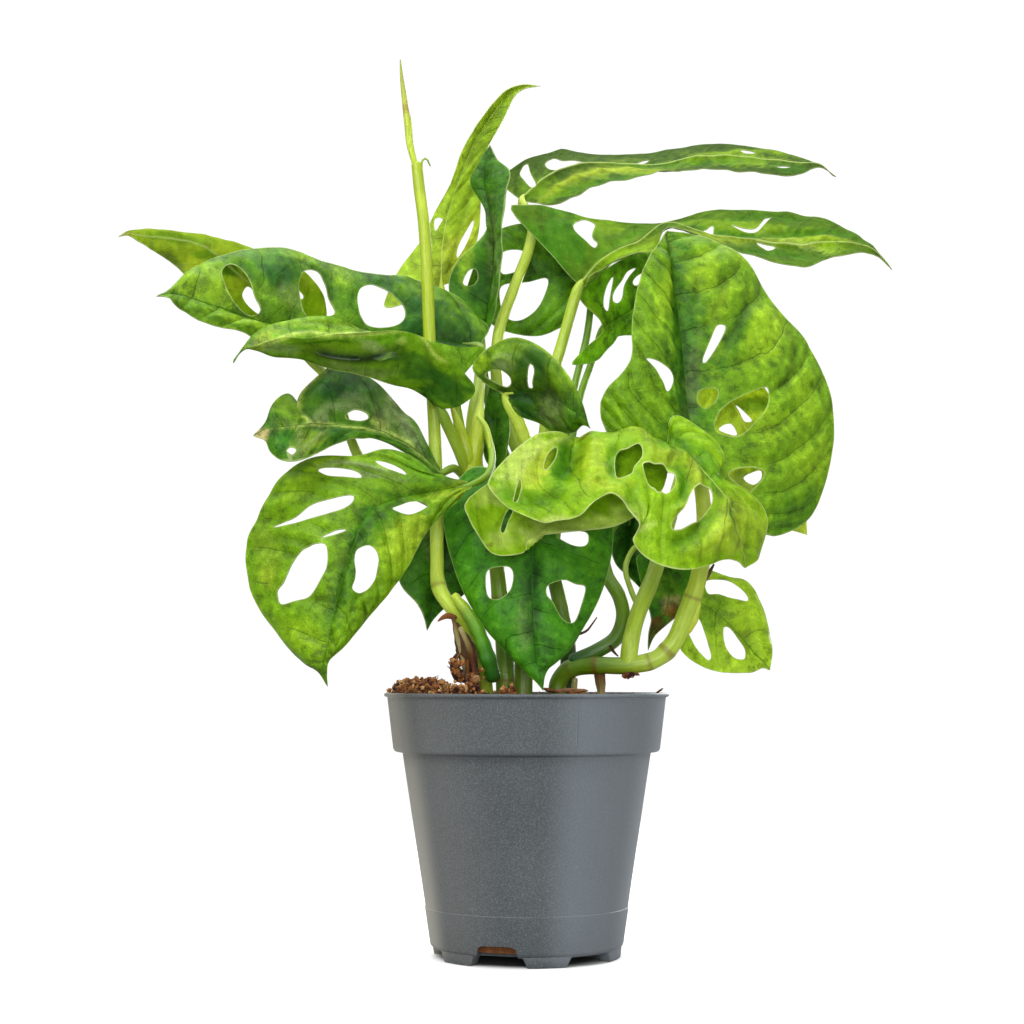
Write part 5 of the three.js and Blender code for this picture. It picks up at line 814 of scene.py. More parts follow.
        (-100, 230), (-96, 226)], 0.6, 1.0, 0.3)]),
    "leaf_low_left": Look(0x74A024, quilt=1.1, marks=[
        Mark(Tint.OLIVE, -108, 170, 5, 15, 0.5, 15), Mark(Tint.LEMON, -108, 160, 3, 5, 0.3),
        Mark(Tint.LIME, -92, 135, 8, 6, 0.6, -30), Mark(Tint.LEMON, -52, 177, 9, 10, 0.55, -40),
        Mark(Tint.LIME, -55, 170, 9, 12, 0.6, -35), Mark(Tint.FOREST, -74, 165, 4, 26, 0.6, -20),
        Mark(Tint.FOREST, -62, 186, 16, 5, 0.6, 32), Mark(Tint.LIME, -80, 210, 14, 3, 0.4, 6),
        Mark(Tint.LEMON, -31, 197, 9, 3, 0.5, 12), Mark(Tint.GRASS, -42, 204, 12, 5, 0.5, -25),
        Mark(Tint.SAGE, -71, 204, 16, 1.5, 0.6, -10), Mark(Tint.LIME, -94, 200, 12, 5, 0.4, 45)], creases=[
        Crease([(-83, 134), (-77, 165), (-72, 176), (-62, 187), (-37, 199)], 0.5, 1.0, 0.45),
        Crease([(-110, 176), (-98, 176), (-84, 168)], 0.7, 1.5, 0.3), Crease([(-106, 152), (-95, 152),
        (-82, 150)], 0.6, 1.4, 0.3), Crease([(-60, 158), (-68, 158), (-76, 164)], 0.6, 1.4, 0.35),
        Crease([(-88, 207), (-78, 209.3), (-65, 207), (-55, 203)], -0.8, 0.9, 0.85, Tint.SAGE)]),
    # GRASS and FOREST marks and creases paint the shade in its valleys, LEMON ones the highlights on its
    # ridges and rings, and the broad PALE marks low down lift the under flap that lies in shadow under the
    # arch.
    "leaf_front_curled": Look(0x90BE28, quilt=0.8, marks=[
        Mark(Tint.PALE, -3, 211, 6, 12, 0.75, -38), Mark(Tint.PALE, 12, 222.5, 8, 2, 0.6),
        Mark(Tint.LEMON, 5, 206, 5, 10, 0.8, -30), Mark(Tint.GRASS, 15, 209, 4, 9, 0.95, -14),
        Mark(Tint.LEMON, 29, 209, 8, 9, 0.5), Mark(Tint.GRASS, 36.5, 210, 2.6, 6, 0.7, 5),
        Mark(Tint.LEMON, 34, 199, 11, 3, 0.4, 5), Mark(Tint.GRASS, 63, 216, 14, 4, 0.55, -25),
        Mark(Tint.LEMON, 60, 211, 8, 2.4, 0.55, -20), Mark(Tint.GRASS, 66, 202, 2.6, 7, 0.75, 15),
        Mark(Tint.LEMON, 71, 203, 2, 8, 0.5, 20), Mark(Tint.LEMON, 88, 182, 13, 12, 0.45, -20),
        Mark(Tint.PALE, 18, 180, 28, 5.5, 0.85, 3), Mark(Tint.PALE, 42, 187, 7, 6, 0.8, 20),
        Mark(Tint.OLIVE, 40, 193.5, 6, 2.5, 0.6, 5), Mark(Tint.LEAF, -18, 184, 4, 7, 0.5, 15),
        Mark(Tint.PALE, -16, 194, 6, 4, 0.7, -10), Mark(Tint.PALE, -8, 176, 8, 4, 0.4),
        Mark(Tint.BROWN, 25, 219.3, 3, 0.5, 0.7, 5), Mark(Tint.GRASS, 78, 206, 3, 11, 0.6, 20),
        Mark(Tint.BROWN, -15.4, 174, 0.9, 0.9, 0.6), Mark(Tint.OLIVE, 46, 175, 3, 6, 0.4)], creases=[
        Crease([(-6, 196), (-4, 202), (2, 211), (10, 217.3), (20, 219.5)], -1.0, 1.0, 0.85, Tint.PALE),
        Crease([(21, 221), (19.5, 211), (13, 201)], 4.0, 4.0, 0.35, Tint.FOREST), Crease([(-16, 201),
        (-8, 196), (0, 193.4), (10, 194), (18, 199)], 2.2, 3.0, 0.65, Tint.GRASS), Crease([(39, 222),
        (49, 221), (52.5, 213), (50, 206)], -2.0, 2.0, 0.35, Tint.LEMON), Crease([(36, 217), (37, 210),
        (38, 203)], 2.4, 2.6, 0.4, Tint.GRASS), Crease([(56, 210), (64, 208), (68, 202), (65, 194),
        (58, 190)], 2.0, 1.8, 0.4, Tint.GRASS), Crease([(58, 214), (68, 211), (72.5, 202), (69, 192),
        (60, 187)], -1.8, 1.8, 0.4, Tint.LEMON), Crease([(45, 224), (58, 222), (68, 215), (75, 205)], 1.2,
        1.2, 0.55, Tint.FOREST), Crease([(50, 226), (63, 222), (73, 213), (79, 203)], 0.9, 0.9, 0.4,
        Tint.GRASS), Crease([(64, 172), (74, 174), (84, 182), (86, 196)], -2.4, 2.6, 0.4, Tint.LEMON),
        Crease([(58, 175), (66, 176), (74, 182), (80, 192)], 3.2, 3.0, 0.65, Tint.FOREST),
        Crease([(87, 193), (85.5, 186), (88, 180)], 1.6, 1.1, 0.75, Tint.FOREST), Crease([(94, 186),
        (94.5, 176), (93, 168)], 1.2, 1.6, 0.3, Tint.GRASS), Crease([(70, 199), (66, 188), (60, 182)], 1.0,
        1.4, 0.3), Crease([(-27, 192), (-22, 182), (-18, 172)], 1.2, 1.8, 0.35, Tint.GRASS),
        Crease([(-8, 190), (-14, 182), (-15, 172)], 1.4, 1.8, 0.4, Tint.LEAF), Crease([(-2, 186), (-5, 178),
        (-4, 171)], 1.0, 1.5, 0.35, Tint.LEAF), Crease([(47, 202), (44, 192), (46, 182)], 1.8, 2.2, 0.4,
        Tint.GRASS), Crease([(28, 224), (28, 214), (26, 202)], -1.6, 3.4, 0.0), Crease([(4, 184), (20, 180),
        (40, 183)], 0.8, 1.4, 0.3, Tint.LEAF)]),
    "leaf_front_low": Look(0x488208, quilt=1.0, marks=[
        Mark(Tint.GREY, 0, 140, 4, 10, 0.35), Mark(Tint.GRASS, 28, 168, 6, 10, 0.4),
        Mark(Tint.FOREST, -20, 170, 8, 14, 0.4), Mark(Tint.GRASS, -22, 156, 5, 6, 0.3),
        Mark(Tint.DARK, 3, 152, 3, 22, 0.5)], creases=[
        Crease([(3, 180), (3.2, 150), (4, 122)], 0.4, 0.7, 0.4)]),
    # Its tone is the leaf's own yellow-green made paler, as painted light that lifts the shade cast by the
    # leaf in front.
    "leaf_right_back": Look(0xCCE460, quilt=0.8, marks=[
        Mark(Tint.SAGE, 94, 201, 8, 5, 0.6), Mark(Tint.GRASS, 98, 233, 9, 3, 0.5)]),
    "leaf_low_right": Look(0xA4CC34, quilt=0.8, marks=[
        Mark(Tint.GRASS, 78, 146, 8, 10, 0.5), Mark(Tint.LIME, 96, 146, 8, 12, 0.5)]),
    "leaf_low_right_back": Look(0x4F8A1C, quilt=0.5, marks=[
        Mark(Tint.LEAF, 58, 157, 8, 5, 0.5), Mark(Tint.STRAW, 60, 149, 4, 3, 0.9, 30),
        Mark(Tint.RUST, 61, 146, 3, 3), Mark(Tint.DARK, 53, 144, 3, 4),
        Mark(Tint.BROWN, 55, 139, 4, 4, 0.8), Mark(Tint.BARK, 52, 133, 2, 6, 0.8)]),
    "leaf_back_low": Look(0x3F6E14, quilt=0.5),
    "leaf_low_left_dark": Look(0x477A1C, quilt=0.8, marks=[
        Mark(Tint.GREY, -40, 172, 4, 6, 0.5, 30), Mark(Tint.DARK, -30, 176, 8, 8, 0.5)]),
    "leaf_centre_small": Look(0x4A7A1A, quilt=0.4),
}

# Light that the studio throws on an upright surface, and the share of it that gloss adds
STUDIO_LIGHT = 1.2
GLOSS_SHARE = 0.022


# Arithmetic on curves and places


def linear(code: int) -> Array:
    """Linear light of a screen colour.

    Args:
        code: Colour as 0xRRGGBB.

    Returns:
        Red, green and blue, from 0 to 1.
    """
    channels = np.array([code >> 16, code >> 8 & 255, code & 255]) / 255
    return np.where(channels <= 0.04045, channels / 12.92, ((channels + 0.055) / 1.055) ** 2.4)


def pigment(code: int) -> Array:
    """Linear colour that a surface needs to look like a screen colour in the studio's light."""
    return np.maximum(linear(code) - GLOSS_SHARE, 0.002) / STUDIO_LIGHT


def smooth(value: Array) -> Array:
    """Smooth step of values from 0 to 1."""
    held = np.clip(value, 0, 1)
    return held * held * (3 - 2 * held)


def size_of(rows: Array) -> Array:
    """Length of each row of an array."""
    return np.linalg.norm(rows, axis=-1)


def passed_along(line: Array) -> Array:
    """Distance passed at each place of a line."""
    return np.concatenate([[0], np.cumsum(size_of(np.diff(line, axis=0)))])


def taken_at(line: Array, marks: Array, wanted: Array) -> Array:
    """Places of a line at wanted marks, where each of its places has a mark."""
    return np.stack([np.interp(wanted, marks, values) for values in line.T], 1)


def with_ends(points: Array) -> Array:
    """Points with one more at each end, straight on from the last two."""
    return np.concatenate([2 * points[:1] - points[1:2], points, 2 * points[-1:] - points[-2:-1]])


def ripple(places: Array, size: float, seed: int) -> Array:
    """Seeded waves in several directions.

    Args:
        places: Places, one in each row.
        size: Usual length of a wave, in the unit of the places.
        seed: Seed of the directions.

    Returns:
        One value a place, mostly from -1 to 1.
    """
    rng = np.random.default_rng(seed)
    waves = 6
    total = np.zeros(len(places))
    for _ in range(waves):
        direction = rng.normal(size=places.shape[1])
        direction *= 2 * math.pi / (size * rng.uniform(0.7, 1.6) * size_of(direction))
        total += np.sin(places @ direction + rng.uniform(0, 2 * math.pi))
    return total * 1.6 / waves


def cubic(before: Array, here: Array, there: Array, after: Array, share: Array) -> Array:
    """Smooth curve between two points, with one more on each side.

    Args:
        before: Point before the stretch.
        here: Start of the stretch.
        there: End of the stretch.
        after: Point after the stretch.
        share: Share of the stretch that is passed, from 0 to 1.

    Returns:
        Points on the curve.
    """
    slope = (there - before) / 2
    onward = (after - here) / 2
    rise = there - here
    return here + share * (slope + share * (3 * rise - 2 * slope - onward
                                            + share * (slope + onward - 2 * rise)))


def curve(points: Array, places: Array) -> Array:
    """Smooth curve through points.

    Args:
        points: Points to pass through, at least two.
        places: Places along the curve, counted in points.

    Returns:
        One point a place.
    """
    padded = with_ends(points)
    first = np.clip(np.floor(places).astype(int), 0, len(points) - 2)
    share = (places - first).reshape(-1, *[1] * (points.ndim - 1))
    return cubic(*(padded[first + k] for k in range(4)), share)


def route_curve(points: Array, step: float) -> Array:
    """Evenly spaced places on a smooth route that doesn't swing wide at uneven points.

    Args:
        points: Points that the route passes through.
        step: Distance between places, about.

    Returns:
        The places.
    """
    padded = with_ends(points)
    gaps = np.maximum(np.sqrt(size_of(np.diff(padded, axis=0))), 1e-3)
    share = np.linspace(0, 1, 33)[:, None]
    dense = [points[:1]]
    for i in range(len(points) - 1):
        before, here, there, after = padded[i:i + 4]
        first, middle, last = gaps[i:i + 3]
        leave = (here - before) / first - (there - before) / (first + middle) + (there - here) / middle
        arrive = (there - here) / middle - (after - here) / (middle + last) + (after - there) / last
        leave, arrive = leave * middle, arrive * middle
        bend = 3 * (there - here) - 2 * leave - arrive
        twist = 2 * (here - there) + leave + arrive
        dense.append((here + share * (leave + share * (bend + share * twist)))[1:])
    line = np.concatenate(dense)
    passed = passed_along(line)
    count = max(3, round(passed[-1] / step) + 1)
    return taken_at(line, passed, np.linspace(0, passed[-1], count))


def spread(values: Array, share: Array) -> Array:
    """Rows of values set evenly along a line, at shares of its length."""
    return curve(values, share * (len(values) - 1))


def closed_curve(points: Array, step: float) -> Array:
    """Evenly spaced places on a smooth loop.

    Args:
        points: Points that the loop passes through, in order.
        step: Distance between places, about.

    Returns:
        The places, without the first one again at the end.
    """
    share = np.linspace(0, 1, 12, endpoint=False)[:, None]
    around = [np.roll(points, shift, axis=0) for shift in (1, 0, -1, -2)]
    dense = np.concatenate([cubic(*(side[i] for side in around), share) for i in range(len(points))])
    dense = np.concatenate([dense, dense[:1]])
    passed = passed_along(dense)
    count = max(6, round(passed[-1] / step))
    return taken_at(dense, passed, np.linspace(0, passed[-1], count, endpoint=False))


def inside(loop: Array, spots: Array) -> Array:
    """Which spots lie inside a closed loop.

    Args:
        loop: Corners of the loop.
        spots: Spots to test.

    Returns:
        One truth value a spot.
    """
    odd = np.zeros(len(spots), bool)
    x, y = spots.T
    for (px, py), (qx, qy) in zip(loop, np.roll(loop, -1, axis=0)):
        if py != qy:
            odd ^= ((py > y) != (qy > y)) & (x < px + (y - py) / (qy - py) * (qx - px))
    return odd


def nearest(spots: Array, others: Array) -> Array:
    """Distance from each spot to the nearest of some others."""
    parts = np.array_split(spots, max(1, len(spots) // 1500))
    return np.concatenate([size_of(part[:, None] - others[None]).min(1) for part in parts])


@dataclass(frozen=True)
class View:
    """Photograph's viewpoint, in millimetres.

    Attributes:
        eye: Place of the camera.
        eye_up: Height in the view that the camera's level line passes at.
        tilt: How far the camera looks up, in radians.
        lens: Focal length for a sensor 36 mm wide.
    """

    eye: Point = (-6.15, -850.0, 116.3)
    eye_up: float = 118.7
    tilt: float = math.radians(4.68)
    lens: float = 70.49

    def place(self, traced: Array) -> Array:
        """Places in space of traced points.

        Args:
            traced: Points as across, up and depth, one in each row.

        Returns:
            Places in millimetres.
        """
        across, up, depth = traced.T
        reach = -self.eye[1]
        aside = (across - self.eye[0]) / reach
        above = (up - self.eye_up) / reach - math.tan(self.tilt)
        ahead = math.cos(self.tilt) - above * math.sin(self.tilt)
        rise = math.sin(self.tilt) + above * math.cos(self.tilt)
        sight = np.stack([aside / ahead, np.ones_like(ahead), rise / ahead], 1)
        return sight * (depth + reach)[:, None] + self.eye


VIEW = View()


# Leaf blades


@dataclass
class Sheet:
    """Flat layout of a blade.

    Attributes:
        along: Row that each corner lies at.
        side: Side of each corner, from -1 at the left margin to 1 at the right one.
        flat: Flat place of each corner, in millimetres.
        edge: Distance from each corner to the nearest margin or hole.
        faces: Triangles, as corners.
    """

    along: Array
    side: Array
    flat: Array
    edge: Array
    faces: Array


class Blade:
    """Surface of one leaf, reached by rows along it and by side from -1 to 1 across it.

    Lengths are in millimetres.

    Attributes:
        STEP: Usual gap between corners of the mesh.
        VEIN_GAP: Usual gap between side veins.
        VEIN_SWEEP: How far a side vein sweeps forward, as a share of the half width.
        THICKNESS: Thickness of the flesh.
        BASE_CORNER: Rows and sides of the places round the corner at the base.
        RIB_LINES: Distances from the rib of the lines of corners beside it.
        GRID: Gap of the other corners, in steps.
        GRID_START: Distance from the rib at which those start.
        SWELL_WIDTH: Share of the half width over which the halves swell fully.
        FULL_QUILT: Half width over which the flesh between side veins swells fully.
        RUFFLE: Depth and length of the waves at the margin.
        DIMPLE: Depth and length of the small waves all over.
        CREASE_STEP: Gap between places on a crease.
        RIB_GROOVE: Depth of the groove over the rib.
        RIB_RIDGE: Height of the ridge under the rib at the tip, and what it gains at the base.
    """

    STEP = 0.95
    VEIN_GAP = 12.5
    VEIN_SWEEP = 0.6
    THICKNESS = 0.6
    BASE_CORNER = ((0, 0), (0, 0.4), (0, 0.8), (0.05, 0.92), (0.16, 0.985), (0.3, 1))
    RIB_LINES = (0.8, -0.8, 1.7, -1.7)
    GRID = 1.08
    GRID_START = 2.3
    SWELL_WIDTH = 0.55
    FULL_QUILT = 25.0
    RUFFLE = (0.5, 20)
    DIMPLE = (0.22, 8)
    CREASE_STEP = 0.6
    RIB_GROOVE = 0.25
    RIB_RIDGE = (0.15, 1.0)

    def __init__(self, leaf: Leaf, look: Look) -> None:
        """Measures the blade.

        Args:
            leaf: The traced leaf.
            look: Its colour and fine folds.
        """
        self.leaf = leaf
        self.look = look
        self.rows = np.array([self.five_across(row) for row in leaf.rows], float)
        self.length = float(len(leaf.rows) - 1)
        stations = np.arange(self.length + 1)
        rib = self.cage(stations, 0 * stations)
        steps = np.maximum(size_of(np.diff(rib, axis=0)), 1)
        passed = np.concatenate([[0], np.cumsum(steps)])
        middle = self.normal(np.array([self.length / 2]), np.zeros(1))
        self.facing = 1 if middle[0, 1] < 0 else -1
        self.upper = -self.facing if look.shows_under else self.facing
        self.table = np.linspace(0, self.length, 401)
        self.reach = np.maximum.accumulate(curve(passed[:, None], self.table)[:, 0])
        ones = np.ones_like(self.table)
        centre = self.cage(self.table, 0 * ones)
        self.spans = [size_of(self.cage(self.table, side * ones) - centre) for side in (LEFT, RIGHT)]
        self.width = (self.spans[0] + self.spans[1]) / 2
        self.row_gap = passed[-1] / self.length
        self.sweep = min(self.VEIN_SWEEP * self.width.max() / self.row_gap, 0.42 * self.length)
        self.holes = [self.hole_loop(hole) for hole in leaf.holes]
        self.knots = {half: self.vein_knots(half) for half in (LEFT, RIGHT)}

    @staticmethod
    def five_across(row: list[Point]) -> Array:
        """Row of five points, whatever the traced row holds.

        Args:
            row: Traced row of one, three or five points.

        Returns:
            The five points.
        """
        points = np.array(row, float)
        if len(points) == 1:
            return np.repeat(points, 5, axis=0)
        if len(points) == 5:
            return points
        halves = (points[:-1] + points[1:]) / 2
        return np.stack([points[0], halves[0], points[1], halves[1], points[2]])

    def traced(self, along: Array, side: Array) -> Array:
        """Traced points at places on the blade.

        Args:
            along: Row of each place.
            side: Side of each place.

        Returns:
            Points as across, up and depth.
        """
        padded = with_ends(curve(self.rows, along).swapaxes(0, 1)).swapaxes(0, 1)
        place = 2 + 2 * side
        start = np.clip(np.floor(place).astype(int), 0, 3)
        pick = np.arange(len(place))
        return cubic(*(padded[pick, start + k] for k in range(4)), (place - start)[:, None])

    def cage(self, along: Array, side: Array) -> Array:
        """Places in space on the traced surface."""
        return VIEW.place(self.traced(along, side))

    def normal(self, along: Array, side: Array) -> Array:
        """Direction square to the traced surface.

        Args:
            along: Row of each place.
            side: Side of each place.

        Returns:
            One unit vector a place.
        """
        d = 0.02
        back = np.maximum(along - d, 0)
        front = np.maximum(np.minimum(along + d, self.length - d), back + d)
        lengthways = self.cage(front, side) - self.cage(back, side)
        near = np.minimum(along, self.length - 5 * d)
        crossways = self.cage(near, np.minimum(side + d, 1)) - self.cage(near, np.maximum(side - d, -1))
        square = np.cross(crossways, lengthways)
        return square / np.maximum(size_of(square), 1e-9)[:, None]

    def flat(self, along: Array, side: Array) -> Array:
        """Places on a flat copy of the blade."""
        u = np.interp(along, self.table, self.reach)
        return np.stack([u, side * np.interp(along, self.table, self.width)], 1)

    def unflat(self, spots: Array) -> tuple[Array, Array]:
        """Row and side of flat places.

        Args:
            spots: Places on the flat copy.

        Returns:
            Their rows and their sides.
        """
        along = np.interp(spots[:, 0], self.reach, self.table)
        width = np.maximum(np.interp(along, self.table, self.width), 1e-6)
        return along, np.clip(spots[:, 1] / width, -1, 1)

    def find(self, spots: Array, half: int) -> Array:
        """Row and side of points of the front view.

        Args:
            spots: Across and up, one point in each row.
            half: Side of the rib that they lie on.

        Returns:
            Row and side, in one row a point.
        """
        along, share = np.meshgrid(np.arange(0, self.length + 0.01, 0.25), np.arange(0.1, 0.95, 0.1))
        trial = np.stack([along.ravel(), half * share.ravel()], 1)
        seen = self.traced(*trial.T)[:, :2]
        best = trial[size_of(spots[:, None] - seen[None]).argmin(1)]
        least = size_of(self.traced(*best.T)[:, :2] - spots)
        step = 0.125
        while step > 0.002:
            for move in ((step, 0), (-step, 0), (0, step), (0, -step)):
                trial = best + move
                trial[:, 0] = np.clip(trial[:, 0], 0, self.length)
                trial[:, 1] = half * np.clip(half * trial[:, 1], 0.04, 0.96)
                miss = size_of(self.traced(*trial.T)[:, :2] - spots)
                better = miss < least
                best[better], least[better] = trial[better], miss[better]
            step /= 1.6
        return best

    def hole_loop(self, hole: Hole) -> Array:
        """Flat outline of a hole."""
        found = self.find(np.array(hole.outline, float), hole.half)
        return closed_curve(self.flat(*found.T), self.STEP)

    def vein_start(self, along: Array, side: Array) -> Array:
        """Where the side vein through a place leaves the rib.

        Args:
            along: Row of each place.
            side: Side of each place.

        Returns:
            Row at the rib.
        """
        out = np.abs(side)
        narrow = np.interp(along, self.table, self.width) / (0.4 * self.width.max())
        sweep = self.sweep * out * (0.6 + 0.4 * out) * np.minimum(1, narrow)
        return (along - sweep) / (1 - sweep / self.length)

    def vein_knots(self, half: int) -> tuple[Array, Array]:
        """Counts the side veins of one half, which pass between its holes.

        Args:
            half: Side of the rib.

        Returns:
            Vein starts, in rows, and the count of veins there. A hole lies at a half count.
        """
        gap = self.VEIN_GAP / self.row_gap
        middles = []
        for hole, loop in zip(self.leaf.holes, self.holes):
            if hole.half == half:
                middles.append(float(self.vein_start(*self.unflat(loop)).mean()))
        starts, counts = [], []
        for middle in sorted(middles) or [0.0]:
            if not starts:
                starts.append(middle)
                counts.append(0.5)
            elif middle - starts[-1] > 0.45 * gap:
                counts.append(counts[-1] + max(1, round((middle - starts[-1]) / gap)))
                starts.append(middle)
        far = 40
        starts = [starts[0] - far * gap, *starts, starts[-1] + far * gap]
        counts = [counts[0] - far, *counts, counts[-1] + far]
        return np.array(starts), np.array(counts)

    def veins(self, along: Array, side: Array, half: Array) -> Array:
        """Count of side veins passed at places, where a whole number is a vein."""
        start = self.vein_start(along, side)
        return np.where(half < 0, *(np.interp(start, *self.knots[each]) for each in (LEFT, RIGHT)))

    def margin(self) -> tuple[Array, int]:
        """Outline of the blade, with the corners of its base rounded.

        Returns:
            Row and side in one row a point, and the number of the point at the tip.
        """
        rows = np.arange(0.33, self.length, 0.03)
        edge = np.stack([rows, np.ones_like(rows)], 1)
        track = np.concatenate([self.BASE_CORNER, edge, [[self.length, 1]]])
        passed = passed_along(self.flat(*track.T))
        right = taken_at(track, passed, np.linspace(0, passed[-1], round(passed[-1] / self.STEP) + 1))
        left = right[-2:0:-1] * (1, -1)
        return np.concatenate([right, left]), len(right) - 1

    def spine(self) -> Array:
        """Flat places along the rib, from near the base to near the tip."""
        return np.arange(self.STEP, self.reach[-1] - 0.7 * self.STEP, self.STEP)

    def fill(self, spine: Array) -> Array:
        """Flat places beside the rib and in a grid over the rest of the blade.

        Args:
            spine: Places along the rib.

        Returns:
            The places, some of them past the margin.
        """
        width = np.interp(spine, self.reach, self.width)
        rows = [np.stack([spine, offset + 0 * spine], 1)[width > abs(offset) + 1.5]
                for offset in self.RIB_LINES]
        gap = self.STEP * self.GRID
        v = np.arange(-self.width.max(), self.width.max(), gap * math.sqrt(3) / 2)
        grid = np.stack(np.meshgrid(np.arange(0, self.reach[-1], gap), v), 2)
        grid[::2, :, 0] += self.STEP * self.GRID / 2
        grid = grid.reshape(-1, 2)
        return np.concatenate([*rows, grid[np.abs(grid[:, 1]) > self.GRID_START]])

    def lay_out(self) -> Sheet:
        """Flat triangles that keep to the margin, the holes and the rib.

        Returns:
            The layout.
        """
        outline, tip = self.margin()
        loops = [self.flat(*outline.T), *self.holes]
        spine = self.spine()
        rim = np.concatenate(loops)
        inner = self.fill(spine)
        free = inside(loops[0], inner) & (nearest(inner, rim) > 0.55 * self.STEP)
        for loop in loops[1:]:
            free &= ~inside(loop, inner)
        spots = np.concatenate([rim, np.stack([spine, 0 * spine], 1), inner[free]])
        edges, start = [], 0
        for loop in loops:
            edges += [(start + i, start + (i + 1) % len(loop)) for i in range(len(loop))]
            start += len(loop)
        chain = [0, *range(start, start + len(spine)), tip]
        edges += list(zip(chain, chain[1:]))
        placed, _, faces, origin, _, _ = delaunay_2d_cdt([Vector(p) for p in spots], edges, [], 0, 1e-5)
        flat = np.array(placed)
        faces = np.array(faces)
        centres = flat[faces].mean(1)
        kept = inside(loops[0], centres)
        for loop in loops[1:]:
            kept &= ~inside(loop, centres)
        used, faces = np.unique(faces[kept], return_inverse=True)
        faces = faces.reshape(-1, 3)
        flat = flat[used]
        along, side = self.unflat(flat)
        for i, corner in enumerate(used):
            if origin[corner] and origin[corner][0] < len(outline):
                along[i], side[i] = outline[origin[corner][0]]
        return Sheet(along, side, flat, nearest(flat, rim), faces)

    def relief(self, sheet: Sheet, half: Array) -> Array:
        """Height of the blade's own shape over the traced surface.

        Args:
            sheet: Layout of the blade.
            half: Half that each corner counts its veins on.

        Returns:
            Height towards the viewer, in millimetres.
        """
        taper = np.minimum(1, (self.length - sheet.along) / 2)
        spans = [np.interp(sheet.along, self.table, span) for span in self.spans]
        broad = np.minimum(1, np.where(sheet.side < 0, *spans) / (self.SWELL_WIDTH * self.width.max()))
        swell = self.leaf.bulge * taper * broad * (1 - (2 * np.abs(sheet.side) - 1) ** 2)
        count = self.veins(sheet.along, sheet.side, half)
        between = np.abs(np.sin(np.pi * count)) ** 0.75
        from_rib = smooth(np.abs(sheet.flat[:, 1]) / 6)
        from_edge = 0.3 + 0.7 * smooth(sheet.edge / 7)
        depth = self.look.quilt * min(1, self.width.max() / self.FULL_QUILT) * self.upper * self.facing
        quilt = depth * between * from_rib * from_edge
        seed = sum(map(ord, self.leaf.name))
        ruffle = self.RUFFLE[0] * np.abs(sheet.side) ** 3 * ripple(sheet.flat, self.RUFFLE[1], seed)
        dimple = self.DIMPLE[0] * ripple(sheet.flat, self.DIMPLE[1], seed + 1)
        height = swell + quilt + ruffle + dimple
        for crease, off, left in self.strokes(sheet):
            height -= crease.depth * left * np.exp(-(off / crease.width) ** 2)
        return height

    def strokes(self, sheet: Sheet) -> list[tuple[Crease, Array, Array]]:
        """Reach of each crease.

        Args:
            sheet: Layout of the blade.

        Returns:
            Each crease with the distance of every corner from it and how much of it is left there.
        """
        seen = self.traced(sheet.along, sheet.side)[:, :2]
        found = []
        for crease in self.look.creases:
            line = route_curve(np.array(crease.route, float), self.CREASE_STEP)
            ends = np.minimum(np.linspace(0, 1, len(line)), np.linspace(1, 0, len(line)))
            left = np.minimum(1, 4 * ends + 0.15)
            gaps = size_of(seen[:, None] - line[None])
            closest = gaps.argmin(1)
            found.append((crease, gaps[np.arange(len(seen)), closest], left[closest]))
        return found

    def corners(self, sheet: Sheet) -> tuple[Array, Array]:
        """Corners of both faces.

        Args:
            sheet: Layout of the blade.

        Returns:
            Corners of the upper face and of the under face, in millimetres.
        """
        square = self.normal(sheet.along, sheet.side)
        v = sheet.flat[:, 1]
        height = self.relief(sheet, np.sign(v)) * self.facing
        middle = self.cage(sheet.along, sheet.side) + square * height[:, None]
        up = square * self.upper
        thick = self.THICKNESS * (0.6 + 0.4 * smooth(sheet.edge / 3)) / 2
        groove = self.RIB_GROOVE * np.exp(-(v / 0.9) ** 2) * smooth(sheet.edge / 2)
        left_over = 1 - sheet.along / self.length
        thin, more = self.RIB_RIDGE
        ridge = (thin + more * left_over ** 0.8) * np.exp(-(v / (0.6 + 0.7 * left_over)) ** 2)
        ridge *= smooth(sheet.edge / 1.5)
        upper = middle + up * (thick - groove)[:, None]
        under = middle - up * (thick + ridge)[:, None]
        return upper, under

    def tints(self, sheet: Sheet) -> Array:
        """Linear colour of each corner, with the painted light and shade that the marks and creases hold.

        Args:
            sheet: Layout of the blade.

        Returns:
            The colours.
        """
        seen = self.traced(sheet.along, sheet.side)[:, :2]
        colours = np.repeat(pigment(self.look.tone)[None], len(seen), axis=0)
        wander = 0.35 * ripple(sheet.flat, 9, 7) + 0.25 * ripple(sheet.flat, 3.5, 8)
        for mark in self.look.marks:
            turn = math.radians(mark.turn)
            x, z = (seen - (mark.across, mark.up)).T
            far = np.hypot((x * math.cos(turn) + z * math.sin(turn)) / mark.wide,
                           (z * math.cos(turn) - x * math.sin(turn)) / mark.high)
            share = mark.share * smooth((1.4 - far + wander) / 0.8)
            colours += share[:, None] * (pigment(mark.tint.value) - colours)
        # Creases colour the fold: untinted ones darken it and dark tints paint the shade in it; pale tints
        # paint the highlight on a raised fold, or a pale margin or rib.
        for crease, off, left in self.strokes(sheet):
            share = crease.shade * left * np.exp(-(off / (1.3 * crease.width)) ** 2)
            goal = colours * 0.3 if crease.tint is None else pigment(crease.tint.value)
            colours += share[:, None] * (goal - colours)
        return colours


# Shader trees


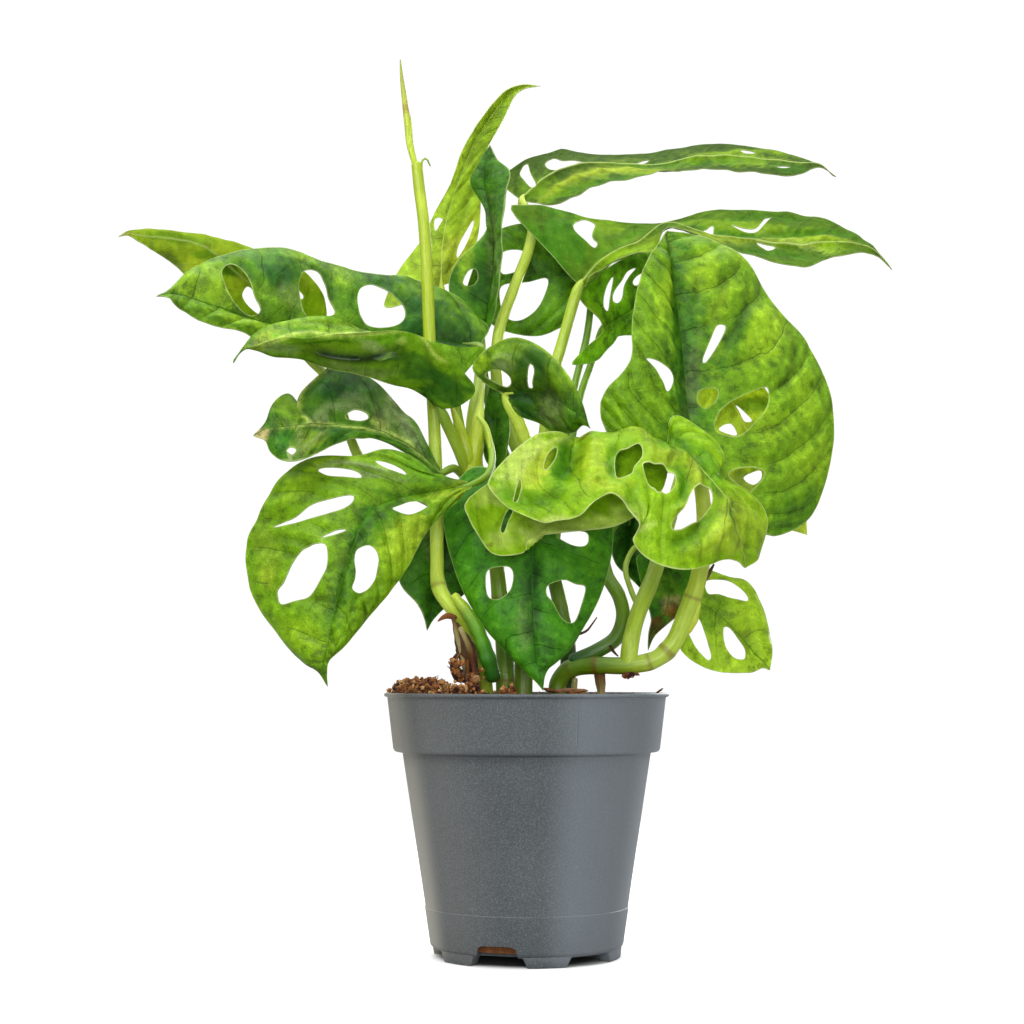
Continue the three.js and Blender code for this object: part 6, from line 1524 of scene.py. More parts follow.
class Graph:
    """Node tree that is filled in from code."""

    def __init__(self, tree: Tree) -> None:
        """Keeps the tree.

        Args:
            tree: Node tree of a material, a world or a group.
        """
        self.tree = tree

    def feed(self, socket: Socket, value: object) -> None:
        """Links an output to a socket, or sets the socket to a value.

        Args:
            socket: Input socket of a node.
            value: Output socket of another node, a number, or a colour or vector.
        """
        if isinstance(value, Socket):
            self.tree.links.new(value, socket)
        elif socket.type == "RGBA" and not isinstance(value, float):
            socket.default_value = (*value, 1.0)
        else:
            socket.default_value = value

    def add(self, kind: str, inputs: dict[str, object] | None = None, **settings: object) -> Node:
        """Adds a node.

        Args:
            kind: Type of the node.
            inputs: Values or outputs for its sockets, by name.
            settings: Other properties of the node.

        Returns:
            The node.
        """
        node = self.tree.nodes.new(kind)
        for name, value in settings.items():
            setattr(node, name, value)
        self.fill(node, inputs or {})
        return node

    def fill(self, node: Node, inputs: dict[str, object]) -> None:
        """Feeds the sockets of a node, by name."""
        for name, value in inputs.items():
            self.feed(node.inputs[name], value)

    def surface(self, shader: Node, inputs: dict[str, object]) -> None:
        """Feeds a shader and puts it on the surface."""
        self.fill(shader, inputs)
        self.add("ShaderNodeOutputMaterial", {"Surface": shader.outputs[0]})

    def math(self, operation: str, *values: object) -> Socket:
        """Result of a sum or other operation on numbers.

        Args:
            operation: Its name.
            values: Numbers, or outputs that give them.

        Returns:
            The result.
        """
        node = self.add("ShaderNodeMath", operation=operation)
        for socket, value in zip(node.inputs, values):
            self.feed(socket, value)
        return node.outputs[0]

    def step(self, value: object, low: float, high: object, start: float = 0.0, end: float = 1.0) -> Socket:
        """Smooth step from start to end as a value passes from low to high."""
        limits = {"Value": value, "From Min": low, "From Max": high, "To Min": start, "To Max": end}
        return self.add("ShaderNodeMapRange", limits, interpolation_type="SMOOTHSTEP").outputs[0]

    def fall(self, value: object, reach: object) -> Socket:
        """Smooth fall from 1 to 0 as a value passes from 0 to a reach."""
        return self.step(value, 0.0, reach, 1.0, 0.0)

    def blend(self, share: object, first: object, second: object) -> Socket:
        """Mix of two colours.

        Args:
            share: Share of the second colour.
            first: First colour.
            second: Second colour.

        Returns:
            The mixed colour.
        """
        node = self.add("ShaderNodeMix", data_type="RGBA")
        for place, value in ((0, share), (6, first), (7, second)):
            self.feed(node.inputs[place], value)
        return node.outputs[2]

    def tune(self, colour: object, hue: float, saturation: float, value: float) -> Socket:
        """Colour with its hue, saturation and value changed."""
        inputs = {"Hue": hue, "Saturation": saturation, "Value": value, "Color": colour}
        return self.add("ShaderNodeHueSaturation", inputs).outputs[0]

    def attribute(self, name: str, output: str = "Color") -> Socket:
        """Value that the mesh holds at each corner."""
        return self.add("ShaderNodeAttribute", attribute_name=name).outputs[output]

    def position(self) -> Socket:
        """Place on the object, in metres."""
        return self.add("ShaderNodeTexCoord").outputs["Object"]

    def noise(self, vector: object, size: float, detail: float = 3.0) -> Socket:
        """Cloudy pattern from 0 to 1 with lumps of one size, in the unit of the vector."""
        return self.texture(vector, 1 / size, detail)

    def bump(self, height: object, depth: float, strength: float = 1.0) -> Socket:
        """Normal of a fine relief.

        Args:
            height: Height from 0 to 1.
            depth: Depth of the relief, in metres.
            strength: Share of it that shows.

        Returns:
            The normal.
        """
        inputs = {"Height": height, "Distance": depth, "Strength": strength}
        return self.add("ShaderNodeBump", inputs).outputs[0]

    def group(self, tree: Tree, inputs: dict[str, object]) -> Node:
        """Places a shared group and sets its inputs."""
        return self.add("ShaderNodeGroup", inputs, node_tree=tree)

    def map(self, name: str) -> Socket:
        """Flat map that the mesh holds."""
        return self.add("ShaderNodeUVMap", uv_map=name).outputs[0]

    def texture(self, vector: object, scale: object, detail: float) -> Socket:
        """Cloudy pattern from 0 to 1 at a scale."""
        inputs = {"Vector": vector, "Scale": scale, "Detail": detail}
        return self.add("ShaderNodeTexNoise", inputs).outputs[0]


def new_group(name: str, inputs: dict[str, float], outputs: list[str]) -> tuple[Graph, Node, Node]:
    """Starts a shared group of nodes.

    Args:
        name: Its name.
        inputs: Its numbers, each with the value it has at first.
        outputs: Names of its outputs, which are numbers.

    Returns:
        Its graph, its input node and its output node.
    """
    tree = bpy.data.node_groups.new(name, "ShaderNodeTree")
    for label, value in inputs.items():
        socket = tree.interface.new_socket(label, in_out="INPUT", socket_type="NodeSocketFloat")
        socket.default_value = value
    for label in outputs:
        tree.interface.new_socket(label, in_out="OUTPUT", socket_type="NodeSocketFloat")
    graph = Graph(tree)
    return graph, graph.add("NodeGroupInput"), graph.add("NodeGroupOutput")


def leaf_pattern() -> Tree:
    """Veins and mottling of a leaf, drawn on its vein map, with painted shade beside the rib and in the
    valleys along the side veins.

    Returns:
        Group whose outputs are masks from 0 to 1, and the height of the relief.
    """
    graph, given, out = new_group(
        "leaf_pattern", {"Rib width": 0.5, "Vein width": 0.05, "Shade width": 7.0},
        ["Rib", "Veins", "Light", "Height", "Fine"])
    place = graph.position()
    uv = graph.add("ShaderNodeSeparateXYZ", {"Vector": graph.map("veins")})
    wave = graph.math("MULTIPLY_ADD", graph.noise(place, 0.009), 0.24, -0.12)
    count = graph.math("ADD", uv.outputs[0], wave)
    away = graph.math("MULTIPLY", graph.math("ABSOLUTE", uv.outputs[1]), 100.0)
    middle = graph.math("ABSOLUTE", graph.math("SUBTRACT", graph.math("FRACT", count), 0.5))
    gap = graph.math("SUBTRACT", 0.5, middle)
    thin = graph.fall(gap, given.outputs[1])
    margin = graph.attribute("edge", "Fac")
    veins = graph.math("MULTIPLY", thin, graph.step(margin, 0.5, 6.0, 0.1, 1.0))
    branches = graph.math("MULTIPLY_ADD", away, 0.16, graph.math("MULTIPLY", count, 2.0))
    cross = graph.math("ABSOLUTE", graph.math("SUBTRACT", graph.math("FRACT", branches), 0.5))
    minor = graph.math("MULTIPLY", graph.step(cross, 0.0, 0.06, 1.0, 0.0), graph.step(gap, 0.0, 0.35))
    broad = graph.step(gap, 0.0, 0.3)
    rib = graph.fall(away, given.outputs[0])
    # Mask of the painted shade beside the rib, as wide as the Shade width.
    painted_rib_shade = graph.fall(away, given.outputs[2])
    clouds = graph.math("SUBTRACT", graph.noise(place, 0.014, 3.0), 0.5)
    mottle = graph.math("SUBTRACT", graph.noise(place, 0.0036, 3.5), 0.5)
    fine = graph.noise(place, 0.0007, 3.0)
    along = graph.add("ShaderNodeCombineXYZ", {"X": graph.math("MULTIPLY", count, 3.4),
                                               "Y": graph.math("MULTIPLY", away, 0.13)})
    streaks = graph.math("SUBTRACT", graph.noise(along.outputs[0], 1.0, 3.0), 0.5)
    light = graph.math("MULTIPLY_ADD", clouds, 1.0, 0.5)
    light = graph.math("MULTIPLY_ADD", mottle, 1.9, light)
    light = graph.math("MULTIPLY_ADD", streaks, 1.2, light)
    # Painted light and shade: the Light mask is raised on the bulges between side veins and lowered in the
    # valleys by them and beside the rib, as light falls on the quilted blade.
    light = graph.math("MULTIPLY_ADD", broad, 0.14, graph.math("SUBTRACT", light, 0.1))
    light = graph.math("MULTIPLY_ADD", painted_rib_shade, -0.3, light)
    light = graph.math("MULTIPLY_ADD", graph.math("SUBTRACT", fine, 0.5), 1.2, light)
    height = graph.math("MULTIPLY_ADD", veins, -0.6, graph.math("MULTIPLY", broad, 0.4))
    height = graph.math("MULTIPLY_ADD", minor, -0.16, height)
    height = graph.math("MULTIPLY_ADD", streaks, 0.5, height)
    height = graph.math("MULTIPLY_ADD", fine, 0.2, height)
    height = graph.math("MULTIPLY_ADD", mottle, 1.0, height)
    for place_out, value in enumerate((rib, veins, light, height, fine)):
        graph.feed(out.inputs[place_out], value)
    return graph.tree


def speckle_pattern() -> Tree:
    """Clouds, specks and grain on the place of a piece, for plastic, stems, bark and peat.

    Returns:
        Group whose outputs are masks from 0 to 1.
    """
    graph, given, out = new_group("speckle_pattern", {"Cloud size": 0.02, "Speck size": 0.0012},
                                  ["Clouds", "Specks", "Grain"])
    place = graph.position()
    cloud_scale = graph.math("DIVIDE", 1.0, given.outputs[0])
    speck_scale = graph.math("DIVIDE", 1.0, given.outputs[1])
    clouds = graph.texture(place, cloud_scale, 4.0)
    cells = graph.add("ShaderNodeTexVoronoi", {"Vector": place, "Scale": speck_scale}).outputs[0]
    grain = graph.texture(place, speck_scale, 3.0)
    for place_out, value in enumerate((clouds, graph.step(cells, 0.1, 0.35, 1.0, 0.0), grain)):
        graph.feed(out.inputs[place_out], value)
    return graph.tree


class Patterns:
    """Shared groups, each built once."""

    def __init__(self) -> None:
        """Builds the groups."""
        self.leaf = leaf_pattern()
        self.speckle = speckle_pattern()


PATTERNS = Patterns()


def new_material(name: str) -> tuple[Material, Graph, Node]:
    """Starts a material.

    Args:
        name: Its name.

    Returns:
        The material, its graph and its surface shader, not yet linked to the output.
    """
    material = bpy.data.materials.new(f"{name}_finish")
    material.use_nodes = True
    material.node_tree.nodes.clear()
    graph = Graph(material.node_tree)
    return material, graph, graph.add("ShaderNodeBsdfPrincipled")


@dataclass(frozen=True)
class LeafFinish:
    """Finish of one kind of leaf, over the colours that its mesh holds.

    Attributes:
        slot: Slot of the record.
        vein: Change of brightness along the side veins.
        rib: Screen colour of the rib on the upper side.
        mottle: How strongly light and dark patches show, both the mottling and the painted shade by the rib
            and side veins.
        margin: How strongly the pale margin shows.
        roughness: Roughness of the upper side.
        glow: Share of light that passes through the blade.
        UNDER_TINT: Screen colour that the under side is mixed with.
        UNDER_RIB: Screen colour of the rib on the under side.
        PALE_MARGIN: Screen colour of the pale margin.
    """

    slot: str
    vein: float
    rib: int
    mottle: float
    margin: float
    roughness: float
    glow: float
    UNDER_TINT: ClassVar[int] = 0x9BB060
    UNDER_RIB: ClassVar[int] = 0xB9CC78
    PALE_MARGIN: ClassVar[int] = 0xCFDC92

    def material(self, side: Side) -> Material:
        """Satin blade with fine veins and mottled flesh.

        Args:
            side: Face of the leaf.

        Returns:
            The material.
        """
        material, graph, shader = new_material(f"{self.slot}_{side.value}")
        under = side is Side.UNDER
        pattern = graph.group(PATTERNS.leaf, {"Rib width": 1.0 if under else 0.5, "Vein width": 0.026,
                                              "Shade width": 6.0 if under else 9.0})
        tint = graph.attribute("tint")
        if under:
            tint = graph.blend(0.05, tint, pigment(self.UNDER_TINT))
        # The Light mask holds the mottling and the painted shade by the rib and side veins; it picks
        # between a darker and a paler copy of the tint.
        light = pattern.outputs["Light"]
        patchy = self.mottle * (0.65 if under else 1.0)
        dark, pale = graph.tune(tint, 0.504, 1.05, 0.32), graph.tune(tint, 0.49, 0.98, 1.75)
        body = graph.blend(graph.step(light, -0.1, 0.5, 1 - patchy, 1.0), dark, tint)
        body = graph.blend(graph.step(light, 0.5, 1.15, 0.0, patchy), body, pale)
        vein_share = graph.math("MULTIPLY", pattern.outputs["Veins"], 0.55)
        body = graph.blend(vein_share, body, graph.tune(body, 0.5, 0.9, 1.45 if under else self.vein))
        rib_share = graph.math("MULTIPLY", pattern.outputs["Rib"], 0.8)
        body = graph.blend(rib_share, body, pigment(self.UNDER_RIB if under else self.rib))
        edge = graph.step(graph.attribute("edge", "Fac"), 0.05, 0.5, self.margin, 0.0)
        body = graph.blend(edge, body, pigment(self.PALE_MARGIN))
        least = self.roughness + (0.06 if under else -0.1)
        rough = graph.math("MULTIPLY_ADD", pattern.outputs["Fine"], 0.2, least)
        normal = graph.bump(pattern.outputs["Height"], 0.0008, 0.8)
        graph.fill(shader, {"Base Color": body, "Roughness": rough, "Normal": normal,
                            "Specular IOR Level": 0.05 if under else 0.18})
        through = graph.add("ShaderNodeBsdfTranslucent", {"Color": graph.tune(body, 0.485, 1.05, 1.3)})
        shares = {0: self.glow, 1: shader.outputs[0], 2: through.outputs[0]}
        mixed = graph.add("ShaderNodeMixShader", shares)
        graph.add("ShaderNodeOutputMaterial", {"Surface": mixed.outputs[0]})
        return material


LEAF_FINISHES: dict[Foliage, LeafFinish] = {
    Foliage.DEEP: LeafFinish("leaf_deep", 0.6, 0x34600F, 0.75, 0.4, 0.52, 0.1),
    Foliage.MID: LeafFinish("leaf_mid", 0.65, 0x4E7A1E, 0.8, 0.4, 0.48, 0.14),
    Foliage.LIGHT: LeafFinish("leaf_light", 0.7, 0x4F7F20, 0.7, 0.28, 0.48, 0.16),
    Foliage.YOUNG: LeafFinish("leaf_young", 0.8, 0xC2DB70, 0.55, 0.9, 0.45, 0.32),
    Foliage.YELLOW: LeafFinish("leaf_yellow", 0.75, 0xD8E86A, 0.5, 0.5, 0.5, 0.55),
}


@dataclass(frozen=True)
class StemFinish:
    """Finish of stems and roots, coloured by what the mesh holds.

    Attributes:
        slot: Slot of the record.
        streaks: How strongly streaks along the stem show.
        roughness: Usual roughness.
        relief: Depth of the relief, in metres.
        cloud: Size of the clouds, in metres.
    """

    slot: str
    streaks: float
    roughness: float
    relief: float
    cloud: float

    def material(self) -> Material:
        """Stem with streaks along it, specks and darker scars.

        Returns:
            The material.
        """
        material, graph, shader = new_material(self.slot)
        pattern = graph.group(PATTERNS.speckle, {"Cloud size": self.cloud, "Speck size": 0.0011})
        around = graph.add("ShaderNodeMapping", {"Vector": graph.map("around"), "Scale": (1.1, 22.0, 1.0)})
        streak = graph.texture(around.outputs[0], 1.0, 3.0)
        tint = graph.attribute("tint")
        dark = graph.tune(tint, 0.51, 1.05, 0.6)
        body = graph.blend(graph.step(streak, 0.35, 0.6, self.streaks, 0.0), tint, dark)
        body = graph.blend(graph.step(pattern.outputs["Clouds"], 0.5, 0.75, 0.0, 0.55), body,
                           graph.tune(tint, 0.49, 0.95, 1.4))
        body = graph.blend(graph.math("MULTIPLY", pattern.outputs["Specks"], 0.18), body,
                           graph.tune(tint, 0.5, 0.8, 1.7))
        scar = graph.attribute("scar", "Fac")
        body = graph.blend(graph.math("MULTIPLY", scar, 0.6), body, pigment(Tint.BROWN.value))
        height = graph.math("MULTIPLY_ADD", pattern.outputs["Grain"], 0.4, streak)
        rough = graph.math("MULTIPLY_ADD", pattern.outputs["Clouds"], 0.2, self.roughness - 0.1)
        normal = graph.bump(height, self.relief)
        graph.surface(shader, {"Base Color": body, "Normal": normal, "Roughness": rough})
        return material


@dataclass(frozen=True)
class PlasticFinish:
    """Matt recycled plastic of the pot.

    Attributes:
        slot: Slot of the record.
        tint: Screen colour.
        roughness: Usual roughness.
        seams: Turns of the faint upright mould lines on the collar, in radians.
        painted_side_light: Painted light and reflection on the sides, lighter and beige on the left and
            lighter blue-grey on the right, each as the cosines of the turn at both ends, its strength there
            and its colour.
    """

    slot: str = "pot_plastic"
    tint: int = 0x4F5457
    roughness: float = 0.5
    seams: tuple[float, ...] = (math.radians(-153), math.radians(-70), math.radians(27))
    painted_side_light: tuple[tuple[float, float, float, float, int], ...] = (
        (-0.8, -0.1, 0.12, 0.0, 0xB2AFA2), (-1.0, -0.78, 0.8, 0.0, 0xB2AFA2),
        (0.08, 0.45, 0.0, 0.45, 0x878F96), (0.8, 1.0, 0.0, 0.5, 0x878F96))

    def material(self) -> Material:
        """Slate plastic with fine specks and scratches, and painted light and reflection on its sides.

        Returns:
            The material.
        """
        material, graph, shader = new_material(self.slot)
        pattern = graph.group(PATTERNS.speckle, {"Cloud size": 0.025, "Speck size": 0.00055})
        place = graph.position()
        base = pigment(self.tint)
        body = graph.blend(graph.step(pattern.outputs["Clouds"], 0.3, 0.7), base * 0.86, base * 1.12)
        body = graph.blend(graph.step(pattern.outputs["Grain"], 0.35, 0.65, 0.5, 0.0), body, base * 0.5)
        body = graph.blend(graph.step(pattern.outputs["Grain"], 0.45, 0.7, 0.0, 0.8), body, base * 1.8)
        body = graph.blend(graph.math("MULTIPLY", pattern.outputs["Specks"], 0.12), body, pigment(0xA4AFB4))
        stretched = graph.add("ShaderNodeMapping", {"Vector": place, "Scale": (60.0, 60.0, 900.0)})
        scratch = graph.step(graph.texture(stretched.outputs[0], 1.0, 1.0), 0.76, 0.84, 0.0, 0.3)
        body = graph.blend(scratch, body, pigment(0xAAB0B2))
        apart = graph.add("ShaderNodeSeparateXYZ", {"Vector": place})
        turn = graph.math("ARCTAN2", apart.outputs[1], apart.outputs[0])
        aside = graph.math("COSINE", turn)
        # Painted light: the sides are lighter, beige on the left and blue-grey on the right, where the
        # studio light and its reflection fall.
        for low, high, start, end, tone in self.painted_side_light:
            body = graph.blend(graph.step(aside, low, high, start, end), body, pigment(tone))
        # Mould lines: real seams on the collar, drawn lighter as a painted highlight along them, and raised
        # by the bump.
        lines = 0.0
        for seam in self.seams:
            off = graph.math("ABSOLUTE", graph.math("SUBTRACT", turn, seam))
            lines = graph.math("MAXIMUM", lines, graph.step(off, 0.002, 0.007, 1.0, 0.0))
        lines = graph.math("MULTIPLY", lines, graph.step(apart.outputs[2], 0.0852, 0.0862))
        body = graph.blend(graph.math("MULTIPLY", lines, 0.16), body, pigment(0xA8B0B4))
        grains = graph.math("MULTIPLY", pattern.outputs["Grain"], 0.5)
        height = graph.math("MULTIPLY_ADD", lines, 1.2, grains)
        rough = graph.math("MULTIPLY_ADD", pattern.outputs["Clouds"], 0.18, self.roughness - 0.09)
        normal = graph.bump(height, 0.00025)
        graph.surface(shader, {"Base Color": body, "Normal": normal, "Roughness": rough})
        return material


@dataclass(frozen=True)
class PeatFinish:
    """Loose brown peat and coir, coloured crumb by crumb."""

    slot: str = "soil"

    def material(self) -> Material:
        """Dull crumbs with grainy faces.

        Returns:
            The material.
        """
        material, graph, shader = new_material(self.slot)
        pattern = graph.group(PATTERNS.speckle, {"Cloud size": 0.004, "Speck size": 0.0007})
        tint = graph.attribute("tint")
        dark = graph.tune(tint, 0.5, 1.0, 0.55)
        body = graph.blend(graph.step(pattern.outputs["Clouds"], 0.35, 0.65), dark, tint)
        body = graph.blend(graph.math("MULTIPLY", pattern.outputs["Specks"], 0.25), body,
                           graph.tune(tint, 0.5, 0.8, 1.8))
        height = graph.math("MULTIPLY_ADD", pattern.outputs["Grain"], 0.6, pattern.outputs["Clouds"])
        rough = graph.step(pattern.outputs["Grain"], 0.2, 0.8, 0.85, 1.0)
        normal = graph.bump(height, 0.0008)
        graph.surface(shader, {"Base Color": body, "Normal": normal, "Roughness": rough})
        return material


# Meshes


def only(piece: Piece) -> None:
    """Makes a piece the only selected one, and the active one.

    Args:
        piece: The piece.
    """
    bpy.ops.object.select_all(action="DESELECT")
    piece.select_set(True)
    bpy.context.view_layer.objects.active = piece


def new_piece(name: str, corners: Array, faces: list, edges: list | None = None) -> Piece:
    """Mesh object at the origin.

    Args:
        name: Its name.
        corners: Corners in millimetres.
        faces: Faces, as corners.
        edges: Edges, where it has no faces.

    Returns:
        The object.
    """
    mesh = bpy.data.meshes.new(name)
    mesh.from_pydata((np.asarray(corners) * MM).tolist(), edges or [], faces)
    mesh.update()
    piece = bpy.data.objects.new(name, mesh)
    bpy.context.collection.objects.link(piece)
    return piece


def hold(piece: Piece, name: str, values: Array) -> None:
    """Stores numbers or colours at the corners of a piece.

    Args:
        piece: The piece.
        name: Name of the attribute.
        values: One number or one linear colour a corner.
    """
    if values.ndim == 1:
        store = piece.data.attributes.new(name, "FLOAT", "POINT")
        store.data.foreach_set("value", values.astype(np.float32))
    else:
        store = piece.data.attributes.new(name, "FLOAT_COLOR", "POINT")
        full = np.concatenate([values, np.ones((len(values), 1))], 1)
        store.data.foreach_set("color", full.astype(np.float32).ravel())


def hold_map(piece: Piece, name: str, values: Array) -> None:
    """Stores a flat map of a piece, with one pair of numbers for each corner of each face."""
    layer = piece.data.uv_layers.new(name=name)
    layer.data.foreach_set("uv", values.astype(np.float32).ravel())


@contextmanager
def edited(piece: Piece) -> Iterator[None]:
    """Opens the whole mesh of a piece for editing, and turns its faces outward when it closes.

    Args:
        piece: The piece.

    Yields:
        Nothing.
    """
    only(piece)
    bpy.ops.object.mode_set(mode="EDIT")
    bpy.ops.mesh.select_all(action="SELECT")
    yield
    bpy.ops.mesh.select_all(action="SELECT")
    bpy.ops.mesh.normals_make_consistent(inside=False)
    bpy.ops.object.mode_set(mode="OBJECT")


def settle(piece: Piece, angle: float, slot: str, *nodes: str) -> None:
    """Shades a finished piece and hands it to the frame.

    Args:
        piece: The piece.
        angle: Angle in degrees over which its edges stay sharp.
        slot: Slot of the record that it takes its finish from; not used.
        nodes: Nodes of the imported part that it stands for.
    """
    only(piece)
    bpy.ops.object.shade_smooth_by_angle(angle=math.radians(angle))
    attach(piece, "root")
    if nodes:
        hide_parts(*nodes)
    log.info("%s: %d faces", piece.name, len(piece.data.polygons))


# Leaves, stems, pot and soil


class Foliages:
    """The leaves, each a closed blade with an upper and an under face."""

    def __init__(self, leaves: list[Leaf], looks: dict[str, Look]) -> None:
        """Keeps the leaves.

        Args:
            leaves: The traced leaves.
            looks: Their colours and fine folds, by leaf.
        """
        self.blades = {leaf.name: Blade(leaf, looks[leaf.name]) for leaf in leaves}
        self.materials: dict[tuple[Foliage, Side], Material] = {}

    def material(self, foliage: Foliage, side: Side) -> Material:
        """Material of one face, built when it is first asked for."""
        if (foliage, side) not in self.materials:
            self.materials[foliage, side] = LEAF_FINISHES[foliage].material(side)
        return self.materials[foliage, side]

    def build(self) -> None:
        """Builds every leaf."""
        for blade in self.blades.values():
            self.build_leaf(blade)

    def build_leaf(self, blade: Blade) -> Piece:
        """Builds one leaf.

        Args:
            blade: Its surface.

        Returns:
            The leaf.
        """
        sheet = blade.lay_out()
        upper, under = blade.corners(sheet)
        count = len(upper)
        faces = sheet.faces if blade.upper < 0 else sheet.faces[:, ::-1]
        pairs = np.concatenate([faces[:, [0, 1]], faces[:, [1, 2]], faces[:, [2, 0]]])
        known = set(map(tuple, pairs.tolist()))
        rim = np.array([(p, q) for p, q in known if (q, p) not in known])
        p, q = rim[np.lexsort(rim.T)].T
        walls = np.concatenate([np.stack([q, p, p + count], 1), np.stack([q, p + count, q + count], 1)])
        skin = np.concatenate([faces, faces[:, ::-1] + count, walls])
        leaf = blade.leaf
        piece = new_piece(f"{leaf.name}_blade", np.concatenate([upper, under]), skin.tolist())
        tints = blade.tints(sheet)
        hold(piece, "tint", np.concatenate([tints, tints]))
        hold(piece, "edge", np.tile(sheet.edge + (0 if blade.look.pale_edge else 1), 2))
        corner = skin % count
        halves = np.repeat(np.sign(sheet.flat[corner, 1].sum(1))[:, None], 3, axis=1)
        counted = blade.veins(sheet.along[corner].ravel(), sheet.side[corner].ravel(), halves.ravel())
        hold_map(piece, "veins", np.stack([counted, sheet.flat[corner, 1].ravel() / 100], 1))
        for side in Side:
            piece.data.materials.append(self.material(leaf.foliage, side))
        under_faces = np.zeros(len(skin), np.int32)
        under_faces[len(faces):2 * len(faces)] = 1
        piece.data.polygons.foreach_set("material_index", under_faces)
        settle(piece, 50, LEAF_FINISHES[leaf.foliage].slot, leaf.name)
        return piece


@dataclass
class Tube:
    """Round stem along a line of places.

    Attributes:
        places: Places of its middle, in millimetres.
        radii: Radius at each place.
        tints: Linear colour at each place.
        scars: Strength of the leaf scar at each place, from 0 to 1.
        sides: Corners round it.
        END_SIZES: Radii of the two rings that round each end, as shares.
        END_PUSH: How far they lie past the end, in radii.
    """

    places: Array
    radii: Array
    tints: Array
    scars: Array
    sides: int = 18
    END_SIZES: ClassVar[tuple[float, float]] = (0.55, 0.87)
    END_PUSH: ClassVar[tuple[float, float]] = (0.5, 0.22)

    def mesh(self) -> tuple[Array, list, Array, Array, Array]:
        """Mesh of the tube, with rounded ends.

        Returns:
            Its corners, its faces, the colours and scars of its corners, and its flat map.
        """
        sizes, push = np.array(self.END_SIZES), np.array(self.END_PUSH)
        places = np.concatenate([self.places[:1].repeat(2, 0), self.places, self.places[-1:].repeat(2, 0)])
        radii = np.concatenate([self.radii[0] * sizes, self.radii, self.radii[-1] * sizes[::-1]])
        lead = np.gradient(self.places, axis=0)
        lead /= np.maximum(size_of(lead), 1e-9)[:, None]
        places[:2] -= lead[0] * (self.radii[0] * push)[:, None]
        places[-2:] += lead[-1] * (self.radii[-1] * push[::-1])[:, None]
        lead = np.concatenate([lead[:1].repeat(2, 0), lead, lead[-1:].repeat(2, 0)])
        across = np.cross(lead[0], (0.0, 1.0, 0.2))
        n, rows = self.sides, len(places)
        turn = 2 * math.pi * np.arange(n) / n
        corners = []
        for place, ahead, radius in zip(places, lead, radii):
            across = across - ahead * (across @ ahead)
            across /= size_of(across)
            ring = np.cos(turn)[:, None] * across + np.sin(turn)[:, None] * np.cross(ahead, across)
            corners.append(place + radius * ring)
        passed = passed_along(places) / 10
        faces, maps = [], []
        for i, (low, high) in enumerate(zip(passed, passed[1:])):
            for k in range(n):
                here, beside = i * n + k, i * n + (k + 1) % n
                faces.append((here, beside, beside + n, here + n))
                maps += [(low, k / n), (low, (k + 1) / n), (high, (k + 1) / n), (high, k / n)]
        faces += [tuple(range(n - 1, -1, -1)), tuple(range((rows - 1) * n, rows * n))]
        maps += [(0.0, k / n) for k in range(n)] + [(passed[-1], k / n) for k in range(n)]
        tints = np.pad(self.tints, ((2, 2), (0, 0)), mode="edge").repeat(n, 0)
        scars = np.pad(self.scars, (2, 2), mode="edge").repeat(n)
        return np.concatenate(corners), faces, tints, scars, np.array(maps)


def joined(parts: list[tuple]) -> list:
    """Joins meshes into one.

    Args:
        parts: Meshes, each as its corners, its faces and any rows of numbers that go with them.

    Returns:
        The same for all of them together.
    """
    corners, _, *others = zip(*parts)
    faces, start = [], 0
    for part_corners, part_faces, *_ in parts:
        faces += [tuple(start + corner for corner in face) for face in part_faces]
        start += len(part_corners)
    return [np.concatenate(corners), faces, *map(np.concatenate, others)]


def stem_piece(name: str, mesh: list, finish: StemFinish, angle: float, node: str) -> Piece:
    """Piece made of tubes.

    Args:
        name: Its name.
        mesh: Its corners, faces, colours, scars and flat map.
        finish: Its finish.
        angle: Angle in degrees over which its edges stay sharp.
        node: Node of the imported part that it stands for.

    Returns:
        The piece.
    """
    corners, faces, tints, scars, around = mesh
    piece = new_piece(name, corners, faces)
    hold(piece, "tint", tints)
    hold(piece, "scar", scars)
    hold_map(piece, "around", around)
    piece.data.materials.append(finish.material())
    settle(piece, angle, finish.slot, node)
    return piece


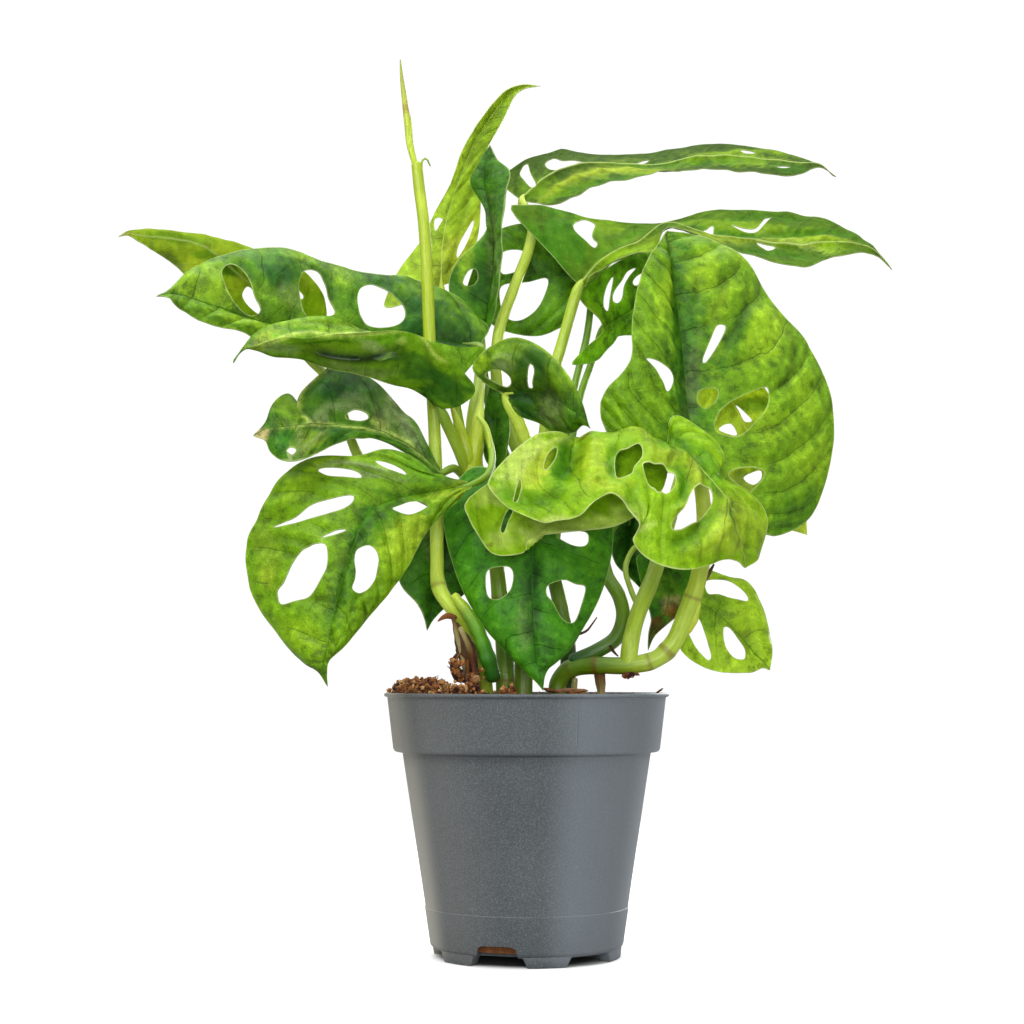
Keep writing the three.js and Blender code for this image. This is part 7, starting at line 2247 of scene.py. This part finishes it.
class Vines:
    """Stems, leaf stalks and roots.

    Lengths are in millimetres.

    Attributes:
        STEP: Gap between places along a stalk.
        STEM_END: Height of a stem's foot, in the soil.
        NODE_GAP: Gap between the rings where leaves grew.
        NODE_TOP: Height over which there are none.
        RIB_REACH: How far a stalk follows the rib of its leaf, in rows.
        TAPER: Length over which a stalk thins before its end.
        TIP_LOSS: Share of its width that it loses there.
        EVEN: Unevenness of a stem or leaf stalk, as a share of its radius, and its length.
        ROUGH: The same for old sheaths, strands and roots.
        NODE_RING: How far a ring stands out, as a share of the radius, and its half width.
        NODE_SCAR: Half width of its dark line.
        BROWN_RING: How far a brown ring stands out, and its half width.
        BROWN_SCAR: Strength and half width of its colour.
    """

    STEP = 1.3
    STEM_END = 90.0
    NODE_GAP = 34.0
    NODE_TOP = 165.0
    RIB_REACH = 0.35
    TAPER = 10.0
    TIP_LOSS = 0.72
    EVEN = (0.03, 16)
    ROUGH = (0.14, 5)
    NODE_RING = (0.07, 2.6)
    NODE_SCAR = 0.7
    BROWN_RING = (0.1, 2.2)
    BROWN_SCAR = (1.3, 1.1)

    def __init__(self, blades: dict[str, Blade]) -> None:
        """Keeps the blades that the stalks reach.

        Args:
            blades: Blades, by leaf.
        """
        self.blades = blades
        self.green = StemFinish("stalk", 0.35, 0.42, 0.00025, 0.012)
        self.bark = StemFinish("root", 0.8, 0.85, 0.0009, 0.005)

    def tube(self, stalk: Stalk, rooted: bool, noded: bool, seed: int) -> Tube:
        """Tube of one stalk.

        Args:
            stalk: The traced stalk.
            rooted: Whether it goes down into the soil.
            noded: Whether it has the rings where leaves grew.
            seed: Seed of its unevenness.

        Returns:
            The tube.
        """
        places = VIEW.place(np.array(stalk.route, float))
        if stalk.leaf:
            blade = self.blades[stalk.leaf]
            start = np.array([0.0, self.RIB_REACH])
            places = np.concatenate([places, blade.cage(start, 0 * start)])
        if rooted:
            places = np.concatenate([[[*places[0, :2], self.STEM_END]], places])
        line = route_curve(places, self.STEP)
        share = np.linspace(0, 1, len(line))
        widths = spread(np.array(stalk.width, float)[:, None], share)[:, 0]
        passed = share * size_of(np.diff(line, axis=0)).sum()
        if stalk.leaf:
            widths *= 1 - self.TIP_LOSS * smooth(1 - (passed[-1] - passed) / self.TAPER)
        depth, length = self.EVEN if noded or stalk.leaf else self.ROUGH
        uneven = 1 + depth * ripple(line, length, seed)
        scars = np.zeros(len(line))
        if noded:
            off = (passed + seed * 7.0) % self.NODE_GAP
            off = np.minimum(off, self.NODE_GAP - off)
            low = smooth((self.NODE_TOP - line[:, 2]) / 10)
            scars = low * np.exp(-(off / self.NODE_SCAR) ** 2)
            uneven += self.NODE_RING[0] * low * np.exp(-(off / self.NODE_RING[1]) ** 2)
        for ring in stalk.rings:
            off = passed - ring * passed[-1]
            scars = np.maximum(scars, self.BROWN_SCAR[0] * np.exp(-(off / self.BROWN_SCAR[1]) ** 2))
            uneven += self.BROWN_RING[0] * np.exp(-(off / self.BROWN_RING[1]) ** 2)
        tones = np.array([pigment(tone.value) for tone in stalk.tones])
        if len(tones) > 1:
            tints = spread(tones, share).clip(0, 1)
        else:
            tints = tones.repeat(len(line), 0)
        return Tube(line, widths / 2 * uneven, tints, scars)

    def build(self, stems: Stems, finish: StemFinish, noded: bool) -> Piece:
        """Builds one vine or root.

        Args:
            stems: The stem and its stalks.
            finish: Its finish.
            noded: Whether the stem has rings where leaves grew.

        Returns:
            The piece.
        """
        first = len(stems.name)
        parts = [self.tube(stalk, i == 0, noded and i == 0, first + i).mesh()
                 for i, stalk in enumerate(stems.stalks)]
        return stem_piece(f"{stems.name}_stems", joined(parts), finish, 60, stems.name)

    def build_all(self) -> None:
        """Builds the vines and the roots."""
        for stems in VINES:
            self.build(stems, self.green, True)
        for stems in ROOTS:
            self.build(stems, self.bark, False)


@dataclass
class RolledLeaf:
    """New leaf, still rolled, on the end of the left vine.

    Attributes:
        route: Traced points of its middle.
        width: Widths spread evenly along it, in millimetres.
        seam_turns: Turns that the rolled edge makes round it.
        FRESH: Screen colour of its foot.
        TIP: Screen colour of its tip.
    """

    route: tuple[Point, ...] = (
        (-46.8, 334, -18), (-47.6, 336.6, -18.1), (-49.5, 344, -16.5), (-50.3, 352, -15.5),
        (-51.5, 362, -14.5), (-52.8, 372, -13.5), (-53.5, 380, -13))
    width: tuple[float, ...] = (2.6, 3.1, 3.2, 2.6, 1.7, 0.5)
    seam_turns: float = 1.1
    FRESH: ClassVar[int] = 0xBBD23C
    TIP: ClassVar[int] = 0xA8B040

    def build(self) -> Piece:
        """Builds the leaf.

        Returns:
            The piece.
        """
        line = route_curve(VIEW.place(np.array(self.route)), 0.7)
        share = np.linspace(0, 1, len(line))
        radii = spread(np.array(self.width)[:, None], share)[:, 0] / 2
        fresh, tip = pigment(self.FRESH), pigment(self.TIP)
        tints = fresh + share[:, None] * (tip - fresh)
        brown = np.exp(-((share - 0.55) / 0.05) ** 2)[:, None] * 0.5
        tints = tints + brown * (pigment(Tint.RUST.value) - tints)
        tube = Tube(line, radii.clip(0.2), tints, 0 * share, 28)
        corners, faces, colours, scars, around = tube.mesh()
        rings = corners.reshape(-1, tube.sides, 3)
        middle = rings.mean(1, keepdims=True)
        turn = np.arange(tube.sides) / tube.sides
        seam = np.linspace(0, self.seam_turns, len(rings))[:, None]
        off = (turn[None] - seam) % 1
        rings = middle + (rings - middle) * (1.1 - 0.28 * off)[..., None]
        finish = StemFinish("leaf_yellow", 0.45, 0.4, 0.0003, 0.006)
        mesh = [rings.reshape(-1, 3), faces, colours, scars, around]
        return stem_piece("rolled_leaf_spear", mesh, finish, 40, "rolled_leaf")


@dataclass
class Pot:
    """Round nursery pot with a collar, six feet and three arches, in millimetres."""

    rim_radius: float = 60.0
    height: float = 109.3
    lip_height: float = 1.8
    collar_top_radius: float = 58.7
    collar_foot_radius: float = 56.1
    collar_foot: float = 85.0
    body_top_radius: float = 52.2
    body_foot_radius: float = 40.0
    wall: float = 1.6
    foot_height: float = 3.9
    floor_height: float = 5.5
    ledge_height: float = 20.5
    ledge_depth: float = 0.3
    sides: int = 192
    feet: int = 6
    foot_span: float = math.radians(31)
    foot_taper: float = math.radians(3.5)
    foot_depth: float = 5.0
    first_foot: float = math.radians(12)
    arch_half_width: float = 9.4
    arch_depth: float = 14.0
    arch_top: float = 8.7

    def body_radius(self, height: float) -> float:
        """Outer radius of the wall under the collar."""
        share = (height - self.foot_height - 1.2) / (self.collar_foot - 0.6 - self.foot_height - 1.2)
        return self.body_foot_radius + share * (self.body_top_radius - self.body_foot_radius)

    def section(self) -> list[tuple[float, float, float]]:
        """Section of the wall.

        Returns:
            Its corners, each as radius, height and how far it is rounded.
        """
        lip_foot = self.height - self.lip_height
        ledge = self.body_radius(self.ledge_height)
        return [
            (0, self.foot_height, 0), (self.body_foot_radius - 0.9, self.foot_height, 0.5),
            (self.body_foot_radius + self.ledge_depth, self.foot_height + 1.2, 1.0),
            (ledge + self.ledge_depth, self.ledge_height, 0.12), (ledge, self.ledge_height + 0.3, 0.1),
            (self.body_top_radius, self.collar_foot - 0.6, 0.4),
            (self.collar_foot_radius - 0.6, self.collar_foot, 0.5),
            (self.collar_foot_radius, self.collar_foot + 1.0, 0.7),
            (self.collar_top_radius, lip_foot, 0.3), (self.rim_radius, lip_foot + 0.4, 0.5),
            (self.rim_radius, self.height, 0.6), (self.rim_radius - 2.4, self.height, 0.6),
            (self.collar_foot_radius - self.wall - 0.4, self.collar_foot + 1, 0.5),
            (self.body_top_radius - self.wall, self.collar_foot - 1.6, 0.5),
            (self.body_foot_radius - self.wall + 0.4, self.floor_height, 0.8), (0, self.floor_height, 0),
        ]

    def rounded_section(self) -> Array:
        """Section with its corners rounded.

        Returns:
            Its points, as radius and height.
        """
        section = np.array(self.section())
        points = []
        for i, (radius, height, cut) in enumerate(section):
            here = np.array([radius, height])
            if cut == 0:
                points.append(here)
                continue
            ways = [section[i - 1, :2] - here, section[i + 1, :2] - here]
            start, end = (here + min(cut, 0.45 * size_of(way)) / size_of(way) * way for way in ways)
            for share in np.linspace(0, 1, 5):
                points.append((1 - share) ** 2 * start + 2 * share * (1 - share) * here + share ** 2 * end)
        return np.array(points)

    def shell(self) -> Piece:
        """Pot without its feet and arches, spun from its section.

        Returns:
            The pot.
        """
        section = self.rounded_section()
        corners = np.stack([section[:, 0], 0 * section[:, 0], section[:, 1]], 1)
        edges = [(i, i + 1) for i in range(len(corners) - 1)]
        piece = new_piece("pot_shell", corners, [], edges)
        with edited(piece):
            bpy.ops.mesh.spin(steps=self.sides, angle=2 * math.pi, center=(0, 0, 0), axis=(0, 0, 1))
            bpy.ops.mesh.select_all(action="SELECT")
            bpy.ops.mesh.remove_doubles(threshold=1e-6)
        return piece

    def foot(self, middle: float) -> Piece:
        """Foot under the wall, spun clockwise and a little narrower at the ground.

        Args:
            middle: Turn of its middle round the pot, in radians.

        Returns:
            The foot.
        """
        top, outer = self.foot_height + 1, self.body_foot_radius - 0.3
        start = middle + self.foot_span / 2
        section = [(outer - 0.5, 0.0), (outer, top), (outer - self.foot_depth, top),
                   (outer - 0.5 - self.foot_depth, 0.0)]
        corners = [(r * math.cos(start), r * math.sin(start), z) for r, z in section]
        piece = new_piece("pot_foot", np.array(corners), [(0, 1, 2, 3)])
        with edited(piece):
            bpy.ops.mesh.spin(steps=10, angle=self.foot_span, center=(0, 0, 0), axis=(0, 0, 1))
        narrow = 1 - 2 * self.foot_taper / self.foot_span
        for vertex in piece.data.vertices:
            if vertex.co.z < 0.5 * MM:
                radius = math.hypot(vertex.co.x, vertex.co.y)
                off = (math.atan2(vertex.co.y, vertex.co.x) - middle + math.pi) % (2 * math.pi) - math.pi
                turn = middle + off * narrow
                vertex.co.x, vertex.co.y = radius * math.cos(turn), radius * math.sin(turn)
        bevel = piece.modifiers.new("rounded", "BEVEL")
        bevel.width, bevel.segments, bevel.angle_limit = 0.5 * MM, 2, math.radians(40)
        bpy.ops.object.modifier_apply(modifier="rounded")
        return piece

    def arch(self, middle: float) -> Piece:
        """Block that cuts one arched opening through the foot of the wall.

        Args:
            middle: Turn of its middle round the pot, in radians.

        Returns:
            The block.
        """
        half, top = self.arch_half_width, self.arch_top
        rise = [(half, -0.5), (half - 1, top - 2.6), (half - 1.3, top - 1.2),
                (half - 2.4, top - 0.3), (half - 4.6, top)]
        outline = [*rise, *((-x, z) for x, z in reversed(rise))]
        out = np.array([math.cos(middle), math.sin(middle), 0.0])
        aside = np.array([-out[1], out[0], 0.0])
        start = self.body_foot_radius - self.arch_depth / 2
        corners = np.array([start * out + x * aside + (0, 0, z) for x, z in outline])
        piece = new_piece("pot_arch", corners, [tuple(range(len(corners)))])
        reach = out * self.arch_depth * MM
        with edited(piece):
            bpy.ops.mesh.extrude_region_move(TRANSFORM_OT_translate={"value": tuple(reach)})
        return piece

    @staticmethod
    def combine(piece: Piece, other: Piece, operation: str) -> None:
        """Joins or cuts a piece with another one.

        Args:
            piece: The piece.
            other: The other one, which is used up.
            operation: UNION to join them, DIFFERENCE to cut.
        """
        only(piece)
        cut = piece.modifiers.new("combine", "BOOLEAN")
        cut.object, cut.operation, cut.solver = other, operation, "MANIFOLD"
        bpy.ops.object.modifier_apply(modifier="combine")
        bpy.data.objects.remove(other)

    def build(self) -> Piece:
        """Builds the pot.

        Returns:
            The piece.
        """
        piece = self.shell()
        turn = 2 * math.pi / self.feet
        first = -math.pi / 2 + self.first_foot
        for i in range(self.feet):
            self.combine(piece, self.foot(first + i * turn), "UNION")
        for i in range(self.feet // 2):
            self.combine(piece, self.arch(first - turn / 2 + 2 * i * turn), "DIFFERENCE")
        piece.data.materials.clear()
        piece.data.materials.append(PlasticFinish().material())
        settle(piece, 32, "pot_plastic", "pot")
        return piece


@dataclass
class Soil:
    """Peat and coir that fill the pot, heaped at the left, with loose crumbs.

    Attributes:
        pot: Pot that holds it.
        top: Usual height of its top, in millimetres.
        crumbs: Number of loose crumbs on the top.
        fibres: Number of short fibres among them.
        seed: Seed of the crumbs.
        heaps: Heaps of soil, each as its height and, across and back, its middle and its half width.
        clumps: Clumps of crumbs, each as its middle, its half width and its number of crumbs.
        chips: Chips of bark, each as its middle, its half sizes, its turn in radians and its colour.
        browns: Colours of the crumbs.
        SIDES: Corners round the soil's body.
        RINGS: Rings of corners on its top, with the middle.
        CRUMB_SIZE: Least half size of a crumb, what chance adds to it, and the scale of that chance.
        FIBRE_LENGTH: Least and greatest half length of a fibre.
        FIBRE_WIDTH: Its half width.
    """

    pot: Pot
    top: float = 105.4
    crumbs: int = 1800
    fibres: int = 520
    seed: int = 5
    heaps: tuple[tuple[float, Spot, Spot], ...] = ((6.5, (-40, 17), (-20, 24)), (4.5, (-55, 8), (-4, 16)))
    clumps: tuple[tuple[Point, float, int], ...] = (
        ((-30, 125, -38), 1.6, 26), ((-29.5, 121, -37), 1.4, 18), ((-26.5, 118.5, -36), 1.6, 26),
        ((-23, 117.5, -36), 1.6, 22), ((-20.5, 121, -34), 1.2, 12), ((-42, 113, -34), 3.2, 60),
        ((-33, 113, -36), 3.0, 50), ((-24, 113, -38), 3.0, 50), ((-52, 112.5, -14), 3.0, 60),
        ((-8, 112.5, -38), 2.2, 40), ((44, 119.4, -21.5), 1.2, 16))
    chips: tuple[tuple[Point, Point, float, int], ...] = (
        ((16.5, 112.6, -34), (8.5, 2.6, 1.0), 0.03, 0xA87C56),
        ((11, 112.6, -38), (4.5, 1.8, 0.8), -0.2, 0x8A5E3C),
        ((56, 112.2, -4), (2.4, 0.6, 0.5), 0.6, 0x7A5236),
        ((22, 112.2, -38), (4.0, 1.5, 0.6), 0.1, 0x96683F))
    browns: tuple[int, ...] = (0xA2683A, 0x7E4E2C, 0xB27642, 0xC08850, 0x442818, 0xCEA068)

    SIDES: ClassVar[int] = 144
    RINGS: ClassVar[int] = 46
    CRUMB_SIZE: ClassVar[Point] = (0.3, 0.5, 0.38)
    FIBRE_LENGTH: ClassVar[Spot] = (1.2, 3.4)
    FIBRE_WIDTH: ClassVar[float] = 0.17

    def height(self, x: Array, y: Array) -> Array:
        """Height of the top at places.

        Args:
            x: Places across, in millimetres.
            y: Places back, in millimetres.

        Returns:
            The heights.
        """
        heap = sum(high * np.exp(-((x - across[0]) / across[1]) ** 2 - ((y - back[0]) / back[1]) ** 2)
                   for high, across, back in self.heaps)
        lumps = 0.9 * np.sin(0.31 * x + 1) * np.cos(0.27 * y) + 0.5 * np.sin(0.7 * x - 0.5 * y)
        return self.top + heap + lumps

    def fill(self) -> tuple[Array, list]:
        """Body of the soil, which keeps clear of the wall.

        Returns:
            Its corners and faces.
        """
        sides, pot, floor = self.SIDES, self.pot, self.pot.floor_height + 0.3
        turn = 2 * math.pi * np.arange(sides) / sides
        corners = [np.array([[0.0, 0.0, float(self.height(np.zeros(1), np.zeros(1))[0])]])]
        for radius in np.linspace(0, pot.rim_radius - 3.4, self.RINGS)[1:]:
            x, y = radius * np.cos(turn), radius * np.sin(turn)
            rough = [noise.fractal(Vector((a, b, 0)) * 0.35, 0.9, 2.2, 4) for a, b in zip(x, y)]
            corners.append(np.stack([x, y, self.height(x, y) + 1.1 * np.array(rough)], 1))
        for radius, height in ((pot.collar_foot_radius - pot.wall - 0.9, pot.collar_foot + 1.8),
                               (pot.body_top_radius - pot.wall - 0.6, pot.collar_foot - 1),
                               (pot.body_foot_radius - pot.wall - 0.2, floor)):
            ring = [radius * np.cos(turn), radius * np.sin(turn), np.full(sides, height)]
            corners.append(np.stack(ring, 1))
        rings = len(corners) - 1
        corners.append(np.array([[0.0, 0.0, floor]]))
        last = 1 + rings * sides
        faces = []
        for k in range(sides):
            beside = (k + 1) % sides
            faces.append((0, 1 + k, 1 + beside))
            for ring in range(rings - 1):
                inner, outer = 1 + ring * sides, 1 + (ring + 1) * sides
                faces.append((inner + k, outer + k, outer + beside, inner + beside))
            faces.append((last - sides + k, last, last - sides + beside))
        return np.concatenate(corners), faces

    def crumb_places(self, rng: np.random.Generator) -> Array:
        """Places of the crumbs, most of them on the heap.

        Args:
            rng: Source of chance.

        Returns:
            The places, one in each row.
        """
        count = self.crumbs
        reach = self.pot.rim_radius - 4.5
        radius = reach * np.sqrt(rng.uniform(0, 1, count))
        turn = rng.uniform(0, 2 * math.pi, count)
        spots = np.stack([radius * np.cos(turn), radius * np.sin(turn)], 1)
        heap = rng.normal(size=(count // 2, 2)) * (11, 14) + (-38, -22)
        heap = heap[size_of(heap) < reach]
        spots[:len(heap)] = heap
        lift = np.abs(rng.normal(size=count)) * 1.1
        places = [np.stack([spots[:, 0], spots[:, 1], self.height(*spots.T) + lift], 1)]
        for middle, width, number in self.clumps:
            scatter = rng.normal(size=(number, 3)) * (width, width, 0.5 * width)
            places.append(VIEW.place(np.array([middle], float)) + scatter)
        return np.concatenate(places)

    @staticmethod
    def lump(fineness: int) -> tuple[Array, list]:
        """Round lump, one millimetre in radius.

        Args:
            fineness: How often its faces are divided, from 1.

        Returns:
            Its corners and faces.
        """
        bpy.ops.object.select_all(action="DESELECT")
        bpy.ops.mesh.primitive_ico_sphere_add(subdivisions=fineness, radius=1.0)
        ball = bpy.context.active_object
        corners = np.array([vertex.co for vertex in ball.data.vertices])
        faces = [tuple(face.vertices) for face in ball.data.polygons]
        bpy.data.objects.remove(ball)
        return corners, faces

    @staticmethod
    def part(corners: Array, faces: list, tint: Array) -> tuple[Array, list, Array]:
        """One part of the soil, with its colour at each of its corners."""
        return corners, faces, tint[None].repeat(len(corners), 0)

    def loose_crumbs(self, rng: np.random.Generator, browns: Array) -> list[tuple]:
        """Crumbs of several sizes.

        Args:
            rng: Source of chance.
            browns: Their colours.

        Returns:
            One part a crumb.
        """
        ball, faces = self.lump(2)
        least, more, scale = self.CRUMB_SIZE
        parts = []
        for place in self.crumb_places(rng):
            size = least + more * rng.gamma(2.0, scale)
            stretch = size * rng.uniform(0.6, 1.5, 3)
            turned = np.linalg.qr(rng.normal(size=(3, 3)))[0]
            rough = ball * rng.uniform(0.7, 1.25, (len(ball), 1)) * stretch
            parts.append(self.part(rough @ turned + place, faces, browns[rng.integers(len(browns))]))
        return parts

    def loose_fibres(self, rng: np.random.Generator, browns: Array) -> list[tuple]:
        """Short bent fibres.

        Args:
            rng: Source of chance.
            browns: Their colours.

        Returns:
            One part a fibre.
        """
        thread, faces = self.lump(1)
        places = self.crumb_places(rng)
        still = 0 * thread[:, 0]
        sag = np.stack([still, 0.5 * thread[:, 0] ** 2, still], 1)
        parts = []
        for place in places[rng.integers(len(places), size=self.fibres)]:
            size = np.array([rng.uniform(*self.FIBRE_LENGTH), self.FIBRE_WIDTH, self.FIBRE_WIDTH])
            turned = np.linalg.qr(rng.normal(size=(3, 3)) * ((1, 1, 0.5),))[0]
            bent = (thread * size + sag) @ turned + place + (0, 0, 0.4)
            parts.append(self.part(bent, faces, browns[rng.integers(len(browns))] * 0.7))
        return parts

    def bark_chips(self, rng: np.random.Generator) -> list[tuple]:
        """Larger chips of bark.

        Args:
            rng: Source of chance.

        Returns:
            One part a chip.
        """
        ball, faces = self.lump(2)
        parts = []
        for middle, size, turn, code in self.chips:
            c, s = math.cos(turn), math.sin(turn)
            tilt = np.array([[c, 0, -s], [0, 1, 0], [s, 0, c]])
            rough = ball * rng.uniform(0.85, 1.15, (len(ball), 1)) * size
            place = VIEW.place(np.array([middle], float))
            parts.append(self.part(rough @ tilt.T + place, faces, pigment(code)))
        return parts

    def build(self) -> Piece:
        """Builds the soil with its crumbs in one mesh.

        Returns:
            The piece.
        """
        rng = np.random.default_rng(self.seed)
        browns = np.array([pigment(code) for code in self.browns])
        parts = [self.part(*self.fill(), browns[1]), *self.loose_crumbs(rng, browns),
                 *self.loose_fibres(rng, browns), *self.bark_chips(rng)]
        corners, faces, tints = joined(parts)
        piece = new_piece("soil_peat", corners, faces)
        hold(piece, "tint", tints)
        piece.data.materials.append(PeatFinish().material())
        settle(piece, 30, "soil", "soil")
        return piece


# Studio and the whole scene


class Studio:
    """Pale floor, soft light and the camera.

    Attributes:
        FLOOR_REACH: Distance from the middle of the floor to its sides, in metres.
        PAINTED_SHADOW_REACH: Distance from the pot's axis out to which the floor is painted dark grey as
            the pot's shadow, in metres.
        NEAR_FLOOR: Distance at which the floor starts to fade to white, in metres.
        FAR_FLOOR: Distance at which it is white, in metres.
    """

    FLOOR_REACH = 40.0
    PAINTED_SHADOW_REACH = 0.028
    NEAR_FLOOR = 0.25
    FAR_FLOOR = 0.9

    def floor(self) -> Piece:
        """Pale floor under the pot, with a painted shadow right under it.

        Returns:
            The floor.
        """
        bpy.ops.object.select_all(action="DESELECT")
        bpy.ops.mesh.primitive_plane_add(size=2 * self.FLOOR_REACH, location=(0, 0, 0))
        plane = bpy.context.active_object
        plane.name = "floor"
        material, graph, shader = new_material("floor_paint")
        place = graph.position()
        clouds = graph.noise(place, 0.3)
        seen = graph.add("ShaderNodeLightPath").outputs["Is Camera Ray"]
        paint = graph.blend(clouds, linear(0xF6F6F6), linear(0xFCFCFC))
        away = graph.add("ShaderNodeVectorMath", {0: place}, operation="LENGTH").outputs["Value"]
        # Painted shadow: the floor is dark grey under the pot and fades to the white paint just outside its
        # foot.
        clear = graph.step(away, self.PAINTED_SHADOW_REACH, self.PAINTED_SHADOW_REACH + 0.014)
        paint = graph.blend(clear, linear(0x404040), paint)
        graph.feed(shader.inputs["Base Color"], graph.blend(seen, linear(0xA0A0A0), paint))
        graph.feed(shader.inputs["Roughness"], graph.step(clouds, 0.0, 1.0, 0.75, 0.9))
        glow = graph.math("MULTIPLY_ADD", seen, 0.75, 0.3)
        white = graph.add("ShaderNodeEmission", {"Color": (1.0, 1.0, 1.0), "Strength": glow})
        sweep = graph.add("ShaderNodeMixShader", {0: graph.step(away, self.NEAR_FLOOR, self.FAR_FLOOR),
                                                  1: shader.outputs[0], 2: white.outputs[0]})
        graph.add("ShaderNodeOutputMaterial", {"Surface": sweep.outputs[0]})
        plane.data.materials.append(material)
        return plane

    def lamp(self, name: str, place: Point, aim: Point, size: float, power: float) -> Piece:
        """Soft square lamp.

        Args:
            name: Its name.
            place: Its place, in metres.
            aim: Place that it points at.
            size: Length of its sides, in metres.
            power: Power in watts.

        Returns:
            The lamp.
        """
        light = bpy.data.lights.new(name, "AREA")
        light.size, light.energy = size, power
        lamp = bpy.data.objects.new(name, light)
        bpy.context.collection.objects.link(lamp)
        lamp.location = place
        lamp.visible_camera = False
        lamp.rotation_euler = (Vector(aim) - Vector(place)).to_track_quat("-Z", "Y").to_euler()
        return lamp

    def sky(self) -> None:
        """Surround that is white to the camera, and lights from above more than from the front."""
        world = bpy.data.worlds.new("surround")
        world.use_nodes = True
        world.node_tree.nodes.clear()
        graph = Graph(world.node_tree)
        camera_sees = graph.add("ShaderNodeLightPath").outputs["Is Camera Ray"]
        ray = graph.add("ShaderNodeTexCoord").outputs["Generated"]
        way = graph.add("ShaderNodeSeparateXYZ", {"Vector": ray})
        above = graph.step(way.outputs[2], -0.1, 0.9, 0.16, 0.85)
        strength = graph.math("MULTIPLY_ADD", graph.step(way.outputs[1], -0.4, 0.8), 0.22, above)
        strength = graph.math("MAXIMUM", strength, graph.math("MULTIPLY", camera_sees, 1.05))
        ground = graph.add("ShaderNodeBackground", {"Color": (1.0, 1.0, 1.0), "Strength": strength})
        graph.add("ShaderNodeOutputWorld", {"Surface": ground.outputs[0]})
        bpy.context.scene.world = world

    def camera(self) -> None:
        """Camera at the photograph's viewpoint."""
        data = bpy.data.cameras.new("camera")
        data.lens, data.sensor_width = VIEW.lens, 36.0
        data.clip_end = 20.0
        camera = bpy.data.objects.new("camera", data)
        bpy.context.collection.objects.link(camera)
        camera.location = [value * MM for value in VIEW.eye]
        camera.rotation_euler = (math.pi / 2 + VIEW.tilt, 0, 0)
        bpy.context.scene.camera = camera

    def build(self) -> None:
        """Builds the floor, the light and the camera."""
        bpy.context.scene.view_settings.view_transform = "Standard"
        self.camera()
        self.floor()
        self.sky()
        self.lamp("lamp_key", (-0.8, -1.2, 1.4), (0, 0, 0.2), 0.8, 27)
        self.lamp("lamp_fill", (1.3, -1.1, 0.7), (0, 0, 0.2), 1.2, 7)
        self.lamp("lamp_top", (0.1, 0.3, 1.8), (0, 0, 0), 1.6, 25)
        self.lamp("lamp_front", (0.03, -1.3, 0.3), (0, 0, 0.2), 0.4, 8)
        self.lamp("lamp_back", (0.4, 0.7, 0.4), (0.05, 0, 0.22), 0.4, 6)


def main() -> None:
    """Builds the studio and the plant, piece by piece."""
    logging.basicConfig(level=logging.INFO, format="%(message)s")
    Studio().build()
    pot = Pot()
    pot.build()
    Soil(pot).build()
    foliage = Foliages(LEAVES, LOOKS)
    foliage.build()
    Vines(foliage.blades).build_all()
    RolledLeaf().build()


if __name__ == "__main__":
    main()
